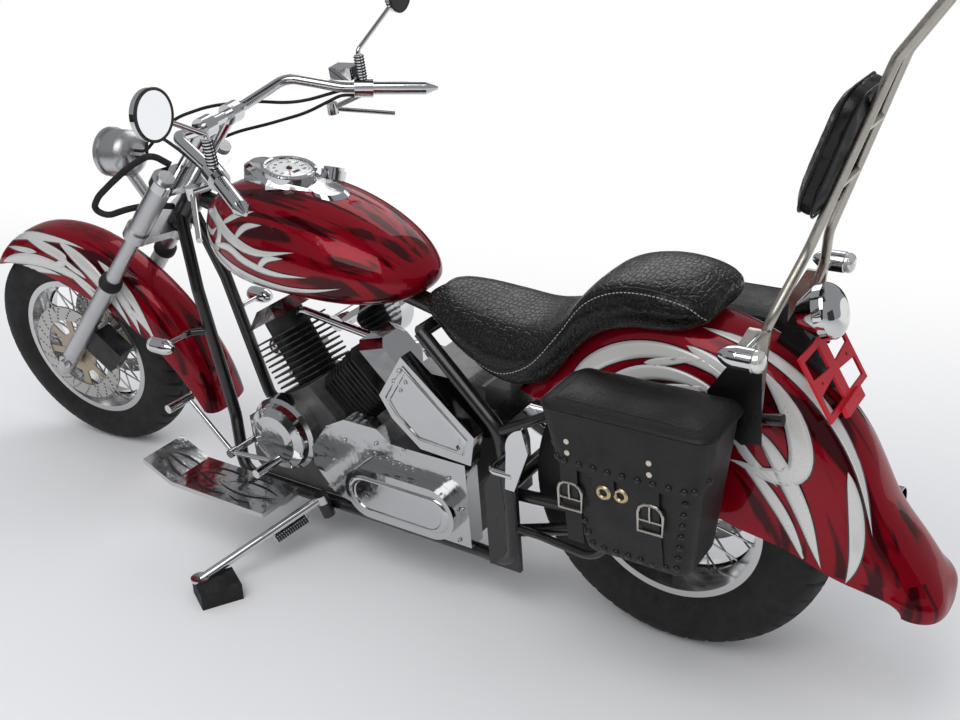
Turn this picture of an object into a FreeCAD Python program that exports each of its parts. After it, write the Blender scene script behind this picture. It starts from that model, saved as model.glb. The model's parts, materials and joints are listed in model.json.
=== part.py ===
"""A raked chopper motorcycle, leaning on its side stand, as named pieces in millimetres."""
import FreeCAD, Part
import math
import os
import Sketcher
from FreeCAD import Placement, Rotation, Vector

os.makedirs("parts", exist_ok=True)

# The bike is drawn upright and steering straight ahead, with the rear tyre's contact point at
# the origin, +X forward, +Y to the rider's left and +Z up. It is parked at the end.
SIZES = {
    # Attitude: degrees
    "lean_angle": 4.0,
    "rake_angle": 43.3,
    "steered_angle": 7.6,
    # Main geometry
    "wheelbase": 1844.0,
    "fork_offset": 38.9,
    "seat_gap": 0.3,
    "overrun": 2.0,
    # Front wheel
    "front_tyre_radius": 320.0,
    "front_tyre_width": 130.0,
    "front_bead_radius": 203.0,
    "front_bead_width": 88.0,
    "front_shoulder_drop": 17.0,
    "front_shoulder_width": 104.0,
    "front_flange_height": 14.0,
    "front_well_depth": 14.0,
    "rim_wall": 4.5,
    "front_hub_radius": 30.0,
    "front_hub_width": 144.0,
    "front_flange_spacing": 68.0,
    "hub_flange_radius": 48.0,
    "hub_flange_thickness": 6.0,
    "spoke_radius": 2.4,
    "rim_spoke_spread": 18.0,
    "axle_radius": 10.0,
    "axle_play": 0.08,
    # Front brakes
    "front_disc_radius": 149.0,
    "front_disc_band": 42.0,
    "disc_thickness": 5.0,
    "front_disc_face": 78.5,
    "carrier_arm_width": 22.0,
    "carrier_ring_radius": 62.0,
    # Rear wheel
    "rear_tyre_radius": 326.5,
    "rear_tyre_width": 168.0,
    "rear_bead_radius": 190.0,
    "rear_bead_width": 120.0,
    "rear_shoulder_drop": 22.0,
    "rear_shoulder_width": 138.0,
    "rear_flange_height": 14.0,
    "rear_well_depth": 16.0,
    "rear_hub_radius": 40.0,
    "rear_hub_width": 132.0,
    "rear_flange_spacing": 84.0,
    "rear_disc_radius": 141.0,
    "rear_disc_band": 45.0,
    "rear_disc_face": 77.0,
    # Fork
    "fork_spacing": 216.0,
    "slider_radius": 24.0,
    "slider_tail": 60.0,
    "slider_height": 371.0,
    "seal_height": 18.0,
    "seal_radius": 28.0,
    "stanchion_radius": 20.5,
    "lower_clamp_height": 585.0,
    "clamp_thickness": 32.0,
    "upper_clamp_height": 785.0,
    "upper_clamp_thickness": 27.0,
    "shroud_radius": 27.0,
    "fork_cap_height": 8.0,
    "clamp_wall": 12.0,
    "stem_boss_radius": 34.0,
    "axle_lug_radius": 20.0,
    # Bars
    "bar_radius": 12.7,
    "riser_spacing": 98.0,
    "riser_radius": 16.0,
    "riser_height": 158.0,
    "bar_rise": 8.0,
    "bar_bend": 60.0,
    "grip_radius": 17.0,
    "grip_length": 128.0,
    "grip_tip_length": 30.0,
    "switch_length": 46.0,
    "switch_radius": 24.0,
    "lever_radius": 6.5,
    "lever_bend": 14.0,
    "mirror_radius": 50.0,
    "mirror_depth": 14.0,
    "mirror_stem_radius": 5.5,
    "boot_radius": 11.0,
    "hose_radius": 8.0,
    "hose_bend": 300.0,
    "cable_radius": 4.0,
    "cable_run": 32.0,
    # Headlight
    "lamp_radius": 58.0,
    "lamp_length": 88.0,
    "lamp_dome": 24.0,
    "lamp_rim": 12.0,
    "lamp_stalk_reach": 40.0,
    # Frame
    "frame_tube_radius": 16.0,
    "backbone_radius": 22.0,
    "head_tube_radius": 30.0,
    "head_tube_gap": 5.0,
    "frame_bend": 70.0,
    "swing_tube_radius": 14.0,
    "axle_plate_thickness": 12.0,
    "swing_half_width": 115.0,
    # Panels
    "sheet_wall": 3.0,
    "tunnel_half_width": 40.0,
    # Engine
    "crank_forward": 930.0,
    "crank_height": 296.0,
    "front_bank_angle": 30.0,
    "rear_bank_angle": 45.0,
    "case_half_width": 112.0,
    "barrel_radius": 52.0,
    "fin_count": 10.0,
    "fin_thickness": 4.0,
    "fin_pitch": 15.0,
    "fin_half_depth": 78.0,
    "fin_half_length": 80.0,
    "fin_corner": 22.0,
    "barrel_start": 110.0,
    "head_height": 38.0,
    "cover_height": 34.0,
    "generator_radius": 95.0,
    "generator_reach": 186.0,
    "gear_cover_reach": 158.0,
    "capsule_reach": 190.0,
    "clutch_cover_radius": 112.0,
    "clutch_cover_reach": 172.0,
    # Exhaust
    "header_radius": 21.0,
    "muffler_radius": 43.0,
    "pipe_wall": 3.0,
    # Stand
    "stand_leg_radius": 11.0,
    "block_height": 40.0,
    "block_width": 84.0,
    "block_length": 96.0,
    # Bags
    "bag_wall": 5.0,
    "bag_inner_side": 172.0,
    "bag_corner": 26.0,
    "bag_plate_back": -215.0,
    "bag_plate_top": 744.0,
    "bag_plate_height": 160.0,
    "lid_dome": 24.0,
    "bag_depth": 158.0,
    "lid_wall": 5.0,
    "lid_flap_drop": 150.0,
    # Front end details
    "bearing_wall": 8.0,
    "stem_radius": 14.0,
    "stem_play": 0.5,
    "spacer_wall": 5.0,
    "running_gap": 5.0,
    "caliper_length": 95.0,
    "caliper_depth": 54.0,
    "caliper_height": 85.0,
    "caliper_low": 78.0,
    "bar_straight": 160.0,
    "bar_bend_forward": 1120.0,
    "bar_bend_side": 205.0,
    "bar_bend_height": 1062.0,
    "grip_tip_forward": 808.0,
    "grip_tip_side": 388.0,
    "grip_tip_height": 990.0,
    "grip_root_forward": 938.0,
    "grip_root_side": 300.0,
    "grip_root_height": 1014.0,
    "lever_root_forward": 1050.0,
    "lever_root_side": 270.0,
    "lever_root_height": 966.0,
    "lever_tip_forward": 948.0,
    "lever_tip_side": 388.0,
    "lever_tip_height": 918.0,
    "reservoir_length": 62.0,
    "reservoir_width": 44.0,
    "reservoir_height": 30.0,
    "boot_height": 80.0,
    "mirror_forward": 925.0,
    "mirror_side": 448.0,
    "mirror_height": 1208.0,
    "lamp_forward": 1518.0,
    "lamp_height": 920.0,
    "front_fender_half_width": 83.5,
    "rear_fender_half_width": 120.0,
    # Frame stations
    "backbone_root_height": 720.0,
    "saddle_cross_forward": 556.0,
    "saddle_cross_side": 112.0,
    "saddle_cross_height": 644.0,
    "downtube_root_height": 665.0,
    "downtube_top_side": 20.0,
    "downtube_mid_forward": 1312.0,
    "downtube_mid_side": 50.0,
    "downtube_mid_height": 587.0,
    "downtube_foot_forward": 1238.0,
    "downtube_foot_side": 66.0,
    "downtube_foot_height": 250.0,
    "rail_side": 120.0,
    "rail_front_forward": 1180.0,
    "rail_height": 122.0,
    "rear_upright_side": 145.0,
    "rear_upright_forward": 330.0,
    "shoulder_forward": 346.0,
    "shoulder_height": 471.0,
    "pivot_forward": 368.0,
    "pivot_height": 300.0,
    "pivot_plate_reach": 26.0,
    "pivot_plate_thickness": 12.0,
    "pivot_tube_radius": 18.0,
    "brace_height": 195.0,
    "axle_plate_radius": 36.0,
    "axle_end": 16.0,
    "drive_housing_radius": 82.0,
    "drive_housing_chamfer": 14.0,
    "shaft_tube_radius": 15.0,
    "rear_caliper_forward": 61.0,
    "rear_caliper_rise": 84.0,
    "rear_caliper_length": 60.0,
    "rear_caliper_height": 49.0,
    "rear_caliper_depth": 48.0,
    # Engine details
    "case_nose_forward": 1135.0,
    "case_tail_forward": 438.0,
    "gearbox_rise": 140.0,
    "sump_height": 136.3,
    "sump_rise": 30.0,
    "generator_forward": 985.0,
    "generator_height": 300.0,
    "gear_cover_tail": 436.0,
    "gear_cover_top": 398.0,
    "capsule_radius": 66.0,
    "capsule_height": 236.0,
    "capsule_front": 764.0,
    "capsule_back": 456.0,
    "clutch_cover_forward": 880.0,
    "runner_radius": 10.5,
    "air_inner": 125.0,
    "air_outer": 195.0,
    "air_radius": 82.0,
    "air_forward": 880.0,
    "air_height": 545.0,
    "side_cover_inner": 130.0,
    "side_cover_outer": 166.0,
    "side_cover_tip_forward": 575.0,
    "side_cover_tip_height": 604.0,
    "side_cover_nose": 72.0,
    "side_cover_tail_forward": 399.0,
    "side_cover_tail_height": 378.0,
    "cover_pin_height": 402.0,
    "battery_back": 408.0,
    "battery_front": 600.0,
    "battery_half_width": 100.0,
    "battery_top": 540.0,
    "port_height": 228.0,
    "header_side": 198.0,
    "header_height": 306.0,
    "header_reach": 60.0,
    "header_bend": 60.0,
    "muffler_side": 220.0,
    "muffler_low_height": 195.0,
    "muffler_rise": 98.0,
    "muffler_front": 330.0,
    "muffler_length": 720.0,
    "muffler_bore_depth": 120.0,
    # Tank and seat
    "tank_tail": 594.0,
    "tank_length": 644.0,
    "tank_base": 645.0,
    "tank_rise": 262.0,
    "tank_half_width": 165.0,
    "seat_front": 578.0,
    "seat_back": -97.0,
    "seat_base": 552.0,
    "seat_rise": 287.0,
    "seat_half_width": 156.0,
    "gauge_forward": 985.0,
    "gauge_height": 905.0,
    "gauge_tilt": -12.0,
    "gauge_radius": 62.0,
    "gauge_rise": 22.0,
    "gauge_sink": 60.0,
    "gauge_front_length": 96.0,
    "gauge_tail_length": 150.0,
    "gauge_nacelle_rise": 12.0,
    "cap_forward": 930.0,
    "cap_side": 92.0,
    "cap_height": 895.0,
    "cap_tilt": 22.0,
    "cap_radius": 30.0,
    "cap_rise": 14.0,
    # Behind the seat
    "fender_rail_radius": 11.0,
    "fender_rail_side": 131.5,
    "fender_rail_bend_forward": 150.0,
    "fender_rail_bend_height": 575.0,
    "fender_rail_end": -250.0,
    "fender_rail_end_height": 640.0,
    "fender_stud_front": 95.0,
    "fender_stud_back": -130.0,
    "fender_stud_inner": 80.0,
    "fender_stud_radius": 9.0,
    "sissy_radius": 9.0,
    "sissy_base_forward": -201.0,
    "sissy_base_height": 776.0,
    "sissy_knee_forward": -250.0,
    "sissy_knee_side": 56.0,
    "sissy_knee_height": 930.0,
    "sissy_top_forward": -362.0,
    "sissy_top_side": 33.0,
    "sissy_top_height": 1255.0,
    "sissy_crown_forward": -472.0,
    "sissy_crown_height": 1412.0,
    "sissy_crown_side": 27.0,
    "sissy_crown_bend": 24.0,
    "sissy_root_forward": -222.0,
    "sissy_root_side": 134.0,
    "sissy_root_height": 836.0,
    "pad_start_height": 984.0,
    "sissy_bend": 60.0,
    "sissy_plate_thickness": 9.0,
    "sissy_plate_width": 46.0,
    "pad_width": 180.0,
    "pad_length": 228.0,
    "pad_thickness": 42.0,
    "pad_corner": 40.0,
    "tail_lamp_radius": 52.0,
    "tail_lamp_depth": 80.0,
    "tail_lamp_forward": -228.0,
    "tail_lamp_height": 784.0,
    "tail_lamp_tilt": 70.0,
    "plate_forward": -290.0,
    "plate_middle_height": 690.0,
    "plate_tilt": 60.0,
    "plate_width": 204.0,
    "plate_height": 130.0,
    "plate_thickness": 5.0,
    "plate_border": 12.0,
    "plate_web": 16.0,
    "plate_hole_radius": 3.5,
    "plate_hole_side": 66.0,
    "reflector_width": 92.0,
    "reflector_drop": 16.0,
    "reflector_thickness": 7.0,
    "plate_foot_angle": 122.0,
    "signal_radius": 21.0,
    "signal_length": 74.0,
    "signal_stem_radius": 6.0,
    "rear_signal_forward": -205.0,
    "rear_signal_side": 238.0,
    "rear_signal_height": 800.0,
    "front_signal_forward": 1330.0,
    "front_signal_side": 180.0,
    "front_signal_height": 480.0,
    "signal_root_forward": 1288.0,
    "signal_root_side": 56.0,
    "signal_arm_side": 104.0,
    "signal_arm_reach": 16.0,
    # Bag stations
    "bag_base": 373.0,
    "bag_top": 672.0,
    "bag_low_back": -150.0,
    "bag_low_front": 60.0,
    "bag_top_back": -192.0,
    "bag_top_front": 128.0,
    "support_radius": 9.0,
    "support_low_height": 235.0,
    "support_reach": 50.0,
    "support_rise": 30.0,
    # Controls for the feet
    "board_inner": 205.0,
    "board_outer": 335.0,
    "board_back": 900.0,
    "board_front": 1300.0,
    "board_height": 192.0,
    "board_thickness": 12.0,
    "board_upturn": 90.0,
    "board_arm_radius": 9.0,
    "shift_pivot_forward": 1094.0,
    "shift_pivot_height": 258.0,
    "shift_arm_side": 222.0,
    "shift_arm_radius": 6.0,
    "shift_toe_forward": 1220.0,
    "shift_toe_height": 380.0,
    "shift_heel_forward": 950.0,
    "shift_heel_height": 272.0,
    "peg_radius": 11.0,
    "peg_length": 66.0,
    "pedal_rise": 40.0,
    "pedal_drop": 60.0,
    "guard_side": 210.0,
    "guard_thickness": 10.0,
    "guard_forward": 256.0,
    "guard_height": 462.0,
    "guard_length": 150.0,
    "guard_width": 40.0,
    "guard_stem_height": 420.0,
    # Stand stations; the foot and the block are placed on the floor
    "stand_pivot_forward": 879.0,
    "stand_pivot_side": 158.0,
    "stand_pivot_height": 152.0,
    "stand_eye_half": 12.0,
    "spring_radius": 9.0,
    "stand_lug_length": 40.0,
    "foot_forward": 995.0,
    "foot_side": 475.0,
    "foot_radius": 22.0,
    "foot_thickness": 7.0,
    "block_forward": 958.0,
    "block_side": 460.0,
    "block_turn": 61.0,
}


class Size(float):
    """A length that knows the cells it is worked out from, so that a feature can be tied to them."""

    def __new__(cls, value, text):
        size = float.__new__(cls, value)
        size.text = text
        return size

    def _join(self, other, sign, value, turned=False):
        left, right = (cell_text(other), self.text) if turned else (self.text, cell_text(other))
        return Size(value, "(%s %s %s)" % (left, sign, right))

    def __add__(self, other):
        return self._join(other, "+", float(self) + float(other))

    def __radd__(self, other):
        return self._join(other, "+", float(other) + float(self), True)

    def __sub__(self, other):
        return self._join(other, "-", float(self) - float(other))

    def __rsub__(self, other):
        return self._join(other, "-", float(other) - float(self), True)

    def __mul__(self, other):
        return self._join(other, "*", float(self) * float(other))

    def __rmul__(self, other):
        return self._join(other, "*", float(other) * float(self), True)

    def __truediv__(self, other):
        return self._join(other, "/", float(self) / float(other))

    def __neg__(self):
        return Size(-float(self), "(-1 * %s)" % self.text)


def cell_text(value):
    """The words that stand for a value in a cell expression."""
    return value.text if isinstance(value, Size) else repr(float(value))


class Sheet:
    """The spreadsheet of driving sizes, whose cells are read as attributes."""

    def __init__(self, doc, sizes):
        self.cells = doc.addObject("Spreadsheet::Sheet", "Sizes")
        for row, (name, value) in enumerate(sizes.items(), start=1):
            self.cells.set("A%d" % row, name)
            self.cells.set("B%d" % row, repr(value))
            self.cells.setAlias("B%d" % row, name)
        doc.recompute()
        self.sizes = sizes

    def __getattr__(self, name):
        return Size(self.sizes[name], "Sizes." + name)


doc = FreeCAD.newDocument("chopper")
s = Sheet(doc, SIZES)

X_AXIS = Vector(1, 0, 0)
Y_AXIS = Vector(0, 1, 0)
Z_AXIS = Vector(0, 0, 1)
FULL_TURN = 360.0
HALF_RIGHT = 45
QUARTER_TURN = 90.0
LEFT, RIGHT = 1, -1


# Helpers that draw

def bind(thing, slot, value):
    """Set one measure of an object, tied to the sheet where it comes from there."""
    if isinstance(value, Size):
        thing.setExpression(slot, value.text)
    else:
        setattr(thing, slot, value)


def put(thing, at=(0, 0, 0), turn=None):
    """Place an object, with each coordinate tied to the sheet where it comes from there."""
    thing.Placement = Placement(Vector(*at), turn or Rotation())
    for axis, value in zip("xyz", at):
        if isinstance(value, Size):
            thing.setExpression("Placement.Base." + axis, value.text)
    return thing


def block(name, length, width, height, at=(0, 0, 0), turn=None):
    """A box whose near low corner is at the given point."""
    box = doc.addObject("Part::Box", name)
    bind(box, "Length", length)
    bind(box, "Width", width)
    bind(box, "Height", height)
    return put(box, at, turn)


def rod(name, radius, length, at=(0, 0, 0), turn=None):
    """A cylinder that rises from the given point."""
    cylinder = doc.addObject("Part::Cylinder", name)
    bind(cylinder, "Radius", radius)
    bind(cylinder, "Height", length)
    return put(cylinder, at, turn)


def aimed(start, end):
    """The turn that points a cylinder's own axis from one point to the other."""
    return Rotation(Z_AXIS, Vector(*end) - Vector(*start))


def bar_between(name, radius, start, end):
    """A round bar from one point to another."""
    length = (Vector(*end) - Vector(*start)).Length
    return rod(name, radius, length, start, aimed(start, end))


def cross_rod(name, radius, y_from, y_to, x=0, z=0):
    """A round bar across the bike, from one side distance to another."""
    turn = Rotation(X_AXIS, -QUARTER_TURN)
    return rod(name, radius, y_to - y_from, (x, y_from, z), turn)


def fused(name, pieces):
    """Several solids grown into one."""
    join = doc.addObject("Part::MultiFuse", name)
    join.Shapes = pieces
    join.Refine = True
    return join


def less(name, base, tool):
    """One solid with another cut out of it."""
    cut = doc.addObject("Part::Cut", name)
    cut.Base = base
    cut.Tool = tool
    return cut


def together(name, pieces):
    """Several solids of one sub-part that don't touch."""
    group = doc.addObject("Part::Compound", name)
    group.Links = pieces
    return group


def made(name, shape):
    """A sub-part whose free form is worked out in this script."""
    thing = doc.addObject("Part::Feature", name)
    thing.Shape = shape
    return thing


def draw(sketch, outline):
    """Close an outline of points. An entry of two points bends through its first to its second."""
    opening = outline[0]
    here = opening[1] if isinstance(opening[0], tuple) else opening
    corners = []
    for index, step in enumerate(outline[1:] + [opening]):
        bent = isinstance(step[0], tuple)
        end = step[1] if bent else step
        first, last = Vector(here[0], here[1], 0), Vector(end[0], end[1], 0)
        near = 1
        curve = None
        if bent:
            middle = Vector(step[0][0], step[0][1], 0)
            near = 1 if (middle - first).cross(last - middle).z > 0 else 2
            curve = Part.Arc(first, middle, last) if near == 1 else Part.Arc(last, middle, first)
        else:
            curve = Part.LineSegment(first, last)
        sketch.addGeometry(curve, False)
        corners.append((index, near, here))
        here = end
    count = len(corners)
    for index, near, _ in corners:
        following, start_of_next, _ = corners[(index + 1) % count]
        sketch.addConstraint(Sketcher.Constraint("Coincident", index, 3 - near, following, start_of_next))
    for index, near, (across, up) in corners:
        for kind, axis_line, value in (("DistanceX", -2, across), ("DistanceY", -1, up)):
            if abs(float(value)) < 1e-7:
                sketch.addConstraint(Sketcher.Constraint("PointOnObject", index, near, axis_line))
                continue
            number = sketch.addConstraint(Sketcher.Constraint(kind, index, near, float(value)))
            if isinstance(value, Size):
                sketch.setExpression("Constraints[%d]" % number, value.text)
    return sketch


def body_sketch(name, plane, outline):
    """A body with one sketch on one of its own origin planes."""
    body = doc.addObject("PartDesign::Body", name)
    sketch = body.newObject("Sketcher::SketchObject", name + "_outline")
    base = [part for part in body.Origin.OriginFeatures if part.Role == plane][0]
    sketch.AttachmentSupport = [(base, "")]
    sketch.MapMode = "FlatFace"
    draw(sketch, outline)
    return body, sketch


def turned(name, outline):
    """A ring or spindle turned about the Y axis, from an outline of side distance and radius."""
    body, sketch = body_sketch(name, "YZ_Plane", outline)
    spin = body.newObject("PartDesign::Revolution", name + "_turned")
    spin.Profile = sketch
    spin.ReferenceAxis = (sketch, ["H_Axis"])
    spin.Angle = FULL_TURN
    body.Tip = spin
    return body


def upright_turned(name, outline):
    """A spindle turned about the Z axis, from an outline of radius and height."""
    body, sketch = body_sketch(name, "XZ_Plane", outline)
    spin = body.newObject("PartDesign::Revolution", name + "_turned")
    spin.Profile = sketch
    spin.ReferenceAxis = (sketch, ["V_Axis"])
    spin.Angle = FULL_TURN
    body.Tip = spin
    return body


def side_plate(name, outline, y_from, y_to):
    """A plate in side view, from an outline of X and Z, between two side distances."""
    body, sketch = body_sketch(name, "XZ_Plane", outline)
    pad = body.newObject("PartDesign::Pad", name + "_pad")
    pad.Profile = sketch
    bind(pad, "Length", y_to - y_from)
    pad.Reversed = True
    body.Tip = pad
    return put(body, (0, y_from, 0))


def flat_plate(name, outline, z_from, thickness):
    """A plate in plan view, from an outline of X and Y."""
    body, sketch = body_sketch(name, "XY_Plane", outline)
    pad = body.newObject("PartDesign::Pad", name + "_pad")
    pad.Profile = sketch
    bind(pad, "Length", thickness)
    body.Tip = pad
    return put(body, (0, 0, z_from))


# Helpers for free forms

def bent_wire(points, bend):
    """Straight runs joined by tangent arcs; each bend is as large as its runs allow, up to the given one."""
    points = [Vector(*point) for point in points]
    edges = []
    here = points[0]
    for before, corner, after in zip(points, points[1:], points[2:]):
        into, out = (before - corner).normalize(), (after - corner).normalize()
        half = into.getAngle(out) / 2
        reach = min(bend / math.tan(half), 0.45 * min((before - corner).Length, (after - corner).Length))
        start, end = corner + into * reach, corner + out * reach
        middle_way = (into + out).normalize()
        radius = reach * math.tan(half)
        middle = corner + middle_way * (radius / math.sin(half) - radius)
        edges.append(Part.LineSegment(here, start).toShape())
        edges.append(Part.Arc(start, middle, end).toShape())
        here = end
    edges.append(Part.LineSegment(here, points[-1]).toShape())
    return Part.Wire(edges)


def pipe(points, radius, bend):
    """A round bar bent along a route."""
    path = bent_wire(points, bend)
    heading = Vector(*points[1]) - Vector(*points[0])
    ring = Part.Wire(Part.makeCircle(radius, Vector(*points[0]), heading))
    return path.makePipeShell([ring], True, False)


def mirrored(points):
    """The same route on the other side of the bike."""
    return [(x, -y, z) for x, y, z in points]


def smooth(points, closed=False):
    """A smooth curve through points."""
    curve = Part.BSplineCurve()
    curve.interpolate(points, PeriodicFlag=closed)
    return curve.toShape()


ARCH_STEPS = 8


def arch(half_width, low, high, fullness):
    """Half of a rounded section: side distance and height, from its foot on the left over to the right."""
    points = []
    for step in range(ARCH_STEPS + 1):
        angle = math.pi * step / ARCH_STEPS
        across, up = math.cos(angle), math.sin(angle)
        y = half_width * math.copysign(abs(across) ** (2 / fullness), across)
        points.append((y, low + (high - low) * up ** (2 / fullness)))
    return points


def shell_section(place, half_width, low, high, fullness, wall):
    """The closed outline of an open arch of one wall, set in space by the given function."""
    outer = [place(y, r) for y, r in arch(half_width, low, high, fullness)]
    inner = [place(y, r) for y, r in arch(half_width - wall, low, high - wall, fullness)][::-1]
    edges = [smooth(outer), Part.LineSegment(outer[-1], inner[0]).toShape(),
             smooth(inner), Part.LineSegment(inner[-1], outer[0]).toShape()]
    return Part.Wire(edges)


def round_section(x, half_width, low, high, waist_share, fullness):
    """A closed upright section across the bike, widest at a share of its height."""
    waist = low + (high - low) * waist_share
    over = arch(half_width, waist, high, fullness)
    under = [(-y, z) for y, z in arch(half_width, waist, low, fullness)]
    ring = [Vector(x, y, z) for y, z in over[:-1] + under[:-1]]
    return Part.Wire(smooth(ring, True))


def polar_place(angle):
    """Sets a section that stands across a wheel at an angle about its axle, in degrees from ahead."""
    turn = math.radians(angle)
    return lambda y, r: Vector(r * math.cos(turn), y, r * math.sin(turn))


def lofted(sections):
    """A solid skinned over sections."""
    return Part.makeLoft(sections, True, False)


# Frames in which the pieces are drawn

def about(point, axis, angle):
    """The turn by an angle about a line."""
    shift = Placement(point, Rotation())
    return shift * Placement(Vector(), Rotation(axis, angle)) * shift.inverse()


RAKE = math.radians(s.rake_angle)
FORK_UP = Vector(-math.sin(RAKE), 0, math.cos(RAKE))
FORK_AHEAD = Vector(math.cos(RAKE), 0, math.sin(RAKE))
FRONT_AXLE = Vector(s.wheelbase, 0, s.front_tyre_radius)
REAR_AXLE = Vector(0, 0, s.rear_tyre_radius)
STEM_POINT = FRONT_AXLE - FORK_AHEAD * s.fork_offset
STEER = about(STEM_POINT, FORK_UP, s.steered_angle)
FORK = STEER * Placement(FRONT_AXLE, Rotation(Y_AXIS, -s.rake_angle))
FRONT_WHEEL = STEER * Placement(FRONT_AXLE, Rotation())
REAR_WHEEL = Placement(REAR_AXLE, Rotation())
BIKE = Placement()


def crown_radius(drop, width):
    """The radius of a tyre's tread arc, from its drop at the shoulder."""
    half = width / 2
    return (half * half + drop * drop) / (2 * drop)


def lowest(frame, radius, drop, width):
    """The height of a tyre's lowest point in a frame, from its round tread."""
    lean_of_axle = frame.Rotation.multVec(Y_AXIS).z
    crown = crown_radius(drop, width)
    return frame.Base.z - (radius - crown) * math.sqrt(1 - lean_of_axle ** 2) - crown


LEAN = Placement(Vector(), Rotation(X_AXIS, -s.lean_angle))
FRONT_LOW = lowest(LEAN * FRONT_WHEEL, s.front_tyre_radius, s.front_shoulder_drop, s.front_shoulder_width)
REAR_LOW = lowest(LEAN * REAR_WHEEL, s.rear_tyre_radius, s.rear_shoulder_drop, s.rear_shoulder_width)
PITCH = math.degrees(math.atan2(FRONT_LOW - REAR_LOW, s.wheelbase))
LEVEL = Placement(Vector(0, 0, -REAR_LOW), Rotation()) * LEAN * Placement(Vector(), Rotation(Y_AXIS, PITCH))
FLOOR = LEVEL.inverse()

NODES = {}


def node(thing, label, frame=BIKE):
    """Names a finished sub-part, and notes the frame it was drawn in."""
    thing.Label = label
    NODES[label] = (thing, frame)
    return thing


# Wheels

def tyre(name, radius, width, bead_radius, bead_width, flange_height, drop, shoulder_width):
    """A tubed tyre's outer form, turned about its axle, with its beads inside the rim's flanges."""
    side = bead_radius + (radius - bead_radius) * 0.55
    foot = bead_radius + s.seat_gap
    over = bead_radius + flange_height + s.seat_gap
    bead, ledge = bead_width / 2, bead_width / 2 + s.rim_wall + 2 * s.seat_gap
    shoulder = radius - drop
    return turned(name, [
        (-bead, foot), (-bead, over), (-ledge, over),
        ((-width / 2, side), (-shoulder_width / 2, shoulder)),
        ((0, radius), (shoulder_width / 2, shoulder)),
        ((width / 2, side), (ledge, over)), (bead, over), (bead, foot),
    ])


def rim(name, bead_radius, bead_width, flange_height, well_depth):
    """A drop-centre rim."""
    inner = bead_width / 2 + s.seat_gap
    outer = inner + s.rim_wall
    ledge, well = bead_width / 4, bead_width / 8
    lip, floor = bead_radius + flange_height, bead_radius - well_depth
    under, deep = bead_radius - s.rim_wall, floor - s.rim_wall
    half = [(outer, under), (outer, lip), (inner, lip), (inner, bead_radius), (ledge, bead_radius), (well, floor)]
    below = [(-well, deep), (-ledge, under)]
    left = [(-y, r) for y, r in half[::-1]]
    return turned(name, half + left + below + [(-y, r) for y, r in below[::-1]])


def hub(name, radius, width, spacing):
    """A hub barrel with its two spoke flanges and a bore for the axle."""
    bore = s.axle_radius + s.axle_play
    near, far = spacing / 2 - s.hub_flange_thickness / 2, spacing / 2 + s.hub_flange_thickness / 2
    half = [(width / 2, bore), (width / 2, radius), (far, radius), (far, s.hub_flange_radius),
            (near, s.hub_flange_radius), (near, radius)]
    return turned(name, half + [(-y, r) for y, r in half[::-1]])


SPOKES_A_SIDE = 18
SPOKE_SWEEP = 20.0
SPOKE_SIDES = 6
SPOKE_BITE = 1.0


def spoke(start, end, radius):
    """One straight spoke, six-sided."""
    turn = aimed(start, end)
    ring = [start + turn.multVec(Vector(radius * math.cos(a), radius * math.sin(a), 0))
            for a in [2 * math.pi * k / SPOKE_SIDES for k in range(SPOKE_SIDES + 1)]]
    return Part.Face(Part.makePolygon(ring)).extrude(end - start)


def spokes(name, bead_radius, well_depth, spacing):
    """Crossed spokes from the hub's flanges to the rim's well."""
    root_radius = s.hub_flange_radius - s.hub_flange_thickness
    tip_radius = bead_radius - well_depth - s.rim_wall / 2
    offset = s.hub_flange_thickness / 2 + s.spoke_radius / 2
    wires = []
    for side in (LEFT, RIGHT):
        for index in range(SPOKES_A_SIDE):
            leads = 1 if index % 2 else -1
            angle = FULL_TURN / SPOKES_A_SIDE * (index + (side == RIGHT) / 2)
            at_hub, at_rim = math.radians(angle), math.radians(angle + leads * SPOKE_SWEEP)
            y_hub = side * (spacing / 2 + leads * offset)
            y_rim = side * s.rim_spoke_spread / 2
            wires.append(spoke(
                Vector(root_radius * math.cos(at_hub), y_hub, root_radius * math.sin(at_hub)),
                Vector(tip_radius * math.cos(at_rim), y_rim, tip_radius * math.sin(at_rim)),
                s.spoke_radius))
    return made(name, Part.makeCompound(wires))


def wire_wheel(name, bead_radius, bead_width, flange_height, well_depth, hub_radius, hub_width, spacing):
    """Rim, hub and spokes as one laced wheel."""
    return fused(name, [
        rim(name + "_rim", bead_radius, bead_width, flange_height, well_depth),
        hub(name + "_hub", hub_radius, hub_width, spacing),
        spokes(name + "_spokes", bead_radius, well_depth, spacing),
    ])


CARRIER_ARMS = 8


def brake_disc(name, radius, band, face, side, hub_width):
    """A floating disc: the band, and a carrier ring with arms that seats on the hub's end."""
    seat = hub_width / 2
    inner = radius - band
    bore = s.axle_radius + s.bearing_wall
    ring = turned(name + "_band", [
        (side * (face - s.disc_thickness), inner), (side * (face - s.disc_thickness), radius),
        (side * face, radius), (side * face, inner)])
    middle = face - s.disc_thickness / 2
    boss = turned(name + "_boss", [
        (side * seat, bore), (side * seat, s.carrier_ring_radius),
        (side * middle, s.carrier_ring_radius), (side * middle, bore)])
    arms = []
    low, high = sorted((side * seat, side * middle))
    for index in range(CARRIER_ARMS):
        turn = Rotation(Y_AXIS, FULL_TURN / CARRIER_ARMS * index)
        reach = inner + s.overrun - s.carrier_ring_radius + s.overrun
        corner = turn.multVec(Vector(s.carrier_ring_radius - s.overrun, low, -s.carrier_arm_width / 2))
        arms.append(block("%s_arm_%d" % (name, index), reach, high - low, s.carrier_arm_width, tuple(corner), turn))
    return fused(name, [ring, boss] + arms)


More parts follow.
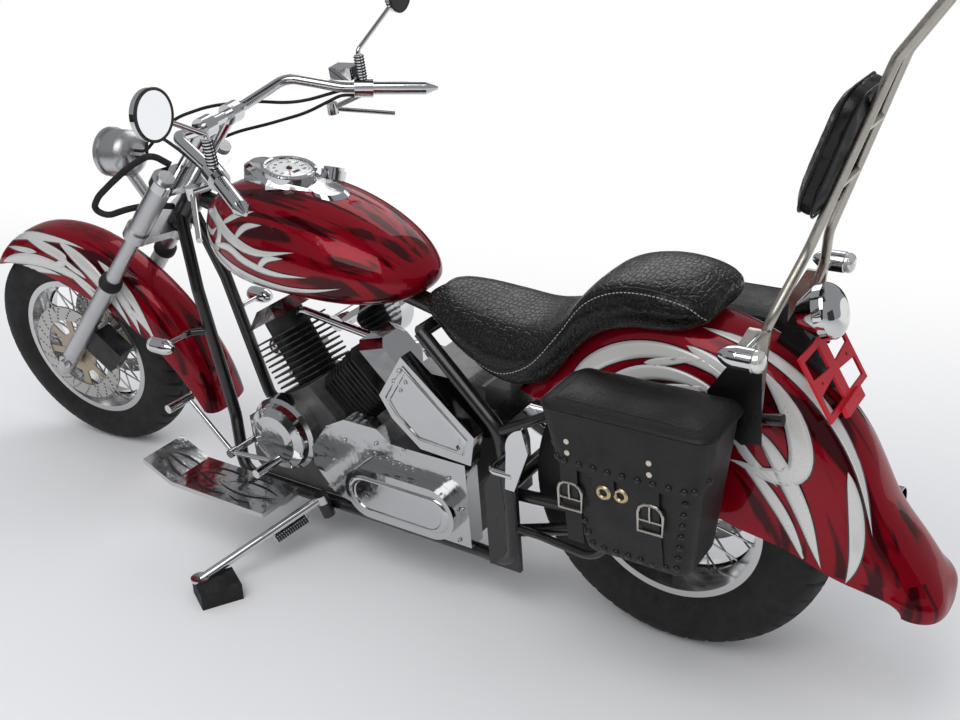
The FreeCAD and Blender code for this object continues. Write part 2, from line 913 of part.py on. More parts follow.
node(tyre("front_tyre_body", s.front_tyre_radius, s.front_tyre_width, s.front_bead_radius,
          s.front_bead_width, s.front_flange_height, s.front_shoulder_drop, s.front_shoulder_width), "front_tyre", FRONT_WHEEL)
node(wire_wheel("front_wheel_laced", s.front_bead_radius, s.front_bead_width, s.front_flange_height,
                s.front_well_depth, s.front_hub_radius, s.front_hub_width, s.front_flange_spacing),
     "front_wheel", FRONT_WHEEL)
node(together("front_disc_pair", [
    brake_disc("front_disc_" + word, s.front_disc_radius, s.front_disc_band, s.front_disc_face, side,
               s.front_hub_width) for side, word in ((LEFT, "left"), (RIGHT, "right"))]),
     "front_discs", FRONT_WHEEL)
node(tyre("rear_tyre_body", s.rear_tyre_radius, s.rear_tyre_width, s.rear_bead_radius,
          s.rear_bead_width, s.rear_flange_height, s.rear_shoulder_drop, s.rear_shoulder_width), "rear_tyre", REAR_WHEEL)
node(wire_wheel("rear_wheel_laced", s.rear_bead_radius, s.rear_bead_width, s.rear_flange_height,
                s.rear_well_depth, s.rear_hub_radius, s.rear_hub_width, s.rear_flange_spacing),
     "rear_wheel", REAR_WHEEL)
node(brake_disc("rear_disc_right", s.rear_disc_radius, s.rear_disc_band, s.rear_disc_face, RIGHT,
                s.rear_hub_width), "rear_disc", REAR_WHEEL)


# Fork, drawn with the front axle at the origin and the legs along +Z

SLIDER_INNER = s.fork_spacing / 2 - s.slider_radius
AXLE_END = s.fork_spacing / 2 + s.slider_radius + s.axle_radius


def fork_leg(name, side):
    """One leg: cast slider with its axle lug, dust seal, stanchion and the cover between the clamps."""
    slider_top = s.slider_height
    seal_top = slider_top + s.seal_height
    cover_low = s.lower_clamp_height + s.clamp_thickness + s.seat_gap
    cover_high = s.upper_clamp_height - s.seat_gap
    cap = s.upper_clamp_height + s.upper_clamp_thickness + s.fork_cap_height
    leg = upright_turned(name + "_leg", [
        (0, -s.slider_tail), (s.slider_radius - s.seal_height / 2, -s.slider_tail),
        (s.slider_radius, -s.slider_tail + s.seal_height), (s.slider_radius, slider_top),
        (s.seal_radius, slider_top), (s.seal_radius, seal_top), (s.stanchion_radius, seal_top),
        (s.stanchion_radius, cover_low), (s.shroud_radius, cover_low), (s.shroud_radius, cover_high),
        (s.stanchion_radius, cover_high), (s.stanchion_radius, cap), (0, cap)])
    put(leg, (0, side * s.fork_spacing / 2, 0))
    far = s.fork_spacing / 2 + s.slider_radius
    low, high = sorted((side * SLIDER_INNER, side * far))
    lug = cross_rod(name + "_lug", s.axle_lug_radius, low, high)
    bore = cross_rod(name + "_bore", s.axle_radius + s.seat_gap, low - s.overrun, high + s.overrun)
    return less(name, fused(name + "_cast", [leg, lug]), bore)


def clamp_plate(name, height, thickness):
    """A fork clamp: two bosses round the legs and one round the stem, joined by a web."""
    leg = s.fork_spacing / 2
    boss = s.stanchion_radius + s.clamp_wall
    pieces = [rod(name + "_boss_" + word, boss, thickness, (0, side * leg, height))
              for side, word in ((LEFT, "left"), (RIGHT, "right"))]
    pieces.append(rod(name + "_stem_boss", s.stem_boss_radius, thickness, (-s.fork_offset, 0, height)))
    web = flat_plate(name + "_web", [
        (-boss, leg), (boss, leg), (s.clamp_wall, 0), (boss, -leg), (-boss, -leg),
        (-s.fork_offset - s.stem_boss_radius / 2, -s.stem_boss_radius / 2),
        (-s.fork_offset - s.stem_boss_radius / 2, s.stem_boss_radius / 2)], height, thickness)
    holes = [rod(name + "_hole_" + word, s.stanchion_radius + s.seat_gap, thickness + 2 * s.overrun,
                 (0, side * leg, height - s.overrun)) for side, word in ((LEFT, "left"), (RIGHT, "right"))]
    return less(name, fused(name + "_cast", pieces + [web]), fused(name + "_holes", holes))


def lower_clamp():
    """The lower clamp with the steering stem that stands on it."""
    plate = clamp_plate("lower_clamp_plate", s.lower_clamp_height, s.clamp_thickness)
    top = s.lower_clamp_height + s.clamp_thickness
    stem = rod("steering_stem", s.stem_radius, s.upper_clamp_height - top - s.seat_gap + s.overrun,
               (-s.fork_offset, 0, top - s.overrun))
    return fused("lower_clamp_and_stem", [plate, stem])


def front_axle():
    """The axle with its spacers between hub and sliders."""
    pieces = [cross_rod("front_axle_rod", s.axle_radius, -AXLE_END, AXLE_END)]
    hub_face = s.front_hub_width / 2 + s.seat_gap
    for side, word in ((LEFT, "left"), (RIGHT, "right")):
        low, high = sorted((side * hub_face, side * (SLIDER_INNER - s.seat_gap)))
        pieces.append(cross_rod("front_spacer_" + word, s.axle_radius + s.spacer_wall, low, high))
    return fused("front_axle_and_spacers", pieces)


def caliper(name, side):
    """A brake caliper behind the slider, slotted for the disc."""
    half = s.caliper_depth / 2
    y_mid = s.front_disc_face - s.disc_thickness / 2
    low = side * y_mid - half
    shell = block(name + "_shell", s.caliper_length, s.caliper_depth, s.caliper_height,
                  (-s.slider_radius - s.seat_gap - s.caliper_length, low, s.caliper_low))
    slot_half = s.disc_thickness / 2 + s.running_gap
    slot = cross_rod(name + "_slot", s.front_disc_radius + s.running_gap, side * y_mid - slot_half,
                     side * y_mid + slot_half)
    return less(name, shell, slot)


node(together("fork_leg_pair", [fork_leg("fork_leg_left", LEFT), fork_leg("fork_leg_right", RIGHT)]),
     "fork_legs", FORK)
node(lower_clamp(), "lower_clamp", FORK)
node(clamp_plate("upper_clamp_plate", s.upper_clamp_height, s.upper_clamp_thickness), "upper_clamp", FORK)
node(front_axle(), "front_axle", FORK)
node(together("caliper_pair", [caliper("caliper_left", LEFT), caliper("caliper_right", RIGHT)]),
     "front_calipers", FORK)


# Handlebar and what it carries, drawn with the steering straight ahead

BAR_CLAMP = FRONT_AXLE + FORK_UP * (s.upper_clamp_height + s.upper_clamp_thickness + s.riser_height)
GRIP_TIP = Vector(s.grip_tip_forward, s.grip_tip_side, s.grip_tip_height)
GRIP_ROOT = Vector(s.grip_root_forward, s.grip_root_side, s.grip_root_height)
GRIP_WAY = (GRIP_TIP - GRIP_ROOT).normalize()


def on_side(point, side):
    """A point given for the left side, or its mirror image on the right."""
    return Vector(point.x, side * point.y, point.z)


def handlebar():
    """The tube from grip to grip: a straight middle, rising bends and pulled-back ends."""
    bend = Vector(s.bar_bend_forward, s.bar_bend_side, s.bar_bend_height)
    end = GRIP_TIP - GRIP_WAY * (s.grip_tip_length + s.clamp_wall)
    beyond = GRIP_ROOT - GRIP_WAY * (s.switch_length + s.bar_bend / 2)
    half = [end, beyond, bend, Vector(BAR_CLAMP.x, s.bar_straight / 2, BAR_CLAMP.z)]
    route = [tuple(point) for point in half] + [(p.x, -p.y, p.z) for p in half[::-1]]
    return made("handlebar_tube", pipe(route, s.bar_radius, s.bar_bend))


def risers():
    """Two posts on the upper clamp, each with a split clamp round the bar."""
    pieces = []
    for side, word in ((LEFT, "left"), (RIGHT, "right")):
        y = side * s.riser_spacing / 2
        base = s.upper_clamp_height + s.upper_clamp_thickness
        grasp = s.bar_radius + s.seat_gap
        post = rod("riser_post_" + word, s.riser_radius, s.riser_height - grasp - s.clamp_wall / 2, (0, y, base))
        half = s.riser_radius + s.overrun
        head = cross_rod("riser_head_" + word, grasp + s.clamp_wall, y - half, y + half, 0, base + s.riser_height)
        hole = cross_rod("riser_hole_" + word, grasp, y - half - s.overrun, y + half + s.overrun, 0,
                         base + s.riser_height)
        pieces.append(fused("riser_" + word, [post, less("riser_ring_" + word, head, hole)]))
    return together("riser_pair", pieces)


def grip(name, side):
    """A ribbed grip that ends in a long pointed cap."""
    root, tip = on_side(GRIP_ROOT, side), on_side(GRIP_TIP, side)
    neck = on_side(GRIP_TIP - GRIP_WAY * s.grip_tip_length, side)
    sleeve = bar_between(name + "_sleeve", s.grip_radius, tuple(root), tuple(neck))
    way = on_side(GRIP_WAY, side)
    bore = bar_between(name + "_bore", s.bar_radius + s.seat_gap, tuple(root - way * s.overrun),
                       tuple(neck - way * s.clamp_wall))
    point = doc.addObject("Part::Cone", name + "_point")
    bind(point, "Radius1", s.grip_radius)
    bind(point, "Radius2", s.grip_radius / 4)
    bind(point, "Height", s.grip_tip_length)
    put(point, tuple(neck), aimed(neck, tip))
    return less(name, fused(name + "_solid", [sleeve, point]), bore)


def controls(name, side):
    """Switch housing round the bar, and the lever ahead of the grip."""
    root = on_side(GRIP_ROOT, side)
    way = on_side(GRIP_WAY, side)
    near = root - way * (s.switch_length + s.seat_gap)
    house = bar_between(name + "_house", s.switch_radius, tuple(near), tuple(root - way * s.seat_gap))
    hole = bar_between(name + "_hole", s.bar_radius + s.seat_gap, tuple(near - way * s.overrun),
                       tuple(root + way * s.overrun))
    pivot = on_side(Vector(s.lever_root_forward, s.lever_root_side, s.lever_root_height), side)
    tip = on_side(Vector(s.lever_tip_forward, s.lever_tip_side, s.lever_tip_height), side)
    middle = near + (root - near) * 0.5
    outward = (pivot - middle) - way * (pivot - middle).dot(way)
    start = middle + outward.normalize() * (s.switch_radius - s.overrun)
    perch = bar_between(name + "_perch", s.lever_radius, tuple(start), tuple(pivot))
    boss = rod(name + "_boss", s.lever_bend, 2 * s.lever_bend, tuple(pivot - Z_AXIS * s.lever_bend))
    lever = bar_between(name + "_lever", s.lever_radius, tuple(pivot), tuple(tip))
    pieces = [less(name + "_sleeve", house, hole), perch, boss, lever]
    if side == RIGHT:
        tank_at = near + Vector(0, -s.reservoir_width * 0.85, s.bar_radius + s.clamp_wall / 2)
        pieces.append(block(name + "_reservoir", s.reservoir_length, s.reservoir_width, s.reservoir_height,
                            tuple(tank_at)))
    return fused(name, pieces)


def mirror(name, side):
    """A round mirror on a leaning stem, with a ribbed boot on the switch housing."""
    root, way = on_side(GRIP_ROOT, side), on_side(GRIP_WAY, side)
    foot = root - way * s.switch_length / 2
    centre = on_side(Vector(s.mirror_forward, s.mirror_side, s.mirror_height), side)
    knee = foot + Z_AXIS * s.boot_height
    toward = knee - centre
    toward = Vector(0, toward.y, toward.z).normalize()
    low = centre + toward * s.mirror_radius * 0.9
    boot = bar_between(name + "_boot", s.boot_radius, tuple(foot), tuple(knee))
    saddle = bar_between(name + "_saddle", s.switch_radius + s.seat_gap, tuple(foot - way * s.switch_length),
                         tuple(foot + way * s.switch_length))
    stem = made(name + "_stem", pipe([tuple(knee - Z_AXIS * s.boot_radius), tuple(knee + Z_AXIS * s.boot_radius),
                                      tuple(low)], s.mirror_stem_radius, s.lever_bend))
    turn = Rotation(Y_AXIS, QUARTER_TURN)
    glass = rod(name + "_glass", s.mirror_radius, s.mirror_depth,
                tuple(centre - X_AXIS * s.mirror_depth / 2), turn)
    return fused(name, [less(name + "_foot", boot, saddle), stem, glass])


def headlight():
    """A drum lamp with a domed back, lying along the bike, on a stalk from the lower clamp."""
    back = -s.lamp_length / 2
    front = s.lamp_length / 2
    drum = upright_turned("headlight_drum", [
        (0, back), (s.lamp_radius * 0.3, back), ((s.lamp_radius * 0.82, back + s.lamp_dome * 0.36),
                                                 (s.lamp_radius, back + s.lamp_dome)),
        (s.lamp_radius, front - s.lamp_rim), (s.lamp_radius + s.rim_wall, front - s.lamp_rim),
        (s.lamp_radius + s.rim_wall, front), (s.lamp_radius - s.rim_wall, front),
        (s.lamp_radius - s.rim_wall, front - s.rim_wall), (0, front - s.rim_wall)])
    centre = Vector(s.lamp_forward, 0, s.lamp_height)
    put(drum, tuple(centre), Rotation(Y_AXIS, QUARTER_TURN))
    clamp_front = FRONT_AXLE + FORK_UP * (s.lower_clamp_height + s.clamp_thickness / 2) \
        + FORK_AHEAD * (s.clamp_wall + s.stem_radius * 0.2 + s.seat_gap)
    route = [tuple(clamp_front), tuple(clamp_front + FORK_AHEAD * s.lamp_stalk_reach),
             tuple(centre - Z_AXIS * s.lamp_radius * 0.8)]
    stalk = made("headlight_stalk", pipe(route, s.stem_radius, s.lamp_stalk_reach))
    return fused("headlight_on_stalk", [drum, stalk])


def housing_exit(side, ahead_share):
    """A point on the inner end of a switch housing, beside the bar, and the way out of it."""
    root, way = on_side(GRIP_ROOT, side), on_side(GRIP_WAY, side)
    near = root - way * (s.switch_length + 2 * s.seat_gap)
    sink = (way * way.z - Z_AXIS).normalize()
    ahead = sink.cross(way) * side
    aside = (sink + ahead * ahead_share).normalize()
    return near + aside * (s.bar_radius + s.switch_radius) * 0.5, way * -1


# The cables' and hoses' points, chosen along their real routes with the steering straight.
BRAKE_HOSE_POINTS = [(1345, 52, 812), (1402, 60, 814), (1452, 92, 814), (1506, 120, 800), (1536, 130, 820),
                     (1508, 131, 855), (1455, 125, 893), (1392, 112, 936), (1330, 92, 965)]
LEFT_CABLE_POINTS = [(1085, 205, 1006), (1180, 150, 1010), (1265, 105, 1014), (1340, 72, 1004), (1396, 34, 966)]
UPPER_CABLE_POINTS = [(1094, -190, 1004), (1190, -140, 1022), (1285, -90, 1022), (1360, -42, 1004), (1408, -14, 960)]
LOWER_CABLE_POINTS = [(1085, -206, 974), (1170, -160, 958), (1240, -112, 950)]


def on_upper_clamp(ahead, aside, radius):
    """A point above the upper clamp where a hose of this radius lies on it."""
    top = s.upper_clamp_height + s.upper_clamp_thickness
    return FRONT_AXLE + FORK_UP * (top + radius + s.seat_gap) + FORK_AHEAD * ahead + Y_AXIS * aside


def hoses():
    """The brake hose that loops out ahead of the left fork leg, and three cables from the bar."""
    lamp_back = s.lamp_forward - s.lamp_length / 2 - s.seat_gap
    wide, thin = s.hose_radius, s.cable_radius
    seat_ahead = s.fork_spacing * 0.1
    seat_aside = s.fork_spacing / 2 - s.shroud_radius - wide - s.overrun
    routes = [("brake_hose", wide, [tuple(Vector(*point)) for point in BRAKE_HOSE_POINTS]
               + [tuple(on_upper_clamp(seat_ahead, seat_aside, wide))])]
    for name, side, share, points, lamp_rise in (
            ("left_cable", LEFT, 0.2, LEFT_CABLE_POINTS, -s.lamp_radius * 0.15),
            ("upper_cable", RIGHT, 1.2, UPPER_CABLE_POINTS, s.lamp_radius * 0.15)):
        start, way = housing_exit(side, share)
        z = s.lamp_height + lamp_rise
        routes.append((name, thin, [tuple(start), tuple(start + way * s.cable_run)] + points
                       + [(lamp_back - s.cable_run, 0, z), (lamp_back, 0, z)]))
    start, way = housing_exit(RIGHT, -0.4)
    routes.append(("lower_cable", thin, [tuple(start), tuple(start + way * s.cable_run)] + LOWER_CABLE_POINTS
                   + [tuple(on_upper_clamp(seat_ahead, -seat_aside - wide, thin))]))
    return together("hose_set", [made(name, pipe(route, radius, s.hose_bend)) for name, radius, route in routes])


node(hoses(), "hoses", STEER)
node(handlebar(), "handlebar", STEER)
node(risers(), "risers", FORK)
node(together("grip_pair", [grip("grip_left", LEFT), grip("grip_right", RIGHT)]), "grips", STEER)
node(together("control_pair", [controls("clutch_controls", LEFT), controls("brake_controls", RIGHT)]),
     "hand_controls", STEER)
node(together("mirror_pair", [mirror("mirror_left", LEFT), mirror("mirror_right", RIGHT)]), "mirrors", STEER)
node(headlight(), "headlight", STEER)


# Fenders, each skinned over arch sections that stand about its wheel's axle.
# A station gives the angle from straight ahead in degrees, then as shares of the tyre's radius
# the height of the crown and of the edge, and as a share of the fender's half width its own.

FRONT_FENDER_SHARES = [
    (47, 1.095, 1.060, 0.72), (56, 1.125, 0.990, 0.86), (68, 1.145, 0.900, 0.93), (84, 1.160, 0.790, 0.97),
    (100, 1.170, 0.735, 1.00), (120, 1.190, 0.720, 1.00), (140, 1.225, 0.790, 1.00), (158, 1.285, 0.930, 1.00),
    (174, 1.370, 1.110, 1.00), (186, 1.450, 1.270, 0.98), (195, 1.520, 1.400, 0.92),
]
REAR_FENDER_SHARES = [
    (36, 1.215, 1.200, 0.86), (41, 1.245, 0.940, 0.89), (47, 1.280, 0.740, 0.92), (56, 1.315, 0.560, 0.95),
    (70, 1.345, 0.420, 0.98), (90, 1.354, 0.345, 1.00), (112, 1.354, 0.320, 1.00), (135, 1.348, 0.350, 1.00),
    (152, 1.343, 0.430, 1.00), (163, 1.355, 0.540, 1.00), (170, 1.410, 0.710, 0.99), (176, 1.500, 0.900, 0.97),
    (182, 1.610, 1.160, 0.92), (187.5, 1.680, 1.470, 0.80),
]


def fender(name, stations, tyre_radius, half_width, fullness, grow=0, solid=False):
    """A fender as one curved sheet, or with solid set the space that it closes in, grown by a gap."""
    sections = []
    for angle, crown_share, edge_share, width_share in stations:
        place = polar_place(angle)
        half = half_width * width_share + grow
        crown, edge = tyre_radius * crown_share + grow, tyre_radius * edge_share - grow
        if solid:
            points = [place(y, r) for y, r in arch(half, edge, crown, fullness)]
            foot = Part.LineSegment(points[-1], points[0]).toShape()
            sections.append(Part.Wire([smooth(points), foot]))
        else:
            sections.append(shell_section(place, half, edge, crown, fullness, s.sheet_wall))
    return made(name, lofted(sections))


FENDER_FULLNESS = 2.7
FRONT_FENDER = STEER * Placement(FRONT_AXLE, Rotation())
node(fender("front_fender_sheet", FRONT_FENDER_SHARES, s.front_tyre_radius, s.front_fender_half_width,
            FENDER_FULLNESS), "front_fender", FRONT_FENDER)
node(fender("rear_fender_sheet", REAR_FENDER_SHARES, s.rear_tyre_radius, s.rear_fender_half_width,
            FENDER_FULLNESS), "rear_fender", REAR_WHEEL)


# Frame

def head_tube():
    """The steering head, bored for the stem."""
    low = s.lower_clamp_height + s.clamp_thickness + s.head_tube_gap
    high = s.upper_clamp_height - s.head_tube_gap
    shell = rod("head_tube_shell", s.head_tube_radius, high - low, (-s.fork_offset, 0, low))
    bore = rod("head_tube_bore", s.stem_radius + s.stem_play, high - low + 2 * s.overrun,
               (-s.fork_offset, 0, low - s.overrun))
    return less("head_tube", shell, bore)


HEAD_FRAME = Placement(FRONT_AXLE, Rotation(Y_AXIS, -s.rake_angle))


# The stand's pivot, and the place of its foot on the block, which stands on the floor.
STAND_PIVOT = Vector(s.stand_pivot_forward, s.stand_pivot_side, s.stand_pivot_height)
FOOT_ON_FLOOR = Vector(s.foot_forward, s.foot_side, s.block_height)
FOOT = FLOOR.multVec(FOOT_ON_FLOOR)
STAND_DOWN = (FOOT - STAND_PIVOT).normalize()
STAND_UP_SHARES = (-1.0, 0.27, 0.095)
STAND_UP = Vector(*STAND_UP_SHARES).normalize()
STAND_AXIS = STAND_DOWN.cross(STAND_UP).normalize()


def stand_lug():
    """The lug on the lower rail that the side stand turns on."""
    near = STAND_PIVOT - STAND_AXIS * (s.stand_eye_half + s.seat_gap)
    return bar_between("stand_lug", s.stand_leg_radius * 1.5, tuple(near - STAND_AXIS * s.stand_lug_length),
                       tuple(near))


def head_point(height):
    """A point on the steering head's axis."""
    return STEM_POINT + FORK_UP * height


BACKBONE_START = head_point(s.backbone_root_height) - X_AXIS * (s.stem_radius + s.head_tube_radius)
BACKBONE_END = Vector(s.saddle_cross_forward, 0, s.saddle_cross_height)


def frame_spine():
    """Steering head, backbone under the tank with its two tank mounts, and the cross tube behind."""
    head = head_tube()
    head.Placement = HEAD_FRAME
    start, end = BACKBONE_START, BACKBONE_END
    pieces = [head, bar_between("backbone", s.backbone_radius, tuple(start), tuple(end)),
              cross_rod("saddle_cross", s.frame_tube_radius, -s.saddle_cross_side, s.saddle_cross_side,
                        s.saddle_cross_forward, s.saddle_cross_height)]
    for word, share in (("front", 0.12), ("rear", 0.8)):
        at = start + (end - start) * share
        half = s.tunnel_half_width - s.seat_gap
        pieces.append(cross_rod("tank_mount_" + word, s.stem_radius, -half, half, at.x, at.z))
    return pieces


def cradle(name, side):
    """One side's long tube: down from the head, back under the engine, up behind it and
    forward to the cross tube under the saddle, with the cast plate that holds the swing arm."""
    head = head_point(s.downtube_root_height)
    rail_y, rear_y = s.rail_side, s.rear_upright_side
    route = [
        (head.x, s.downtube_top_side, head.z),
        (s.downtube_mid_forward, s.downtube_mid_side, s.downtube_mid_height),
        (s.downtube_foot_forward, s.downtube_foot_side, s.downtube_foot_height),
        (s.rail_front_forward, rail_y, s.rail_height),
        (s.pivot_forward + s.frame_bend, rail_y, s.rail_height),
        (s.rear_upright_forward, rear_y, s.rail_height + s.frame_tube_radius),
        (s.rear_upright_forward, rear_y, s.pivot_height),
        (s.shoulder_forward, rear_y, s.shoulder_height),
        (s.saddle_cross_forward, s.saddle_cross_side, s.saddle_cross_height),
    ]
    if side == RIGHT:
        route = mirrored(route)
    tube = made(name + "_tube", pipe(route, s.frame_tube_radius, s.frame_bend))
    half = s.pivot_plate_thickness / 2
    low, high = sorted((side * (rear_y - half), side * (rear_y + half)))
    back = s.rear_upright_forward - s.frame_tube_radius
    ahead = s.pivot_forward + s.pivot_plate_reach
    plate = side_plate(name + "_plate", [
        (back, s.rail_height), (ahead, s.rail_height),
        (ahead, s.pivot_height + s.pivot_plate_reach), (back, s.shoulder_height)], low, high)
    rail_route = [
        (s.shoulder_forward, side * rear_y, s.shoulder_height),
        (s.fender_rail_bend_forward, side * s.fender_rail_side, s.fender_rail_bend_height),
        (s.fender_rail_end, side * s.fender_rail_side, s.fender_rail_end_height)]
    rail = made(name + "_fender_rail", pipe(rail_route, s.fender_rail_radius, s.frame_bend))
    x, y, z = s.signal_root_forward, s.signal_root_side, s.front_signal_height
    arm = made(name + "_signal_arm", pipe([
        (x, side * y, z), (s.front_signal_forward, side * (s.signal_arm_side - s.signal_arm_reach), z),
        (s.front_signal_forward, side * s.signal_arm_side, z)], s.signal_stem_radius + s.pipe_wall, s.lever_bend))
    return [tube, plate, rail, arm]


def fender_studs():
    """Short studs from both fender rails to the rear fender's flanks, cut to its skin."""
    studs = []
    for word, x in (("front", s.fender_stud_front), ("rear", s.fender_stud_back)):
        share = (s.fender_rail_bend_forward - x) / (s.fender_rail_bend_forward - s.fender_rail_end)
        z = s.fender_rail_bend_height + (s.fender_rail_end_height - s.fender_rail_bend_height) * share
        for side, name in ((LEFT, "left"), (RIGHT, "right")):
            low, high = sorted((side * s.fender_stud_inner, side * s.fender_rail_side))
            studs.append(cross_rod("fender_stud_%s_%s" % (word, name), s.fender_stud_radius, low, high, x, z))
    skin = fender("fender_stud_limit", REAR_FENDER_SHARES, s.rear_tyre_radius, s.rear_fender_half_width,
                  FENDER_FULLNESS, s.seat_gap, True)
    skin.Placement = REAR_WHEEL
    return less("fender_studs", together("fender_stud_set", studs), skin)


def frame():
    """The welded frame: spine, two cradles, fender rails and the lug for the side stand."""
    pieces = frame_spine() + cradle("cradle_left", LEFT) + cradle("cradle_right", RIGHT) + [stand_lug()]
    pieces.append(fender_studs())
    high = s.upper_clamp_height - s.head_tube_gap
    bore = rod("frame_head_bore", s.stem_radius + s.stem_play, high, (-s.fork_offset, 0, 0))
    bore.Placement = HEAD_FRAME * bore.Placement
    bore.setExpression("Placement.Base.x", None)
    return less("frame_welded", fused("frame_tubes", pieces), bore)


def swing_arm():
    """Rear swing arm: pivot tube, two straight arms, their braces below and the axle plates."""
    pivot_y = s.rear_upright_side - s.pivot_plate_thickness / 2 - s.seat_gap
    pieces = [cross_rod("swing_pivot", s.pivot_tube_radius, -pivot_y, pivot_y, s.pivot_forward, s.pivot_height)]
    for side, word in ((LEFT, "left"), (RIGHT, "right")):
        y = side * s.swing_half_width
        axle = (REAR_AXLE.x, y, REAR_AXLE.z)
        pieces.append(bar_between("swing_tube_" + word, s.swing_tube_radius, (s.pivot_forward, y, s.pivot_height),
                                  axle))
        pieces.append(bar_between("swing_brace_" + word, s.swing_tube_radius,
                                  (s.pivot_forward, y, s.brace_height), axle))
        pieces.append(bar_between("swing_post_" + word, s.swing_tube_radius,
                                  (s.pivot_forward, y, s.brace_height - s.swing_tube_radius),
                                  (s.pivot_forward, y, s.pivot_height)))
        half = s.axle_plate_thickness / 2
        pieces.append(cross_rod("axle_plate_" + word, s.axle_plate_radius, y - half, y + half,
                                REAR_AXLE.x, REAR_AXLE.z))
    holes = [cross_rod("swing_axle_hole", s.axle_radius + s.seat_gap, -s.pivot_forward, s.pivot_forward,
                       REAR_AXLE.x, REAR_AXLE.z)]
    return less("swing_arm_body", fused("swing_arm_solid", pieces), holes[0])


def rear_axle():
    """The rear axle with its spacers."""
    pieces = [cross_rod("rear_axle_rod", s.axle_radius, -s.swing_half_width - s.axle_end,
                        s.swing_half_width + s.axle_end, REAR_AXLE.x, REAR_AXLE.z)]
    inner = s.swing_half_width - s.swing_tube_radius - s.seat_gap
    start = s.rear_disc_face + s.seat_gap
    pieces.append(cross_rod("rear_spacer_right", s.axle_radius + s.spacer_wall, -inner, -start,
                            REAR_AXLE.x, REAR_AXLE.z))
    return fused("rear_axle_and_spacer", pieces)


def final_drive():
    """The bevel gear housing beside the rear hub, and the shaft tube that runs back to it."""
    low = s.rear_hub_width / 2 + s.running_gap
    high = s.swing_half_width - s.swing_tube_radius - s.seat_gap
    housing = turned("drive_housing_round", [
        (low, s.axle_radius + s.seat_gap), (low, s.drive_housing_radius),
        (high - s.drive_housing_chamfer, s.drive_housing_radius),
        (high, s.drive_housing_radius - s.drive_housing_chamfer), (high, s.axle_radius + s.seat_gap)])
    put(housing, tuple(REAR_AXLE))
    return housing


def rear_caliper():
    """The rear brake caliper, slotted for the disc, on its plate round the axle's spacer."""
    y_mid = -(s.rear_disc_face - s.disc_thickness / 2)
    half = s.rear_caliper_depth / 2
    low_x, low_z = s.rear_caliper_forward, REAR_AXLE.z + s.rear_caliper_rise
    shell = block("rear_caliper_shell", s.rear_caliper_length, s.rear_caliper_depth, s.rear_caliper_height,
                  (low_x, y_mid - half, low_z))
    slot_half = s.disc_thickness / 2 + s.running_gap
    slot = cross_rod("rear_caliper_slot", s.rear_disc_radius + s.running_gap, y_mid - slot_half,
                     y_mid + slot_half, REAR_AXLE.x, REAR_AXLE.z)
    outside = s.swing_half_width - s.swing_tube_radius - 2 * s.seat_gap
    plate = side_plate("rear_caliper_plate", [
        (s.axle_end, REAR_AXLE.z - s.axle_end), (low_x + s.rear_caliper_length, low_z + s.rear_caliper_height / 2),
        (low_x, low_z + s.rear_caliper_height), (-s.axle_end, REAR_AXLE.z + s.axle_end)],
        -outside, -outside + s.disc_thickness)
    eye = cross_rod("rear_caliper_eye", s.axle_radius + 2 * s.spacer_wall, -outside, -outside + s.disc_thickness,
                    REAR_AXLE.x, REAR_AXLE.z)
    bore = cross_rod("rear_caliper_bore", s.axle_radius + s.spacer_wall + s.seat_gap, -s.swing_half_width, -s.axle_radius,
                     REAR_AXLE.x, REAR_AXLE.z)
    body = less("rear_caliper_slotted", shell, slot)
    return less("rear_caliper_body", fused("rear_caliper_and_plate", [body, plate, eye]), bore)


node(frame(), "frame")
node(swing_arm(), "swing_arm")
node(rear_axle(), "rear_axle")
node(final_drive(), "final_drive")
node(rear_caliper(), "rear_caliper")


# Engine

CRANK = Vector(s.crank_forward, 0, s.crank_height)


def bank_frame(angle):
    """The frame of a cylinder: its axis leaves the crank at an angle from upright."""
    return Placement(CRANK, Rotation(Y_AXIS, angle))


FRONT_BANK = bank_frame(s.front_bank_angle)
REAR_BANK = bank_frame(-s.rear_bank_angle)


def gearbox_back():
    """The corner behind the rear cylinder, where the flat top of the gearbox starts."""
    return REAR_BANK.multVec(Vector(-s.fin_half_length - 2 * s.overrun, 0, s.barrel_start - s.seat_gap + s.gearbox_rise))


def crankcase():
    """The cast case: two decks square to the cylinders, the gearbox behind and the sump below."""
    deck = s.barrel_start - s.seat_gap
    half = s.fin_half_length + s.overrun
    front_nose = FRONT_BANK.multVec(Vector(half, 0, deck))
    valley_front = FRONT_BANK.multVec(Vector(-half, 0, deck))
    valley_rear = REAR_BANK.multVec(Vector(half, 0, deck))
    rear_heel = REAR_BANK.multVec(Vector(-half, 0, deck))
    rear_wall = gearbox_back()
    corners = [front_nose, valley_front, valley_rear, rear_heel, rear_wall]
    outline = [(s.case_nose_forward, s.sump_height + s.sump_rise), (s.case_nose_forward, s.crank_height)]
    outline += [(point.x, point.z) for point in corners]
    outline += [(s.case_tail_forward + s.sump_rise, rear_wall.z), (s.case_tail_forward, s.crank_height),
                (s.case_tail_forward, s.sump_height + s.sump_rise), (s.case_tail_forward + s.sump_rise, s.sump_height),
                (s.case_nose_forward - s.sump_rise, s.sump_height)]
    return side_plate("crankcase_body", outline, -s.case_half_width, s.case_half_width)


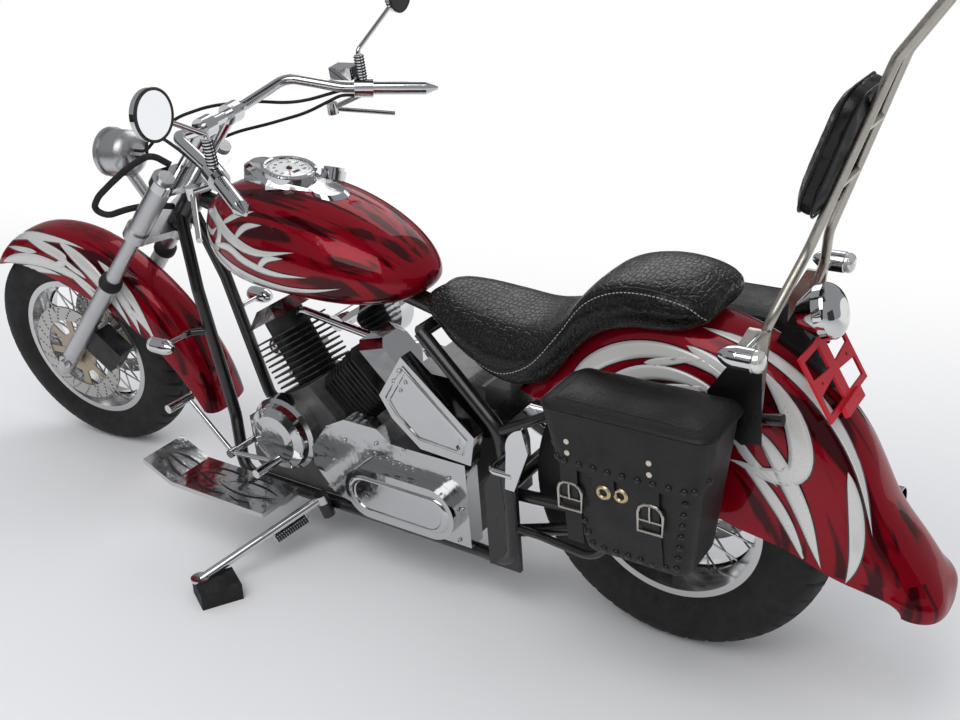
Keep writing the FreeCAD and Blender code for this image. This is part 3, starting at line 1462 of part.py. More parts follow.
def finned_cylinder(name, frame):
    """A barrel and head whose cooling fins are one chamfered plate, repeated up the cylinder."""
    body = doc.addObject("PartDesign::Body", name)
    base = [part for part in body.Origin.OriginFeatures if part.Role == "XY_Plane"][0]
    round_sketch = body.newObject("Sketcher::SketchObject", name + "_bore")
    round_sketch.AttachmentSupport = [(base, "")]
    round_sketch.MapMode = "FlatFace"
    round_sketch.addGeometry(Part.Circle(Vector(), Z_AXIS, s.barrel_radius), False)
    round_sketch.addConstraint(Sketcher.Constraint("Coincident", 0, 3, -1, 1))
    number = round_sketch.addConstraint(Sketcher.Constraint("Radius", 0, float(s.barrel_radius)))
    round_sketch.setExpression("Constraints[%d]" % number, s.barrel_radius.text)
    core = body.newObject("PartDesign::Pad", name + "_core")
    core.Profile = round_sketch
    bind(core, "Length", s.fin_pitch * (s.fin_count - 1) + s.fin_thickness + s.head_height)
    fin_sketch = body.newObject("Sketcher::SketchObject", name + "_fin_outline")
    fin_sketch.AttachmentSupport = [(base, "")]
    fin_sketch.MapMode = "FlatFace"
    long_side, deep_side, cut = s.fin_half_length, s.fin_half_depth, s.fin_corner
    draw(fin_sketch, [
        (long_side, deep_side - cut), (long_side - cut, deep_side), (-long_side + cut, deep_side),
        (-long_side, deep_side - cut), (-long_side, -deep_side + cut), (-long_side + cut, -deep_side),
        (long_side - cut, -deep_side), (long_side, -deep_side + cut)])
    fin = body.newObject("PartDesign::Pad", name + "_fin")
    fin.Profile = fin_sketch
    bind(fin, "Length", s.fin_thickness)
    row = body.newObject("PartDesign::LinearPattern", name + "_fins")
    row.Originals = [fin]
    row.Direction = (fin_sketch, ["N_Axis"])
    bind(row, "Length", s.fin_pitch * (s.fin_count - 1))
    row.Occurrences = int(round(s.fin_count))
    body.Tip = row
    return put(body, (0, 0, s.barrel_start))


def head_cover(name):
    """The chromed rocker cover on a head: a tapered box with its edges cut off."""
    low = s.barrel_start + s.fin_pitch * (s.fin_count - 1) + s.fin_thickness + s.head_height + s.seat_gap
    lengths = (s.fin_half_length, s.fin_half_length * 0.62)
    depths = (s.fin_half_depth, s.fin_half_depth * 0.62)
    sections = []
    for half_x, half_y, z in zip(lengths, depths, (low, low + s.cover_height)):
        c = s.fin_corner
        ring = [(half_x, half_y - c), (half_x - c, half_y), (c - half_x, half_y), (-half_x, half_y - c),
                (-half_x, c - half_y), (c - half_x, -half_y), (half_x - c, -half_y), (half_x, c - half_y)]
        ring = [Vector(x, y, z) for x, y in ring]
        sections.append(Part.makePolygon(ring + ring[:1]))
    return made(name, Part.makeLoft(sections, True, True))


def generator_cover():
    """The stepped round cover on the left end of the crank."""
    face, reach, radius = s.case_half_width + s.seat_gap, s.generator_reach, s.generator_radius
    deep = reach - face
    cover = turned("generator_cover_round", [
        (face, 0), (face, radius), (face + deep * 0.45, radius), (face + deep * 0.55, radius * 0.9),
        (face + deep * 0.78, radius * 0.86), (reach - deep * 0.06, radius * 0.66), (reach, radius * 0.4),
        (reach, 0)])
    return put(cover, (s.generator_forward, 0, s.generator_height))


def gear_cover():
    """The ribbed cover over the gearbox on the left."""
    tail, top = s.gear_cover_tail, s.gear_cover_top
    nose = s.generator_forward - s.generator_radius - s.running_gap
    low = s.sump_height + s.sump_rise / 2
    return side_plate("gear_cover_plate", [
        (nose, s.crank_height), (nose - s.generator_radius * 0.6, top - s.sump_rise),
        (nose - s.generator_radius * 1.2, top), (nose - s.generator_radius * 2.2, top),
        (nose - s.generator_radius * 2.6, top - s.sump_rise), (tail, top - s.sump_rise), (tail, low),
        (nose - s.generator_radius * 2, low), (nose - s.generator_radius * 0.6, low + s.sump_rise),
        (nose, s.crank_height - s.generator_radius * 0.5)], s.case_half_width + s.seat_gap, s.gear_cover_reach)


def capsule_cover():
    """The long round-ended cover that stands on the gear cover."""
    r, z = s.capsule_radius, s.capsule_height
    front, back = s.capsule_front - r, s.capsule_back + r
    return side_plate("capsule_cover_plate", [
        ((front + r, z), (front, z + r)), (back, z + r), ((back - r, z), (back, z - r)), (front, z - r)],
        s.gear_cover_reach + s.seat_gap, s.capsule_reach)


def clutch_cover():
    """The round cover on the right side of the case."""
    face, reach, radius = s.case_half_width + s.seat_gap, s.clutch_cover_reach, s.clutch_cover_radius
    deep = reach - face
    cover = turned("clutch_cover_round", [
        (-face, 0), (-face, radius), (-face - deep * 0.6, radius), (-face - deep * 0.75, radius * 0.92),
        (-reach, radius * 0.7), (-reach, 0)])
    return put(cover, (s.clutch_cover_forward, 0, s.crank_height))


def air_cleaner():
    """The round chromed air cleaner on the right, and the manifold that it feeds between the heads."""
    drum = turned("air_cleaner_drum", [
        (-s.air_inner, 0), (-s.air_inner, s.air_radius), (-s.air_outer + s.air_radius * 0.25, s.air_radius),
        (-s.air_outer, s.air_radius * 0.7), (-s.air_outer, 0)])
    put(drum, (s.air_forward, 0, s.air_height))
    up = s.barrel_start + s.fin_pitch * (s.fin_count - 1) + s.fin_thickness + s.head_height * 0.6
    face = s.barrel_radius + s.seat_gap
    reach = face + s.header_radius
    route = [FRONT_BANK.multVec(Vector(-face, 0, up)), FRONT_BANK.multVec(Vector(-reach, 0, up)),
             REAR_BANK.multVec(Vector(reach, 0, up)), REAR_BANK.multVec(Vector(face, 0, up))]
    runner = made("intake_manifold", pipe([tuple(point) for point in route], s.runner_radius, s.header_radius))
    middle = (route[1] + route[2]) * 0.5
    intake = cross_rod("air_intake", s.header_radius, -s.air_inner - s.overrun, 2 * s.overrun, middle.x, middle.z)
    return fused("air_cleaner_body", [drum, intake, runner])


def side_cover(name, side):
    """The chromed cover between engine and seat."""
    low, high = sorted((side * s.side_cover_inner, side * s.side_cover_outer))
    tip_x, tip_z = s.side_cover_tip_forward, s.side_cover_tip_height
    tail_x, tail_z = s.side_cover_tail_forward, s.side_cover_tail_height
    nose = s.side_cover_nose
    plate = side_plate(name + "_plate", [
        (tip_x, tip_z), (tip_x + nose, tip_z - nose * 1.5), (tip_x + nose * 0.6, tip_z - nose * 2.2),
        (tip_x - nose * 0.4, tail_z + nose * 0.1), (tail_x + nose * 0.2, tail_z), (tail_x, tail_z + nose)],
        low, high)
    pins = []
    start, end = sorted((side * (s.case_half_width + s.seat_gap), side * (s.side_cover_inner + s.overrun)))
    for word, x in (("rear", tail_x + nose), ("front", tip_x + nose * 0.2)):
        pins.append(cross_rod("%s_pin_%s" % (name, word), s.peg_radius * 0.7, start, end, x, s.cover_pin_height))
    return fused(name, [plate] + pins)


def exhaust():
    """Two headers and two straight mufflers, one above the other, on the right."""
    pieces = []
    y = -s.muffler_side
    low, high = s.muffler_low_height, s.muffler_low_height + s.muffler_rise
    face, side_face = s.fin_half_length + s.seat_gap, -s.fin_half_depth - s.seat_gap
    front_port = FRONT_BANK.multVec(Vector(face, -s.fin_half_depth / 2, s.port_height))
    front_out = FRONT_BANK.multVec(Vector(face + s.header_reach, -s.fin_half_depth / 2, s.port_height))
    rear_port = REAR_BANK.multVec(Vector(0, side_face, s.port_height))
    front_route = [
        tuple(front_port), tuple(front_out),
        (s.case_nose_forward + s.header_reach / 2, -s.header_side * 0.75, s.header_height + s.header_reach / 2),
        (s.case_nose_forward - 2 * s.header_reach, -s.header_side, s.header_height),
        (s.muffler_front + 3 * s.header_reach, -s.header_side, s.header_height), (s.muffler_front, y, low)]
    rear_route = [
        tuple(rear_port), (rear_port.x, side_face - s.header_reach, rear_port.z),
        (rear_port.x - s.header_reach, y, rear_port.z - s.header_reach),
        (rear_port.x - 2 * s.header_reach, y, high), (s.muffler_front, y, high)]
    pieces.append(made("header_front", pipe(front_route, s.header_radius, s.header_bend)))
    pieces.append(made("header_rear", pipe(rear_route, s.header_radius, s.header_bend)))
    for word, z in (("low", low), ("high", high)):
        shell = upright_turned("muffler_" + word, [
            (0, 0), (s.header_radius + s.pipe_wall, 0), (s.muffler_radius, s.muffler_radius * 2),
            (s.muffler_radius, s.muffler_length), (s.muffler_radius - s.pipe_wall, s.muffler_length),
            (s.muffler_radius - s.pipe_wall, s.muffler_length - s.muffler_bore_depth),
            (0, s.muffler_length - s.muffler_bore_depth)])
        pieces.append(put(shell, (s.muffler_front + s.overrun, y, z), Rotation(Y_AXIS, -QUARTER_TURN)))
    link = rod("muffler_link", s.header_radius / 2, s.muffler_rise, (s.muffler_front - s.muffler_length / 2, y, low))
    return fused("exhaust_pair", pieces + [link])


node(crankcase(), "crankcase")
node(finned_cylinder("front_barrel", FRONT_BANK), "front_cylinder", FRONT_BANK)
node(finned_cylinder("rear_barrel", REAR_BANK), "rear_cylinder", REAR_BANK)
node(head_cover("front_rocker_cover"), "front_head_cover", FRONT_BANK)
node(head_cover("rear_rocker_cover"), "rear_head_cover", REAR_BANK)
node(generator_cover(), "generator_cover")
node(gear_cover(), "gear_cover")
node(capsule_cover(), "capsule_cover")
node(clutch_cover(), "clutch_cover")
node(air_cleaner(), "air_cleaner")
node(together("side_cover_pair", [side_cover("side_cover_left", LEFT), side_cover("side_cover_right", RIGHT)]),
     "side_covers")
node(exhaust(), "exhaust")


def battery_box():
    """The black box that stands on the gearbox, under the seat."""
    half = s.battery_half_width
    base = gearbox_back().z + s.seat_gap
    return block("battery_case", s.battery_front - s.battery_back, 2 * half, s.battery_top - base,
                 (s.battery_back, -half, base))


node(battery_box(), "battery_box")


# Tank and seat, skinned over upright sections across the bike.
# A tank section gives, as shares of the tank's length, height and half width, its place from the
# tail, its underside, its top and its own half width.

TANK_SHARES = [
    (0.000, 0.30, 0.36, 0.15), (0.035, 0.16, 0.44, 0.40), (0.110, 0.08, 0.58, 0.66), (0.240, 0.02, 0.76, 0.88),
    (0.400, 0.00, 0.91, 0.985), (0.560, 0.00, 0.985, 1.00), (0.720, 0.02, 0.985, 0.93), (0.860, 0.10, 0.90, 0.72),
    (0.960, 0.24, 0.76, 0.42), (1.000, 0.36, 0.64, 0.18),
]
SEAT_SHARES = [
    (0.000, 0.760, 0.880, 0.45), (0.030, 0.700, 0.935, 0.66), (0.100, 0.650, 0.985, 0.78), (0.210, 0.640, 1.000, 0.84),
    (0.300, 0.600, 0.965, 0.86), (0.385, 0.480, 0.860, 0.90), (0.450, 0.300, 0.660, 0.96), (0.530, 0.080, 0.540, 1.00),
    (0.620, 0.000, 0.500, 1.00), (0.720, 0.060, 0.510, 0.97), (0.830, 0.200, 0.545, 0.86), (0.930, 0.355, 0.590, 0.66),
    (0.985, 0.460, 0.590, 0.44), (1.000, 0.500, 0.575, 0.24),
]


def fuel_tank():
    """The teardrop tank with the tunnel that sits over the backbone."""
    sections = [
        round_section(s.tank_tail + s.tank_length * x_share, s.tank_half_width * width_share,
                      s.tank_base + s.tank_rise * low_share, s.tank_base + s.tank_rise * high_share, 0.42, 2.3)
        for x_share, low_share, high_share, width_share in TANK_SHARES]
    shell = made("tank_form", lofted(sections))
    run = BACKBONE_START - BACKBONE_END
    slope = run.z / run.x
    clear = (s.backbone_radius + s.running_gap) * run.Length / run.x
    back, front = s.tank_tail - s.overrun, s.tank_tail + s.tank_length + s.overrun
    low = s.tank_base - s.overrun
    high_back, high_front = (BACKBONE_END.z + (x - BACKBONE_END.x) * slope + clear for x in (back, front))
    tunnel = side_plate("tank_tunnel", [(back, low), (front, low), (front, high_front), (back, high_back)],
                        -s.tunnel_half_width, s.tunnel_half_width)
    return less("fuel_tank_body", shell, tunnel)


def seat():
    """The two-up seat: a deep rider's hollow whose skirts straddle the fender, and a raised pillion."""
    length = s.seat_front - s.seat_back
    sections = [
        round_section(s.seat_back + length * x_share, s.seat_half_width * width_share,
                      s.seat_base + s.seat_rise * low_share, s.seat_base + s.seat_rise * high_share, 0.5, 2.6)
        for x_share, low_share, high_share, width_share in SEAT_SHARES]
    form = made("seat_form", lofted(sections))
    saddle = fender("seat_underside", REAR_FENDER_SHARES, s.rear_tyre_radius, s.rear_fender_half_width,
                    FENDER_FULLNESS, 2 * s.seat_gap, True)
    saddle.Placement = REAR_WHEEL
    return less("seat_body", form, saddle)


def gauge():
    """The speed gauge: a round drum in a long teardrop nacelle that lies on the tank."""
    r = s.gauge_radius
    levels = []
    for height, share in ((-s.gauge_sink, 1.16), (0, 1.16), (s.gauge_nacelle_rise, 1.02)):
        w, front, tail = r * share, s.gauge_front_length * share, s.gauge_tail_length * share
        ring = [Vector(front, w * 0.42, height), Vector(front + w * 0.2, 0, height), Vector(front, -w * 0.42, height),
                Vector(w * 0.1, -w, height), Vector(-tail * 0.6, -w * 0.5, height),
                Vector(-tail, 0, height), Vector(-tail * 0.6, w * 0.5, height), Vector(w * 0.1, w, height)]
        a, b, c, d, e, f, g, h = ring
        levels.append(Part.Wire([
            Part.Arc(a, b, c).toShape(), Part.LineSegment(c, d).toShape(), Part.LineSegment(d, e).toShape(),
            Part.Arc(e, f, g).toShape(), Part.LineSegment(g, h).toShape(), Part.LineSegment(h, a).toShape()]))
    nacelle = made("gauge_nacelle", Part.makeLoft(levels, True, True))
    drum = rod("gauge_drum", r, s.gauge_rise + s.gauge_sink, (0, 0, -s.gauge_sink))
    return fused("gauge_body", [nacelle, drum])


GAUGE_FRAME = Placement(Vector(s.gauge_forward, 0, s.gauge_height), Rotation(Y_AXIS, s.gauge_tilt))


node(fuel_tank(), "fuel_tank")
node(seat(), "seat")


# The tank's shape is taken out of what sits on it, so that each piece lies on its skin.

def seated(name, thing, frame, under):
    """A piece with the form beneath it cut away, so that it lies on that skin with a seat gap."""
    lifted = doc.addObject("Part::Compound", name + "_set")
    lifted.Links = [under]
    lifted.Placement = frame.inverse() * Placement(Z_AXIS * s.seat_gap * 1.6, Rotation())
    return less(name, thing, lifted)


TANK_FORM = doc.getObject("tank_form")
node(seated("gauge_seated", gauge(), GAUGE_FRAME, TANK_FORM), "gauge", GAUGE_FRAME)
CAP_FRAME = Placement(Vector(s.cap_forward, -s.cap_side, s.cap_height), Rotation(X_AXIS, s.cap_tilt))
node(seated("cap_seated", fused("cap_body", [
    rod("cap_base", s.cap_radius, s.gauge_sink + s.cap_rise / 2, (0, 0, -s.gauge_sink)),
    rod("cap_top", s.cap_radius * 0.82, s.cap_rise)]), CAP_FRAME, TANK_FORM), "fuel_cap", CAP_FRAME)


# Behind the seat

SISSY_SIDE = s.fender_rail_side + s.fender_rail_radius + s.seat_gap + s.sissy_plate_thickness / 2
SISSY_KNEE = Vector(s.sissy_knee_forward, s.sissy_knee_side, s.sissy_knee_height)
SISSY_TOP = Vector(s.sissy_top_forward, s.sissy_top_side, s.sissy_top_height)


def sissy_bar():
    """Two tall rods that stand on side plates, draw together above them and meet in a hoop,
    with the two cross bars that hold the pad."""
    base = Vector(s.sissy_base_forward, SISSY_SIDE - s.overrun, s.sissy_base_height)
    left = [tuple(base), (s.sissy_root_forward, s.sissy_root_side, s.sissy_root_height),
            tuple(SISSY_KNEE), tuple(SISSY_TOP)]
    crown = Vector(s.sissy_crown_forward, s.sissy_crown_side, s.sissy_crown_height)
    rise = (crown - SISSY_TOP) * 0.5
    low = SISSY_TOP + rise
    pieces = []
    for word, route in (("left", left + [tuple(low)]), ("right", mirrored(left + [tuple(low)]))):
        pieces.append(made("sissy_rod_" + word, pipe(route, s.sissy_radius, s.sissy_bend)))
    foot = low - rise.normalize() * s.sissy_radius
    hoop = [tuple(foot), tuple(crown)]
    pieces.append(made("sissy_hoop", pipe(hoop + mirrored(hoop)[::-1], s.sissy_radius - s.seat_gap,
                                          s.sissy_crown_bend)))
    for word, share in (("low", 0.3), ("high", 0.75)):
        at = pad_start() + (SISSY_TOP - SISSY_KNEE).normalize() * s.pad_length * share
        pieces.append(cross_rod("sissy_cross_" + word, s.sissy_radius - s.seat_gap, -at.y, at.y, at.x, at.z))
    for side, word in ((LEFT, "left"), (RIGHT, "right")):
        y = side * SISSY_SIDE
        half = s.sissy_plate_thickness / 2
        pieces.append(side_plate("sissy_plate_" + word, [
            (base.x + s.sissy_plate_width, s.fender_rail_end_height - s.sissy_plate_width / 2),
            (base.x + s.sissy_plate_width, base.z - s.sissy_plate_width / 2),
            (base.x + s.sissy_plate_width / 3, base.z + s.sissy_plate_width * 0.8),
            (base.x - s.sissy_plate_width / 2, base.z + s.sissy_plate_width * 0.8),
            (base.x - s.sissy_plate_width / 4, s.fender_rail_end_height - s.sissy_plate_width / 2)],
            y - half, y + half))
    return fused("sissy_bar_body", pieces)


def pad_start():
    """The point on the left rod beside the pad's lower edge."""
    return SISSY_KNEE + (SISSY_TOP - SISSY_KNEE) * ((s.pad_start_height - SISSY_KNEE.z) / (SISSY_TOP.z - SISSY_KNEE.z))


def backrest_pad():
    """The upholstered backrest, ahead of the rods and leaning with them."""
    w, top_z, c = s.pad_width / 2, s.pad_length, s.pad_corner
    out = c * 0.3
    outline = [((w - out, out), (w, c)), (w, top_z - c), ((w - out, top_z - out), (w - c, top_z)), (c - w, top_z),
               ((out - w, top_z - out), (-w, top_z - c)), (-w, c), ((out - w, out), (c - w, 0)), (w - c, 0)]
    body, sketch = body_sketch("backrest_form", "YZ_Plane", outline)
    pad = body.newObject("PartDesign::Pad", "backrest_form_pad")
    pad.Profile = sketch
    bind(pad, "Length", s.pad_thickness)
    body.Tip = pad
    lean = math.degrees(math.atan2(SISSY_KNEE.x - SISSY_TOP.x, SISSY_TOP.z - SISSY_KNEE.z))
    turn = Rotation(Y_AXIS, -lean)
    at = pad_start()
    start = Vector(at.x, 0, at.z) + turn.multVec(Vector(s.sissy_radius + s.seat_gap, 0, 0))
    return put(body, tuple(start), turn)


def tail_lamp():
    """The domed tail lamp behind the fender's crown, on a short neck."""
    r, deep = s.tail_lamp_radius, s.tail_lamp_depth
    return upright_turned("tail_lamp_bowl", [
        (0, 0), (r * 0.5, 0), (r, deep * 0.5), (r, deep * 0.7), ((r * 0.78, deep * 0.9), (r * 0.3, deep)),
        (0, deep)])


def plate_frame():
    """The empty licence plate frame with cut corners left open, and its mounting tongue."""
    w, h, b = s.plate_width / 2, s.plate_height / 2, s.plate_border
    outer = flat_plate("plate_outer", [(-h, -w), (h, -w), (h, w), (-h, w)], 0, s.plate_thickness)
    holes = []
    for index, (x_sign, y_sign) in enumerate(((1, 1), (1, -1), (-1, 1), (-1, -1))):
        a, g = s.plate_web / 2, b
        holes.append(flat_plate("plate_window_%d" % index, [
            (x_sign * a, y_sign * a * 2), (x_sign * (h - g), y_sign * a * 2),
            (x_sign * (h - g), y_sign * (w - g)), (x_sign * a * 2, y_sign * (w - g))],
            -s.overrun, s.plate_thickness + 2 * s.overrun))
    for word, side in (("left", LEFT), ("right", RIGHT)):
        holes.append(rod("plate_hole_" + word, s.plate_hole_radius, s.plate_thickness + 2 * s.overrun,
                         (0, side * s.plate_hole_side, -s.overrun)))
    frame_plate = less("plate_frame_open", outer, together("plate_windows", holes))
    reflector = flat_plate("rear_reflector", [
        (-h - s.reflector_drop, -s.reflector_width / 2), (-h + b / 2, -s.reflector_width / 2),
        (-h + b / 2, s.reflector_width / 2), (-h - s.reflector_drop, s.reflector_width / 2)],
        s.plate_thickness / 2, s.reflector_thickness + s.plate_thickness / 2)
    return fused("plate_frame_body", [frame_plate, reflector])


PLATE_FRAME = Placement(Vector(s.plate_forward, 0, s.plate_middle_height), Rotation(Y_AXIS, -s.plate_tilt))
LAMP_FRAME = Placement(Vector(s.tail_lamp_forward, 0, s.tail_lamp_height), Rotation(Y_AXIS, -s.tail_lamp_tilt))


def plate_bracket():
    """The upright web from the fender's crown that carries the plate frame and the tail lamp."""
    crown = s.rear_tyre_radius * 1.3
    low, high = (REAR_AXLE + polar_place(angle)(0, crown) for angle in (s.plate_foot_angle + 9, s.plate_foot_angle - 7))
    span = s.plate_height / 4
    points = [low, PLATE_FRAME.multVec(Vector(-span, 0, -s.seat_gap)), PLATE_FRAME.multVec(Vector(span, 0, -s.seat_gap)),
              LAMP_FRAME.multVec(Vector(-s.tail_lamp_radius * 0.55, 0, -s.seat_gap)),
              LAMP_FRAME.multVec(Vector(s.tail_lamp_radius * 0.4, 0, -s.seat_gap)), high]
    half = s.plate_web / 2
    web = side_plate("plate_bracket_web", [(point.x, point.z) for point in points], -half, half)
    saddle = fender("plate_bracket_saddle", REAR_FENDER_SHARES, s.rear_tyre_radius, s.rear_fender_half_width,
                    FENDER_FULLNESS, 2 * s.seat_gap, True)
    saddle.Placement = REAR_WHEEL
    return less("plate_bracket_body", web, saddle)


def signals(name, places, reach, turn_ahead):
    """A pair of bullet signals on short stems."""
    pair = []
    for side, word in ((LEFT, "left"), (RIGHT, "right")):
        x, y, z = places
        turn = Rotation(Y_AXIS, QUARTER_TURN * turn_ahead)
        bullet = upright_turned("%s_%s_bullet" % (name, word), [
            (0, -s.signal_length / 2), (s.signal_radius * 0.3, -s.signal_length / 2),
            ((s.signal_radius * 0.8, -s.signal_length * 0.3), (s.signal_radius, 0)),
            (s.signal_radius, s.signal_length * 0.35), (s.signal_radius * 0.7, s.signal_length * 0.46),
            (s.signal_radius * 0.4, s.signal_length / 2), (0, s.signal_length / 2)])
        put(bullet, (x, side * y, z), turn)
        low, high = sorted((side * reach, side * y))
        stem = cross_rod("%s_%s_stem" % (name, word), s.signal_stem_radius, low, high, x, z)
        pair.append(fused("%s_%s" % (name, word), [bullet, stem]))
    return together(name, pair)


node(sissy_bar(), "sissy_bar")
node(backrest_pad(), "backrest_pad")
node(tail_lamp(), "tail_lamp", LAMP_FRAME)
node(plate_frame(), "plate_frame", PLATE_FRAME)
node(together("signal_set", [
    signals("rear_signals", (s.rear_signal_forward, s.rear_signal_side, s.rear_signal_height),
            SISSY_SIDE + s.sissy_plate_thickness / 2 + s.seat_gap, -1),
    signals("front_signals", (s.front_signal_forward, s.front_signal_side, s.front_signal_height),
            s.signal_arm_side + s.seat_gap, 1)]), "turn_signals")


# Saddlebags

def round_ring(x_back, x_front, y_in, y_out, z, r):
    """A level rectangle with round corners, as a closed wire."""
    k = r * (1 - math.cos(math.radians(HALF_RIGHT)))
    edges = []
    corners = [(x_front, y_in, -1, 1), (x_front, y_out, -1, -1), (x_back, y_out, 1, -1), (x_back, y_in, 1, 1)]
    ends = []
    for index, (x, y, x_way, y_way) in enumerate(corners):
        along_x, along_y = Vector(x + x_way * r, y, z), Vector(x, y + y_way * r, z)
        first, last = (along_x, along_y) if index % 2 == 0 else (along_y, along_x)
        middle = Vector(x + x_way * k, y + y_way * k, z)
        ends.append((first, middle, last))
    for index, (first, middle, last) in enumerate(ends):
        edges.append(Part.Arc(first, middle, last).toShape())
        edges.append(Part.LineSegment(last, ends[(index + 1) % len(ends)][0]).toShape())
    return Part.Wire(edges)


def bag_frustum(name, grow, top):
    """A bag's tapered body: wide at the top, narrower at the bottom, with round upright edges."""
    sections = []
    for x_back, x_front, y_far, z in (
            (s.bag_low_back, s.bag_low_front, s.bag_depth * 0.86, s.bag_base - grow),
            (s.bag_top_back, s.bag_top_front, s.bag_depth, top)):
        sections.append(round_ring(x_back - grow, x_front + grow, s.bag_inner_side - grow,
                                   s.bag_inner_side + y_far + grow, z, s.bag_corner + grow))
    return made(name, Part.makeLoft(sections, True, True))


def bag(name):
    """An open-topped leather box of one wall."""
    shell = bag_frustum(name + "_outer", 0, s.bag_top)
    return less(name, shell, bag_frustum(name + "_inner", -s.bag_wall, s.bag_top + s.overrun))


def lid(name):
    """The lid: a domed leather top that hinges at its inner edge, with a flap down the outer side."""
    gap, wall, dome = s.seat_gap, s.lid_wall, s.lid_dome
    y0, y1 = s.bag_inner_side, s.bag_inner_side + s.bag_depth
    z = s.bag_top + gap
    levels = [round_ring(s.bag_top_back + inset, s.bag_top_front - inset, y0 + inset, y1 + 2 * wall - inset,
                         z + rise, s.bag_corner) for inset, rise in ((0, 0), (0, dome * 0.45), (dome * 0.55, dome))]
    top = made(name + "_dome", Part.makeLoft(levels, True, True))
    share = s.lid_flap_drop / (s.bag_top - s.bag_base)
    lean = s.bag_depth * 0.14 * share
    shrink_back = (s.bag_low_back - s.bag_top_back) * share
    shrink_front = (s.bag_top_front - s.bag_low_front) * share
    sections = []
    for x_back, x_front, shift, level in (
            (s.bag_top_back + s.bag_corner + shrink_back, s.bag_top_front - s.bag_corner - shrink_front,
             -lean + s.overrun, z - s.lid_flap_drop),
            (s.bag_top_back + s.bag_corner, s.bag_top_front - s.bag_corner, 0, z + wall / 2)):
        ring = [Vector(x, y, level) for x, y in (
            (x_back, y1 + gap + shift), (x_front, y1 + gap + shift),
            (x_front, y1 + gap + wall + shift), (x_back, y1 + gap + wall + shift))]
        sections.append(Part.makePolygon(ring + ring[:1]))
    flap = made(name + "_flap", Part.makeLoft(sections, True, True))
    return fused(name, [top, flap])


def flipped(name, thing):
    """The same piece on the right side of the bike."""
    mirror_image = doc.addObject("Part::Mirroring", name)
    mirror_image.Source = thing
    mirror_image.Normal = Y_AXIS
    return mirror_image


left_bag = bag("bag_left")
left_lid = lid("lid_left")
node(together("lid_left_set", [left_lid]), "bag_lid_left")
node(together("bag_pair", [left_bag, flipped("bag_right", left_bag)]), "saddlebags")
node(flipped("lid_right", left_lid), "bag_lid_right")


def bag_supports():
    """Black rails under and behind the bags, from the frame's pivot plates."""
    pair = []
    for side, word in ((LEFT, "left"), (RIGHT, "right")):
        inner = s.bag_inner_side - s.support_radius - s.seat_gap
        start = s.rear_upright_forward - s.frame_tube_radius - s.seat_gap
        route = [(start, side * s.rear_upright_side, s.support_low_height),
                 (start - s.support_reach, side * s.rear_upright_side, s.support_low_height),
                 (s.bag_low_front + s.support_reach, side * inner, s.support_low_height),
                 (s.bag_low_front - s.support_reach / 2, side * inner, s.bag_base + s.support_rise),
                 (s.bag_low_back + s.support_reach / 2, side * inner, s.bag_base + s.support_rise)]
        pair.append(made("bag_support_" + word, pipe(route, s.support_radius, s.frame_bend)))
    return together("bag_support_pair", pair)


def bag_plates():
    """The black gusset plates that stand off the backrest plates and hold the bags' backs."""
    pair = []
    inner = SISSY_SIDE + s.sissy_plate_thickness / 2 + s.seat_gap
    for side, word in ((LEFT, "left"), (RIGHT, "right")):
        low, high = sorted((side * inner, side * (inner + s.sheet_wall)))
        x, z, tall = s.bag_plate_back, s.bag_plate_top, s.bag_plate_height
        plate = side_plate("bag_plate_" + word, [
            (x, z), (x - tall * 0.03, z - tall * 0.93), (x + tall * 0.2, z - tall), (x + tall * 0.62, z - tall * 0.72),
            (x + tall * 0.62, z - tall * 0.4), (x + tall * 0.36, z)], low, high)
        near, far = sorted((side * inner, side * (s.bag_inner_side - s.seat_gap)))
        pins = [cross_rod("bag_pin_%s_%s" % (word, name), s.support_radius, near, far, x + tall * x_share, z - tall * z_share)
                for name, x_share, z_share in (("high", 0.45, 0.52), ("low", 0.42, 0.76))]
        pair.append(fused("bag_plate_and_pins_" + word, [plate] + pins))
    return together("bag_plate_pair", pair)


node(together("rear_bracket_set", [bag_supports(), bag_plates(), plate_bracket()]), "rear_brackets")


# Feet and hands of the rider

def floorboard(name, side):
    """A long footboard with a raised front, on two arms from the frame's lower rail."""
    inner, outer = s.board_inner, s.board_outer
    low, high = sorted((side * inner, side * outer))
    back, front, z, t = s.board_back, s.board_front, s.board_height, s.board_thickness
    plate = side_plate(name + "_plate", [
        (back, z), (front - s.board_upturn, z), (front, z + s.board_upturn * 0.45),
        (front - t * 0.3, z + s.board_upturn * 0.45 + t), (front - s.board_upturn - t * 0.3, z + t), (back, z + t)],
        low, high)
    arms = []
    start = s.rail_side + s.frame_tube_radius + s.seat_gap
    middle = (inner + outer) / 2
    for word, share in (("back", 0.22), ("front", 0.52)):
        x = back + (front - back) * share
        route = [(x, side * start, s.rail_height), (x, side * (start + s.support_reach), s.rail_height),
                 (x, side * middle, z - s.support_reach / 2), (x, side * middle, z + t / 2)]
        arms.append(made("%s_arm_%s" % (name, word), pipe(route, s.board_arm_radius, s.support_reach)))
    return fused(name, [plate] + arms)


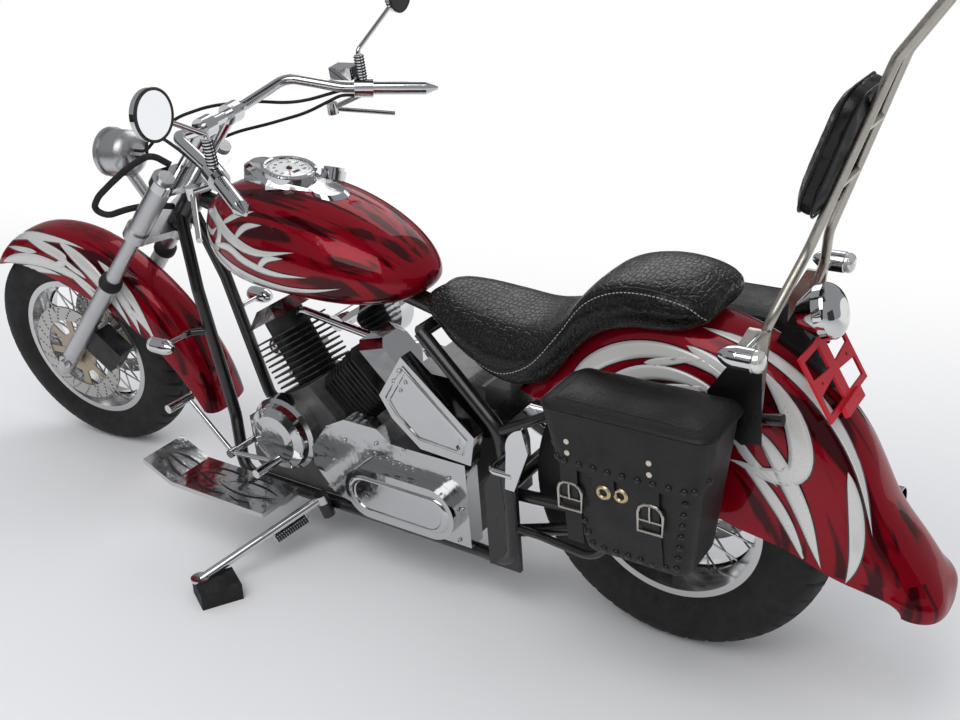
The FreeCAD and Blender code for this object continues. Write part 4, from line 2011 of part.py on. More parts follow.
def shift_lever():
    """The heel-and-toe shifter on the left, with a rubber peg at each end."""
    pivot = Vector(s.shift_pivot_forward, s.generator_reach + s.seat_gap, s.shift_pivot_height)
    y = s.shift_arm_side
    toe = Vector(s.shift_toe_forward, y, s.shift_toe_height)
    heel = Vector(s.shift_heel_forward, y, s.shift_heel_height)
    hubp = Vector(pivot.x, y, pivot.z)
    pieces = [cross_rod("shift_shaft", s.shift_arm_radius * 1.3, s.case_half_width + s.seat_gap, y,
                        pivot.x, pivot.z),
              cross_rod("shift_hub", s.peg_radius, y - s.peg_radius, y + s.peg_radius, pivot.x, pivot.z),
              bar_between("shift_toe_arm", s.shift_arm_radius, tuple(hubp), tuple(toe)),
              bar_between("shift_heel_arm", s.shift_arm_radius, tuple(hubp), tuple(heel))]
    for word, at in (("toe", toe), ("heel", heel)):
        pieces.append(cross_rod("shift_%s_peg" % word, s.peg_radius, y - s.peg_radius, y + s.peg_length,
                                at.x, at.z))
    return fused("shift_lever_body", pieces)


def brake_pedal():
    """The rear brake pedal on the right."""
    y = -s.shift_arm_side
    pivot = Vector(s.shift_pivot_forward, y, s.board_height + s.pedal_rise)
    toe = Vector(s.shift_toe_forward, y, s.shift_toe_height - s.pedal_drop)
    pieces = [cross_rod("pedal_shaft", s.shift_arm_radius * 1.3, y, -s.case_half_width - s.seat_gap,
                        pivot.x, pivot.z),
              cross_rod("pedal_hub", s.peg_radius, y - s.peg_radius, y + s.peg_radius, pivot.x, pivot.z),
              bar_between("pedal_arm", s.shift_arm_radius, tuple(pivot), tuple(toe)),
              cross_rod("pedal_pad", s.peg_radius * 1.3, y - s.peg_length, y + s.peg_radius, toe.x, toe.z)]
    return fused("brake_pedal_body", pieces)


def passenger_pegs():
    """The passenger's folding pegs, up on the pivot plates, with a teardrop heel guard."""
    pair = []
    for side, word in ((LEFT, "left"), (RIGHT, "right")):
        start = s.rear_upright_side + s.frame_tube_radius + s.seat_gap
        x, z = s.guard_forward, s.guard_height
        middle = s.guard_side + s.guard_thickness / 2
        route = [(s.rear_upright_forward, side * start, s.guard_stem_height),
                 (s.rear_upright_forward, side * middle, s.guard_stem_height),
                 (x + s.guard_width / 2, side * middle, s.guard_stem_height)]
        stem = made("guard_stem_" + word, pipe(route, s.peg_radius * 0.7, s.lever_bend))
        t0, t1 = sorted((side * s.guard_side, side * (s.guard_side + s.guard_thickness)))
        half = s.guard_length / 2
        guard = side_plate("heel_guard_" + word, [
            (x + s.guard_width * 0.9, z - half), (x + s.guard_width * 0.7, z + half * 0.2),
            ((x + s.guard_width * 0.25, z + half * 0.85), (x - s.guard_width * 0.3, z + half)),
            (x - s.guard_width * 0.6, z + half * 0.3), (x + s.guard_width * 0.35, z - half)], t0, t1)
        pair.append(fused("passenger_peg_" + word, [stem, guard]))
    return together("passenger_peg_pair", pair)


node(together("board_pair", [floorboard("board_left", LEFT), floorboard("board_right", RIGHT)]), "floorboards")
node(together("foot_lever_pair", [shift_lever(), brake_pedal()]), "foot_levers")
node(passenger_pegs(), "passenger_pegs")


# Side stand, and the block that its foot rests on

SPRING_SHARES = (0.16, 0.42)


def side_stand():
    """The stand: an eye on its pivot bolt, the leg and a flat foot that lies level when parked."""
    pieces = [bar_between("stand_leg", s.stand_leg_radius, tuple(STAND_PIVOT), tuple(FOOT))]
    foot = rod("stand_foot", s.foot_radius, s.foot_thickness, tuple(FOOT), FLOOR.Rotation)
    spring_way = STAND_AXIS * (s.stand_leg_radius + s.spring_radius * 1.4)
    run = FOOT - STAND_PIVOT
    spring_top, spring_foot = (STAND_PIVOT + run * share - spring_way for share in SPRING_SHARES)
    pieces.append(bar_between("stand_spring", s.spring_radius, tuple(spring_top), tuple(spring_foot)))
    for word, at in (("top", spring_top), ("foot", spring_foot)):
        pieces.append(bar_between("spring_hook_" + word, s.spring_radius / 2, tuple(at), tuple(at + spring_way)))
    eye = bar_between("stand_eye", s.stand_leg_radius * 1.5, tuple(STAND_PIVOT - STAND_AXIS * s.stand_eye_half),
                      tuple(STAND_PIVOT + STAND_AXIS * s.stand_eye_half))
    solid = fused("stand_solid", pieces + [eye])
    trim = block("stand_trim", 4 * s.foot_radius, 4 * s.foot_radius, 4 * s.foot_radius, (0, 0, 0))
    trim.Placement = FLOOR * Placement(
        FOOT_ON_FLOOR - Vector(2 * s.foot_radius, 2 * s.foot_radius, 4 * s.foot_radius), Rotation())
    return fused("side_stand_body", [less("stand_trimmed", solid, trim), foot])


def floor_block():
    """The square block under the stand's foot."""
    length, width = s.block_length, s.block_width
    box = block("block_box", length, width, s.block_height - s.seat_gap, (-length / 2, -width / 2, 0))
    return box


BLOCK_FRAME = FLOOR * Placement(Vector(s.block_forward, s.block_side, 0), Rotation(Z_AXIS, s.block_turn))
node(side_stand(), "side_stand")
block_node = together("block_solid", [floor_block()])
node(block_node, "stand_block", BLOCK_FRAME)


# Parking, checks and files

doc.recompute()


def check(thing):
    """Stops the build where a feature has failed."""
    if "Invalid" in thing.State or "Error" in thing.State:
        raise RuntimeError("%s failed: %s" % (thing.Name, thing.State))


for thing in doc.Objects:
    check(thing)

SHAPES = {}
whole = FreeCAD.BoundBox()
for label, (thing, frame) in NODES.items():
    shape = thing.Shape.copy()
    shape.Placement = LEVEL * frame * shape.Placement
    SHAPES[label] = shape
    whole.add(shape.optimalBoundingBox(False, False))
MIDDLE = Vector(-whole.Center.x, -whole.Center.y, -whole.ZMin)
PARKED = Placement(MIDDLE, Rotation()) * LEVEL
for label, (thing, frame) in NODES.items():
    for slot, _ in list(thing.ExpressionEngine):
        if slot.strip(".").startswith("Placement"):
            thing.setExpression(slot, None)
    thing.Placement = PARKED * frame * thing.Placement
doc.recompute()
for label, (thing, frame) in NODES.items():
    check(thing)
    shape = thing.Shape
    if shape.isNull() or not shape.isValid():
        raise RuntimeError("%s has no sound shape" % label)
    shape.exportStep("parts/%s.step" % label)
print("nodes", len(NODES), "size", round(whole.XLength), round(whole.YLength), round(whole.ZLength))
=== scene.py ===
# %% [markdown]
# # A parked chopper, dressed piece by piece
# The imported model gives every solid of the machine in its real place. This script loads it as a
# fixed frame, gives each solid a finish, and builds what a plain solid can't show: tread, leather,
# stitches, lenses, bolts and painted bands.

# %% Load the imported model
import json
import math

import bmesh
import bpy
from mathutils import Matrix, Vector, noise
from mathutils.bvhtree import BVHTree

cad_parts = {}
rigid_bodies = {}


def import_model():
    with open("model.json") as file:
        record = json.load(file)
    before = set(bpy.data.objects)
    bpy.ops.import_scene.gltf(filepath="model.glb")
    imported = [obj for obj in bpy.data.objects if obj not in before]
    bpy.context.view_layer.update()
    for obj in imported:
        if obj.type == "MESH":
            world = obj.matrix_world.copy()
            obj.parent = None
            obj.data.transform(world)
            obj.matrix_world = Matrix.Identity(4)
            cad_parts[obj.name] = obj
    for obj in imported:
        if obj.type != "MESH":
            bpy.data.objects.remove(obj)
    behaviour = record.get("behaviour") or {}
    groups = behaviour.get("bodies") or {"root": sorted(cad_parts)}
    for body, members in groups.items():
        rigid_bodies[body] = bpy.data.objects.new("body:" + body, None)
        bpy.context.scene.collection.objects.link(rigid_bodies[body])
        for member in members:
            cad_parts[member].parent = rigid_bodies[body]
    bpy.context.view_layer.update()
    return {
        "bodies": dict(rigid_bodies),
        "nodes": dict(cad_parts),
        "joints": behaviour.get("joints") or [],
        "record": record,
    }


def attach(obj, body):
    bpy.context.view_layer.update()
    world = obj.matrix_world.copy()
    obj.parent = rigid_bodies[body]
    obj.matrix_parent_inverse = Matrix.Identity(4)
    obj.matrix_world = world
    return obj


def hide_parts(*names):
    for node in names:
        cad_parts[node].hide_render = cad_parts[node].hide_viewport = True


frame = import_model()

NODES = frame["nodes"]
print("solids loaded:", len(NODES))

# %% [markdown]
# ## Frames of reference
# The machine was drawn upright in millimetres, with its origin where the rear tyre touches the
# floor, +X forward and +Y to the rider's left. It stands parked: leaned to the left on its side
# stand, with the steering turned. A matrix for each frame lets every piece be written where it is
# easy to think: upright, and square to its own axle.

# %% The frames: the bike, its bars, its fork and its two wheels
MILLIMETRE = 0.001
LEAN, SQUAT, TURNED, RAKE = (math.radians(a) for a in (-4.0, 0.05881, 7.6, 43.3))
REAR_AXLE = Vector((0, 0, 326.5))
FRONT_AXLE = Vector((1844, 0, 320))
FORK_UP = Vector((-math.sin(RAKE), 0, math.cos(RAKE)))
FORK_AHEAD = Vector((math.cos(RAKE), 0, math.sin(RAKE)))
FORK_OFFSET = 38.9
STEM = FRONT_AXLE - FORK_AHEAD * FORK_OFFSET
PARKED_AT = Vector((-0.809717, -0.0814487, 0.0002906))
PARK = Matrix.Translation(PARKED_AT) @ Matrix.Rotation(LEAN, 4, "X") @ Matrix.Rotation(SQUAT, 4, "Y")
BIKE = PARK @ Matrix.Scale(MILLIMETRE, 4)
BARS = BIKE @ Matrix.Translation(STEM) @ Matrix.Rotation(TURNED, 4, FORK_UP) @ Matrix.Translation(-STEM)
FORK = BARS @ Matrix.Translation(FRONT_AXLE) @ Matrix.Rotation(-RAKE, 4, "Y")
FRONT_WHEEL = BARS @ Matrix.Translation(FRONT_AXLE)
REAR_WHEEL = BIKE @ Matrix.Translation(REAR_AXLE)
SIDES = ((1, "left"), (-1, "right"))

# %% [markdown]
# ## Camera, floor and light
# The photograph was taken from the left, a little behind and from about eye height, looking down,
# against a white sweep. Its camera was solved together with the machine, so eye, turn and focal
# length are plain numbers here. The white comes from the backdrop's own colour, never from more
# light. Gloss sees a dimmer sky and the dark cards that stand around the machine, as in a real
# studio: without something dark to mirror, chrome looks like grey paint.

# %% The camera
EYE = Vector((-823, 1842, 1649))
YAW, PITCH, ROLL = (math.radians(a) for a in (-54.6, -26.1, -4.4))
FOCAL_PIXELS, FRAME_WIDTH, SENSOR = 1135, 960, 36
look = Vector((math.cos(PITCH) * math.cos(YAW), math.cos(PITCH) * math.sin(YAW), math.sin(PITCH)))
level = look.cross(Vector((0, 0, 1))).normalized()
upright = level.cross(look)
aside = level * math.cos(ROLL) + upright * math.sin(ROLL)
above = upright * math.cos(ROLL) - level * math.sin(ROLL)
camera = bpy.data.objects.new("camera", bpy.data.cameras.new("camera"))
camera.data.sensor_width = SENSOR
camera.data.lens = FOCAL_PIXELS / FRAME_WIDTH * SENSOR
camera.data.clip_end = 60
camera.matrix_world = PARK @ (Matrix.Translation(EYE * MILLIMETRE)
                              @ Matrix((aside, above, -look)).transposed().to_4x4())
bpy.context.scene.collection.objects.link(camera)
bpy.context.scene.camera = camera
bpy.context.scene.view_settings.view_transform = "Standard"
print("focal length in mm:", round(camera.data.lens, 2))


# %% Small helpers for node trees
def put(tree, kind, values=None, **settings):
    """Add a node, set its settings, and give its inputs values or links."""
    made = tree.nodes.new(kind)
    for key, value in settings.items():
        setattr(made, key, value)
    for key, value in (values or {}).items():
        if isinstance(value, bpy.types.NodeSocket):
            tree.links.new(value, made.inputs[key])
        else:
            made.inputs[key].default_value = value
    return made


def as_object(name, mesh):
    """A linked object for a mesh."""
    thing = bpy.data.objects.new(name, mesh)
    bpy.context.scene.collection.objects.link(thing)
    return thing


def sheet(name, width, depth):
    """A flat rectangle about the origin, to stand in the studio."""
    x, y = width / 2, depth / 2
    mesh = bpy.data.meshes.new(name)
    mesh.from_pydata([(-x, -y, 0), (x, -y, 0), (x, y, 0), (-x, y, 0)], [], [(0, 1, 2, 3)])
    return as_object(name, mesh)


def bare_material(name):
    """A material with an empty node tree."""
    material = bpy.data.materials.new(name)
    material.use_nodes = True
    material.node_tree.nodes.clear()
    return material


def background(tree, plain, mirrored):
    """White to the camera and through glass, one shade in reflections, and another elsewhere."""
    path = put(tree, "ShaderNodeLightPath")
    seen = put(tree, "ShaderNodeMath", {0: path.outputs["Is Camera Ray"],
                                        1: path.outputs["Is Transmission Ray"]}, operation="MAXIMUM")
    shade = put(tree, "ShaderNodeMix", {"Factor": path.outputs["Is Glossy Ray"], 6: plain, 7: mirrored},
                data_type="RGBA").outputs[2]
    return put(tree, "ShaderNodeMix", {"Factor": seen.outputs[0], 6: shade, 7: (1, 1, 1, 1)},
               data_type="RGBA").outputs[2]


# %% World, floor and sweep
SKY = (0.62, 0.63, 0.65, 1)
SKY_IN_CHROME = (0.34, 0.345, 0.36, 1)
world = bpy.data.worlds.new("studio")
bpy.context.scene.world = world
world.use_nodes = True
sky = world.node_tree.nodes["Background"].inputs
sky["Strength"].default_value = 1
world.node_tree.links.new(background(world.node_tree, SKY, SKY_IN_CHROME), sky["Color"])
FLOOR_WIDTH = 28
FLOOR_GREY = (0.9, 0.9, 0.91, 1)
FADE_FROM, FADE_TO = 0.3, 2.6


def studio_floor():
    """A wide floor whose grey melts into white towards the sweep behind the machine."""
    floor = sheet("floor", FLOOR_WIDTH, FLOOR_WIDTH)
    material = bare_material("pale_floor")
    tree = material.node_tree
    spot = put(tree, "ShaderNodeTexCoord").outputs["Object"]
    away = put(tree, "ShaderNodeVectorMath", {0: spot, 1: (0.25, -0.97, 0)}, operation="DOT_PRODUCT")
    fade = put(tree, "ShaderNodeMapRange", {0: away.outputs["Value"], 1: FADE_FROM, 2: FADE_TO},
               interpolation_type="SMOOTHSTEP")
    soft = put(tree, "ShaderNodeBsdfDiffuse", {"Color": FLOOR_GREY})
    white = put(tree, "ShaderNodeEmission", {"Color": (1, 1, 1, 1), "Strength": 1.0})
    blend = put(tree, "ShaderNodeMixShader", {0: fade.outputs[0], 1: soft.outputs[0], 2: white.outputs[0]})
    put(tree, "ShaderNodeOutputMaterial", {"Surface": blend.outputs[0]})
    floor.data.materials.append(material)


studio_floor()


# %% Soft boxes and dark cards
def facing(place, target):
    """A matrix at a place, with its -Z turned to a target."""
    way = Vector(target) - Vector(place)
    return Matrix.Translation(place) @ way.to_track_quat("-Z", "Y").to_matrix().to_4x4()


def soft_box(name, place, target, size, power):
    """A square area lamp that looks at a point."""
    lamp = bpy.data.lights.new(name, "AREA")
    lamp.shape = "SQUARE"
    lamp.size = size
    lamp.energy = power
    as_object(name, lamp).matrix_world = facing(place, target)


def dark_card(name, place, target, width, height, shade):
    """A dark panel that only reflections see."""
    card = sheet(name, width, height)
    card.matrix_world = facing(place, target)
    material = bare_material(name)
    tree = material.node_tree
    flat = put(tree, "ShaderNodeEmission", {"Color": (shade, shade, shade, 1), "Strength": 1.0})
    put(tree, "ShaderNodeOutputMaterial", {"Surface": flat.outputs[0]})
    card.data.materials.append(material)
    card.visible_camera = card.visible_diffuse = card.visible_shadow = card.visible_transmission = False


soft_box("key", (-0.8, 2.2, 3.4), (0.1, 0, 0.5), 2.6, 52)
soft_box("rim", (0.9, -2.6, 2.9), (0.1, 0, 0.6), 2.2, 26)
dark_card("card_left", (0.2, 4.2, 0.9), (0.0, 0, 0.8), 7.0, 1.5, 0.035)
dark_card("card_front", (4.6, 0.6, 0.9), (0.3, 0, 0.8), 3.0, 1.6, 0.05)
dark_card("card_rear", (-4.4, 1.2, 1.3), (-0.3, 0, 0.8), 2.4, 1.8, 0.05)
dark_card("card_high", (-1.2, 0.6, 4.4), (0.0, 0, 0.5), 1.2, 3.2, 0.05)
dark_card("card_low", (2.2, 3.4, 0.25), (0.4, 0, 0.4), 4.2, 0.7, 0.02)
dark_card("card_strip", (-2.4, 3.4, 2.6), (0.0, 0, 0.6), 0.7, 3.4, 0.02)
dark_card("card_above", (0.9, 1.5, 3.9), (0.2, 0, 0.7), 2.6, 0.7, 0.02)
dark_card("card_right", (0.4, -4.4, 0.7), (0.0, 0, 0.8), 6.0, 1.2, 0.05)

# %% [markdown]
# ## Effects that several finishes share
# Real surfaces are never even: polish is smudged, castings are grained, and dust settles on what
# faces up. Each effect is one node group with named inputs, so that a finish only says how much.


# %% The shared groups
def group(name, inputs, outputs):
    """An empty shader group with its named sockets."""
    made = bpy.data.node_groups.new(name, "ShaderNodeTree")
    kinds = {"v": "NodeSocketVector", "f": "NodeSocketFloat", "c": "NodeSocketColor"}
    for label, kind, value in inputs:
        socket = made.interface.new_socket(label, in_out="INPUT", socket_type=kinds[kind])
        if kind == "f":
            socket.default_value = value
    for label, kind in outputs:
        made.interface.new_socket(label, in_out="OUTPUT", socket_type=kinds[kind])
    return made, made.nodes.new("NodeGroupInput").outputs, made.nodes.new("NodeGroupOutput").inputs


def make_smudges():
    """Cloudy roughness between two ends, and a fine height for a bump."""
    tree, given, out = group("smudges", [("Vector", "v", 0), ("Size", "f", 9), ("Low", "f", 0.04),
                                         ("High", "f", 0.12), ("Grain", "f", 400)],
                             [("Roughness", "f"), ("Height", "f")])
    cloud = put(tree, "ShaderNodeTexNoise", {"Vector": given["Vector"], "Scale": given["Size"], "Detail": 6,
                                             "Roughness": 0.7})
    spread = put(tree, "ShaderNodeMapRange", {0: cloud.outputs[0], 1: 0.32, 2: 0.68, 3: given["Low"],
                                              4: given["High"]})
    fine = put(tree, "ShaderNodeTexNoise", {"Vector": given["Vector"], "Scale": given["Grain"], "Detail": 2})
    tree.links.new(spread.outputs[0], out["Roughness"])
    tree.links.new(fine.outputs[0], out["Height"])
    return tree


def make_dust():
    """A mask of dust and dulled patches on what faces up."""
    tree, given, out = group("dust", [("Vector", "v", 0), ("Size", "f", 30), ("Amount", "f", 0.3)],
                             [("Mask", "f")])
    facing = put(tree, "ShaderNodeSeparateXYZ", {0: put(tree, "ShaderNodeNewGeometry").outputs["Normal"]})
    up = put(tree, "ShaderNodeMapRange", {0: facing.outputs["Z"], 1: -0.1, 2: 1.0})
    cloud = put(tree, "ShaderNodeTexNoise", {"Vector": given["Vector"], "Scale": given["Size"], "Detail": 8,
                                             "Roughness": 0.75})
    patch = put(tree, "ShaderNodeMapRange", {0: cloud.outputs[0], 1: 0.4, 2: 0.7})
    both = put(tree, "ShaderNodeMath", {0: up.outputs[0], 1: patch.outputs[0]}, operation="MULTIPLY")
    tree.links.new(put(tree, "ShaderNodeMath", {0: both.outputs[0], 1: given["Amount"]},
                       operation="MULTIPLY").outputs[0], out["Mask"])
    return tree


def make_scales():
    """Embossed reptile hide: rows of rounded plates parted by grooves."""
    tree, given, out = group("scales", [("Vector", "v", 0), ("Size", "f", 90)],
                             [("Height", "f"), ("Groove", "f")])
    cells = put(tree, "ShaderNodeTexVoronoi", {"Vector": given["Vector"], "Scale": given["Size"],
                                               "Randomness": 0.55},
                feature="DISTANCE_TO_EDGE", voronoi_dimensions="3D")
    groove = put(tree, "ShaderNodeMapRange", {0: cells.outputs["Distance"], 1: 0.02, 2: 0.16},
                 interpolation_type="SMOOTHSTEP")
    fine = put(tree, "ShaderNodeTexNoise", {"Vector": given["Vector"], "Scale": 900, "Detail": 2})
    height = put(tree, "ShaderNodeMath", {0: fine.outputs[0], 1: 0.12, 2: groove.outputs[0]},
                 operation="MULTIPLY_ADD")
    tree.links.new(height.outputs[0], out["Height"])
    tree.links.new(groove.outputs[0], out["Groove"])
    return tree


def make_grain():
    """Fine leather: small pores and creases."""
    tree, given, out = group("grain", [("Vector", "v", 0), ("Size", "f", 260)],
                             [("Height", "f"), ("Patch", "f")])
    pores = put(tree, "ShaderNodeTexVoronoi", {"Vector": given["Vector"], "Scale": given["Size"]},
                feature="SMOOTH_F1")
    creases = put(tree, "ShaderNodeTexNoise", {"Vector": given["Vector"], "Scale": 22, "Detail": 9,
                                               "Roughness": 0.7, "Distortion": 0.6})
    height = put(tree, "ShaderNodeMath", {0: creases.outputs[0], 1: 1.6, 2: pores.outputs["Distance"]},
                 operation="MULTIPLY_ADD")
    tree.links.new(height.outputs[0], out["Height"])
    tree.links.new(creases.outputs[0], out["Patch"])
    return tree


def make_licks():
    """Soft dark flames that flow along X and taper: a stretched, bent noise."""
    tree, given, out = group("licks", [("Vector", "v", 0), ("Size", "f", 5)], [("Mask", "f")])
    bend = put(tree, "ShaderNodeTexNoise", {"Vector": given["Vector"], "Scale": 7, "Detail": 2})
    moved = put(tree, "ShaderNodeVectorMath", {0: bend.outputs["Color"], 1: (0.10, 0.10, 0.16)},
                operation="MULTIPLY")
    flow = put(tree, "ShaderNodeVectorMath", {0: given["Vector"], 1: moved.outputs[0]}, operation="ADD")
    flames = put(tree, "ShaderNodeTexNoise", {"Vector": flow.outputs[0], "Scale": given["Size"],
                                              "Detail": 2.5, "Roughness": 0.4})
    edge = put(tree, "ShaderNodeMapRange", {0: flames.outputs[0], 1: 0.50, 2: 0.60},
               interpolation_type="SMOOTHSTEP")
    tree.links.new(edge.outputs[0], out["Mask"])
    return tree


SMUDGES, DUST, SCALES, GRAIN, LICKS = make_smudges(), make_dust(), make_scales(), make_grain(), make_licks()

# %% [markdown]
# ## Finishes
# A finish is one principled shader. Its plain numbers are set on its own sockets, and only what
# changes over the surface is linked: colour, roughness and the bump.


# %% A recipe for a finish
def finish(name, colour, roughness, metallic=0.0, coat=0.0):
    """A new material with a principled shader, and the object's own coordinates to paint with."""
    material = bpy.data.materials.new(name)
    material.use_nodes = True
    tree = material.node_tree
    shader = tree.nodes["Principled BSDF"]
    shader.inputs["Base Color"].default_value = (*colour, 1)
    shader.inputs["Roughness"].default_value = roughness
    shader.inputs["Metallic"].default_value = metallic
    shader.inputs["Coat Weight"].default_value = coat
    material.diffuse_color = (*colour, 1)
    place = put(tree, "ShaderNodeTexCoord").outputs["Object"]
    return material, tree, shader, place


def use(tree, shared, **inputs):
    """Place a shared group with its own values."""
    return put(tree, "ShaderNodeGroup", inputs, node_tree=shared).outputs


def bump(tree, shader, height, strength, distance):
    """Feed a height to the shader's normal."""
    made = put(tree, "ShaderNodeBump", {"Height": height, "Strength": strength, "Distance": distance})
    tree.links.new(made.outputs[0], shader.inputs["Normal"])


def tinted(tree, mask, first, second):
    """A colour that goes from the first to the second by a mask."""
    return put(tree, "ShaderNodeMix", {"Factor": mask, 6: (*first, 1), 7: (*second, 1)},
               data_type="RGBA").outputs[2]


def seen_from(tree, place, centre):
    """The object's coordinates as a frame sees them, such as a wheel's."""
    home = centre.normalized().inverted()
    return put(tree, "ShaderNodeMapping", {"Vector": place, "Location": home.to_translation(),
                                           "Rotation": home.to_euler()}).outputs[0]


def from_axle(tree, spot):
    """The distance of a place from the Y axis of its frame."""
    flat = put(tree, "ShaderNodeVectorMath", {0: spot, 1: (1, 0, 1)}, operation="MULTIPLY")
    return put(tree, "ShaderNodeVectorMath", {0: flat.outputs[0]}, operation="LENGTH").outputs["Value"]


def smudged(name, colour, low, high, size=9, grain=400, depth=0.0, metallic=1.0, coat=0.0, dusty=0.0,
            dust_colour=(0.3, 0.29, 0.27)):
    """A metal or paint whose polish is uneven, with grain and dust where asked."""
    material, tree, shader, place = finish(name, colour, high, metallic, coat)
    marks = use(tree, SMUDGES, Vector=place, Size=size, Low=low, High=high, Grain=grain)
    tree.links.new(marks["Roughness"], shader.inputs["Roughness"])
    if depth:
        bump(tree, shader, marks["Height"], 0.5, depth)
    if dusty:
        mask = use(tree, DUST, Vector=place, Amount=dusty)["Mask"]
        tree.links.new(tinted(tree, mask, colour, dust_colour), shader.inputs["Base Color"])
    return material


# %% The finishes
CHROME = smudged("chrome", (0.66, 0.665, 0.67), 0.03, 0.11, size=14, grain=30, depth=0.0006)
CAST_CHROME = smudged("cast_chrome", (0.56, 0.565, 0.57), 0.05, 0.18, size=20, grain=26, depth=0.0020,
                      dusty=0.10)
SATIN = smudged("satin_alloy", (0.56, 0.56, 0.57), 0.24, 0.42, size=24, grain=500, depth=0.0004, dusty=0.2)
SPOKE_STEEL = smudged("spoke_steel", (0.62, 0.62, 0.62), 0.12, 0.28, size=30, dusty=0.1)
GLOSS_BLACK = smudged("gloss_black", (0.004, 0.004, 0.0045), 0.2, 0.4, size=12, grain=500, depth=0.0002,
                      metallic=0.0, coat=0.4, dusty=0.18, dust_colour=(0.12, 0.12, 0.12))
ENGINE_BLACK = smudged("engine_black", (0.007, 0.007, 0.0075), 0.38, 0.6, size=30, grain=900, depth=0.0006,
                       metallic=0.0, dusty=0.5, dust_colour=(0.11, 0.11, 0.11))
CASE_GREY = smudged("case_grey", (0.10, 0.10, 0.10), 0.35, 0.6, size=30, grain=700, depth=0.0006,
                    metallic=0.6, dusty=0.5)
RUBBER = smudged("rubber", (0.006, 0.006, 0.0065), 0.62, 0.85, size=24, grain=800, depth=0.0004, metallic=0.0,
                 dusty=0.35, dust_colour=(0.10, 0.10, 0.095))
NICKEL = smudged("aged_nickel", (0.48, 0.45, 0.40), 0.20, 0.46, size=40, grain=500, depth=0.0003, dusty=0.25,
                 dust_colour=(0.22, 0.17, 0.12))
RED_ANODISED = smudged("red_anodised", (0.62, 0.012, 0.03), 0.28, 0.44, size=20, grain=700, depth=0.0003,
                       metallic=0.55)
BRASS = smudged("old_brass", (0.55, 0.44, 0.27), 0.22, 0.42, size=60)
MIRROR_GLASS = smudged("mirror_glass", (0.86, 0.88, 0.90), 0.0, 0.03, size=8)

# %% [markdown]
# ## Candy paint
# Candy paint is a clear red over a bright metallic base, so it is dark at its edges and glows
# where it faces the light. Here the base is partly metal, with dark tongues under a thin clear
# coat. The coat alone mirrors the studio: with a second gloss below it the red would turn milky.

# %% Colours and centre of the candy paint
TANK_MIDDLE = Vector((900, 0, 765))
CANDY_RED, CANDY_BRIGHT, CANDY_SHADOW = (0.27, 0.003, 0.011), (0.24, 0.0018, 0.010), (0.045, 0.001, 0.0035)


# %% Candy red with shadow tongues
def candy(name, wheel, size):
    """Deep red lacquer with darker tongues that flow round its wheel, or along the tank."""
    material, tree, shader, place = finish(name, CANDY_RED, 0.28, metallic=0.4, coat=0.5)
    shader.inputs["Coat Roughness"].default_value = 0.025
    shader.inputs["Specular IOR Level"].default_value = 0.0
    spot = seen_from(tree, place, wheel or BIKE @ Matrix.Translation(TANK_MIDDLE))
    axes = put(tree, "ShaderNodeSeparateXYZ", {0: spot}).outputs
    wide = put(tree, "ShaderNodeMath", {0: axes["Y"]}, operation="ABSOLUTE").outputs[0]
    if wheel:
        turn = put(tree, "ShaderNodeMath", {0: axes["Z"], 1: axes["X"]}, operation="ARCTAN2").outputs[0]
        along = put(tree, "ShaderNodeMath", {0: turn, 1: 0.06}, operation="MULTIPLY").outputs[0]
        around = put(tree, "ShaderNodeMath", {0: wide, 1: from_axle(tree, spot)},
                     operation="SUBTRACT").outputs[0]
    else:
        along = put(tree, "ShaderNodeMath", {0: axes["X"], 1: 0.2}, operation="MULTIPLY").outputs[0]
        around = put(tree, "ShaderNodeMath", {0: wide, 1: axes["Z"]}, operation="SUBTRACT").outputs[0]
    flow = put(tree, "ShaderNodeCombineXYZ", {"X": along, "Y": wide, "Z": around}).outputs[0]
    mask = use(tree, LICKS, Vector=flow, Size=size)["Mask"]
    tree.links.new(tinted(tree, mask, CANDY_BRIGHT, CANDY_SHADOW), shader.inputs["Base Color"])
    flakes = use(tree, SMUDGES, Vector=place, Size=6, Low=0.22, High=0.34, Grain=2600)
    tree.links.new(flakes["Roughness"], shader.inputs["Roughness"])
    bump(tree, shader, flakes["Height"], 0.25, 0.0002)
    return material


CANDY_TANK = candy("candy_tank", None, 26)
CANDY_FRONT = candy("candy_front", FRONT_WHEEL, 26)
CANDY_REAR = candy("candy_rear", REAR_WHEEL, 24)

# %% [markdown]
# ## Leather
# The seat's leather is embossed like reptile hide, and that of the pad and the bags is smooth.
# Both are one recipe: a height for the bump, a mask for the colour, and an uneven sheen. Black
# leather mirrors little, so its specular level is low.


# %% Leather
def leather(name, colour, scales, size, depth, low, high):
    """Black leather, either embossed like reptile hide or smooth with fine pores."""
    material, tree, shader, place = finish(name, colour, high)
    shader.inputs["Specular IOR Level"].default_value = 0.36
    if scales:
        stretched = put(tree, "ShaderNodeMapping", {"Vector": place, "Scale": (1.0, 0.62, 1.0)}).outputs[0]
        hide = use(tree, SCALES, Vector=stretched, Size=size)
        tone = tinted(tree, hide["Groove"], tuple(c * 0.3 for c in colour), colour)
    else:
        hide = use(tree, GRAIN, Vector=place, Size=size)
        tone = tinted(tree, hide["Patch"], tuple(c * 0.55 for c in colour), tuple(c * 1.6 for c in colour))
    tree.links.new(tone, shader.inputs["Base Color"])
    marks = use(tree, SMUDGES, Vector=place, Size=16, Low=low, High=high)
    tree.links.new(marks["Roughness"], shader.inputs["Roughness"])
    bump(tree, shader, hide["Height"], 0.8, depth)
    return material


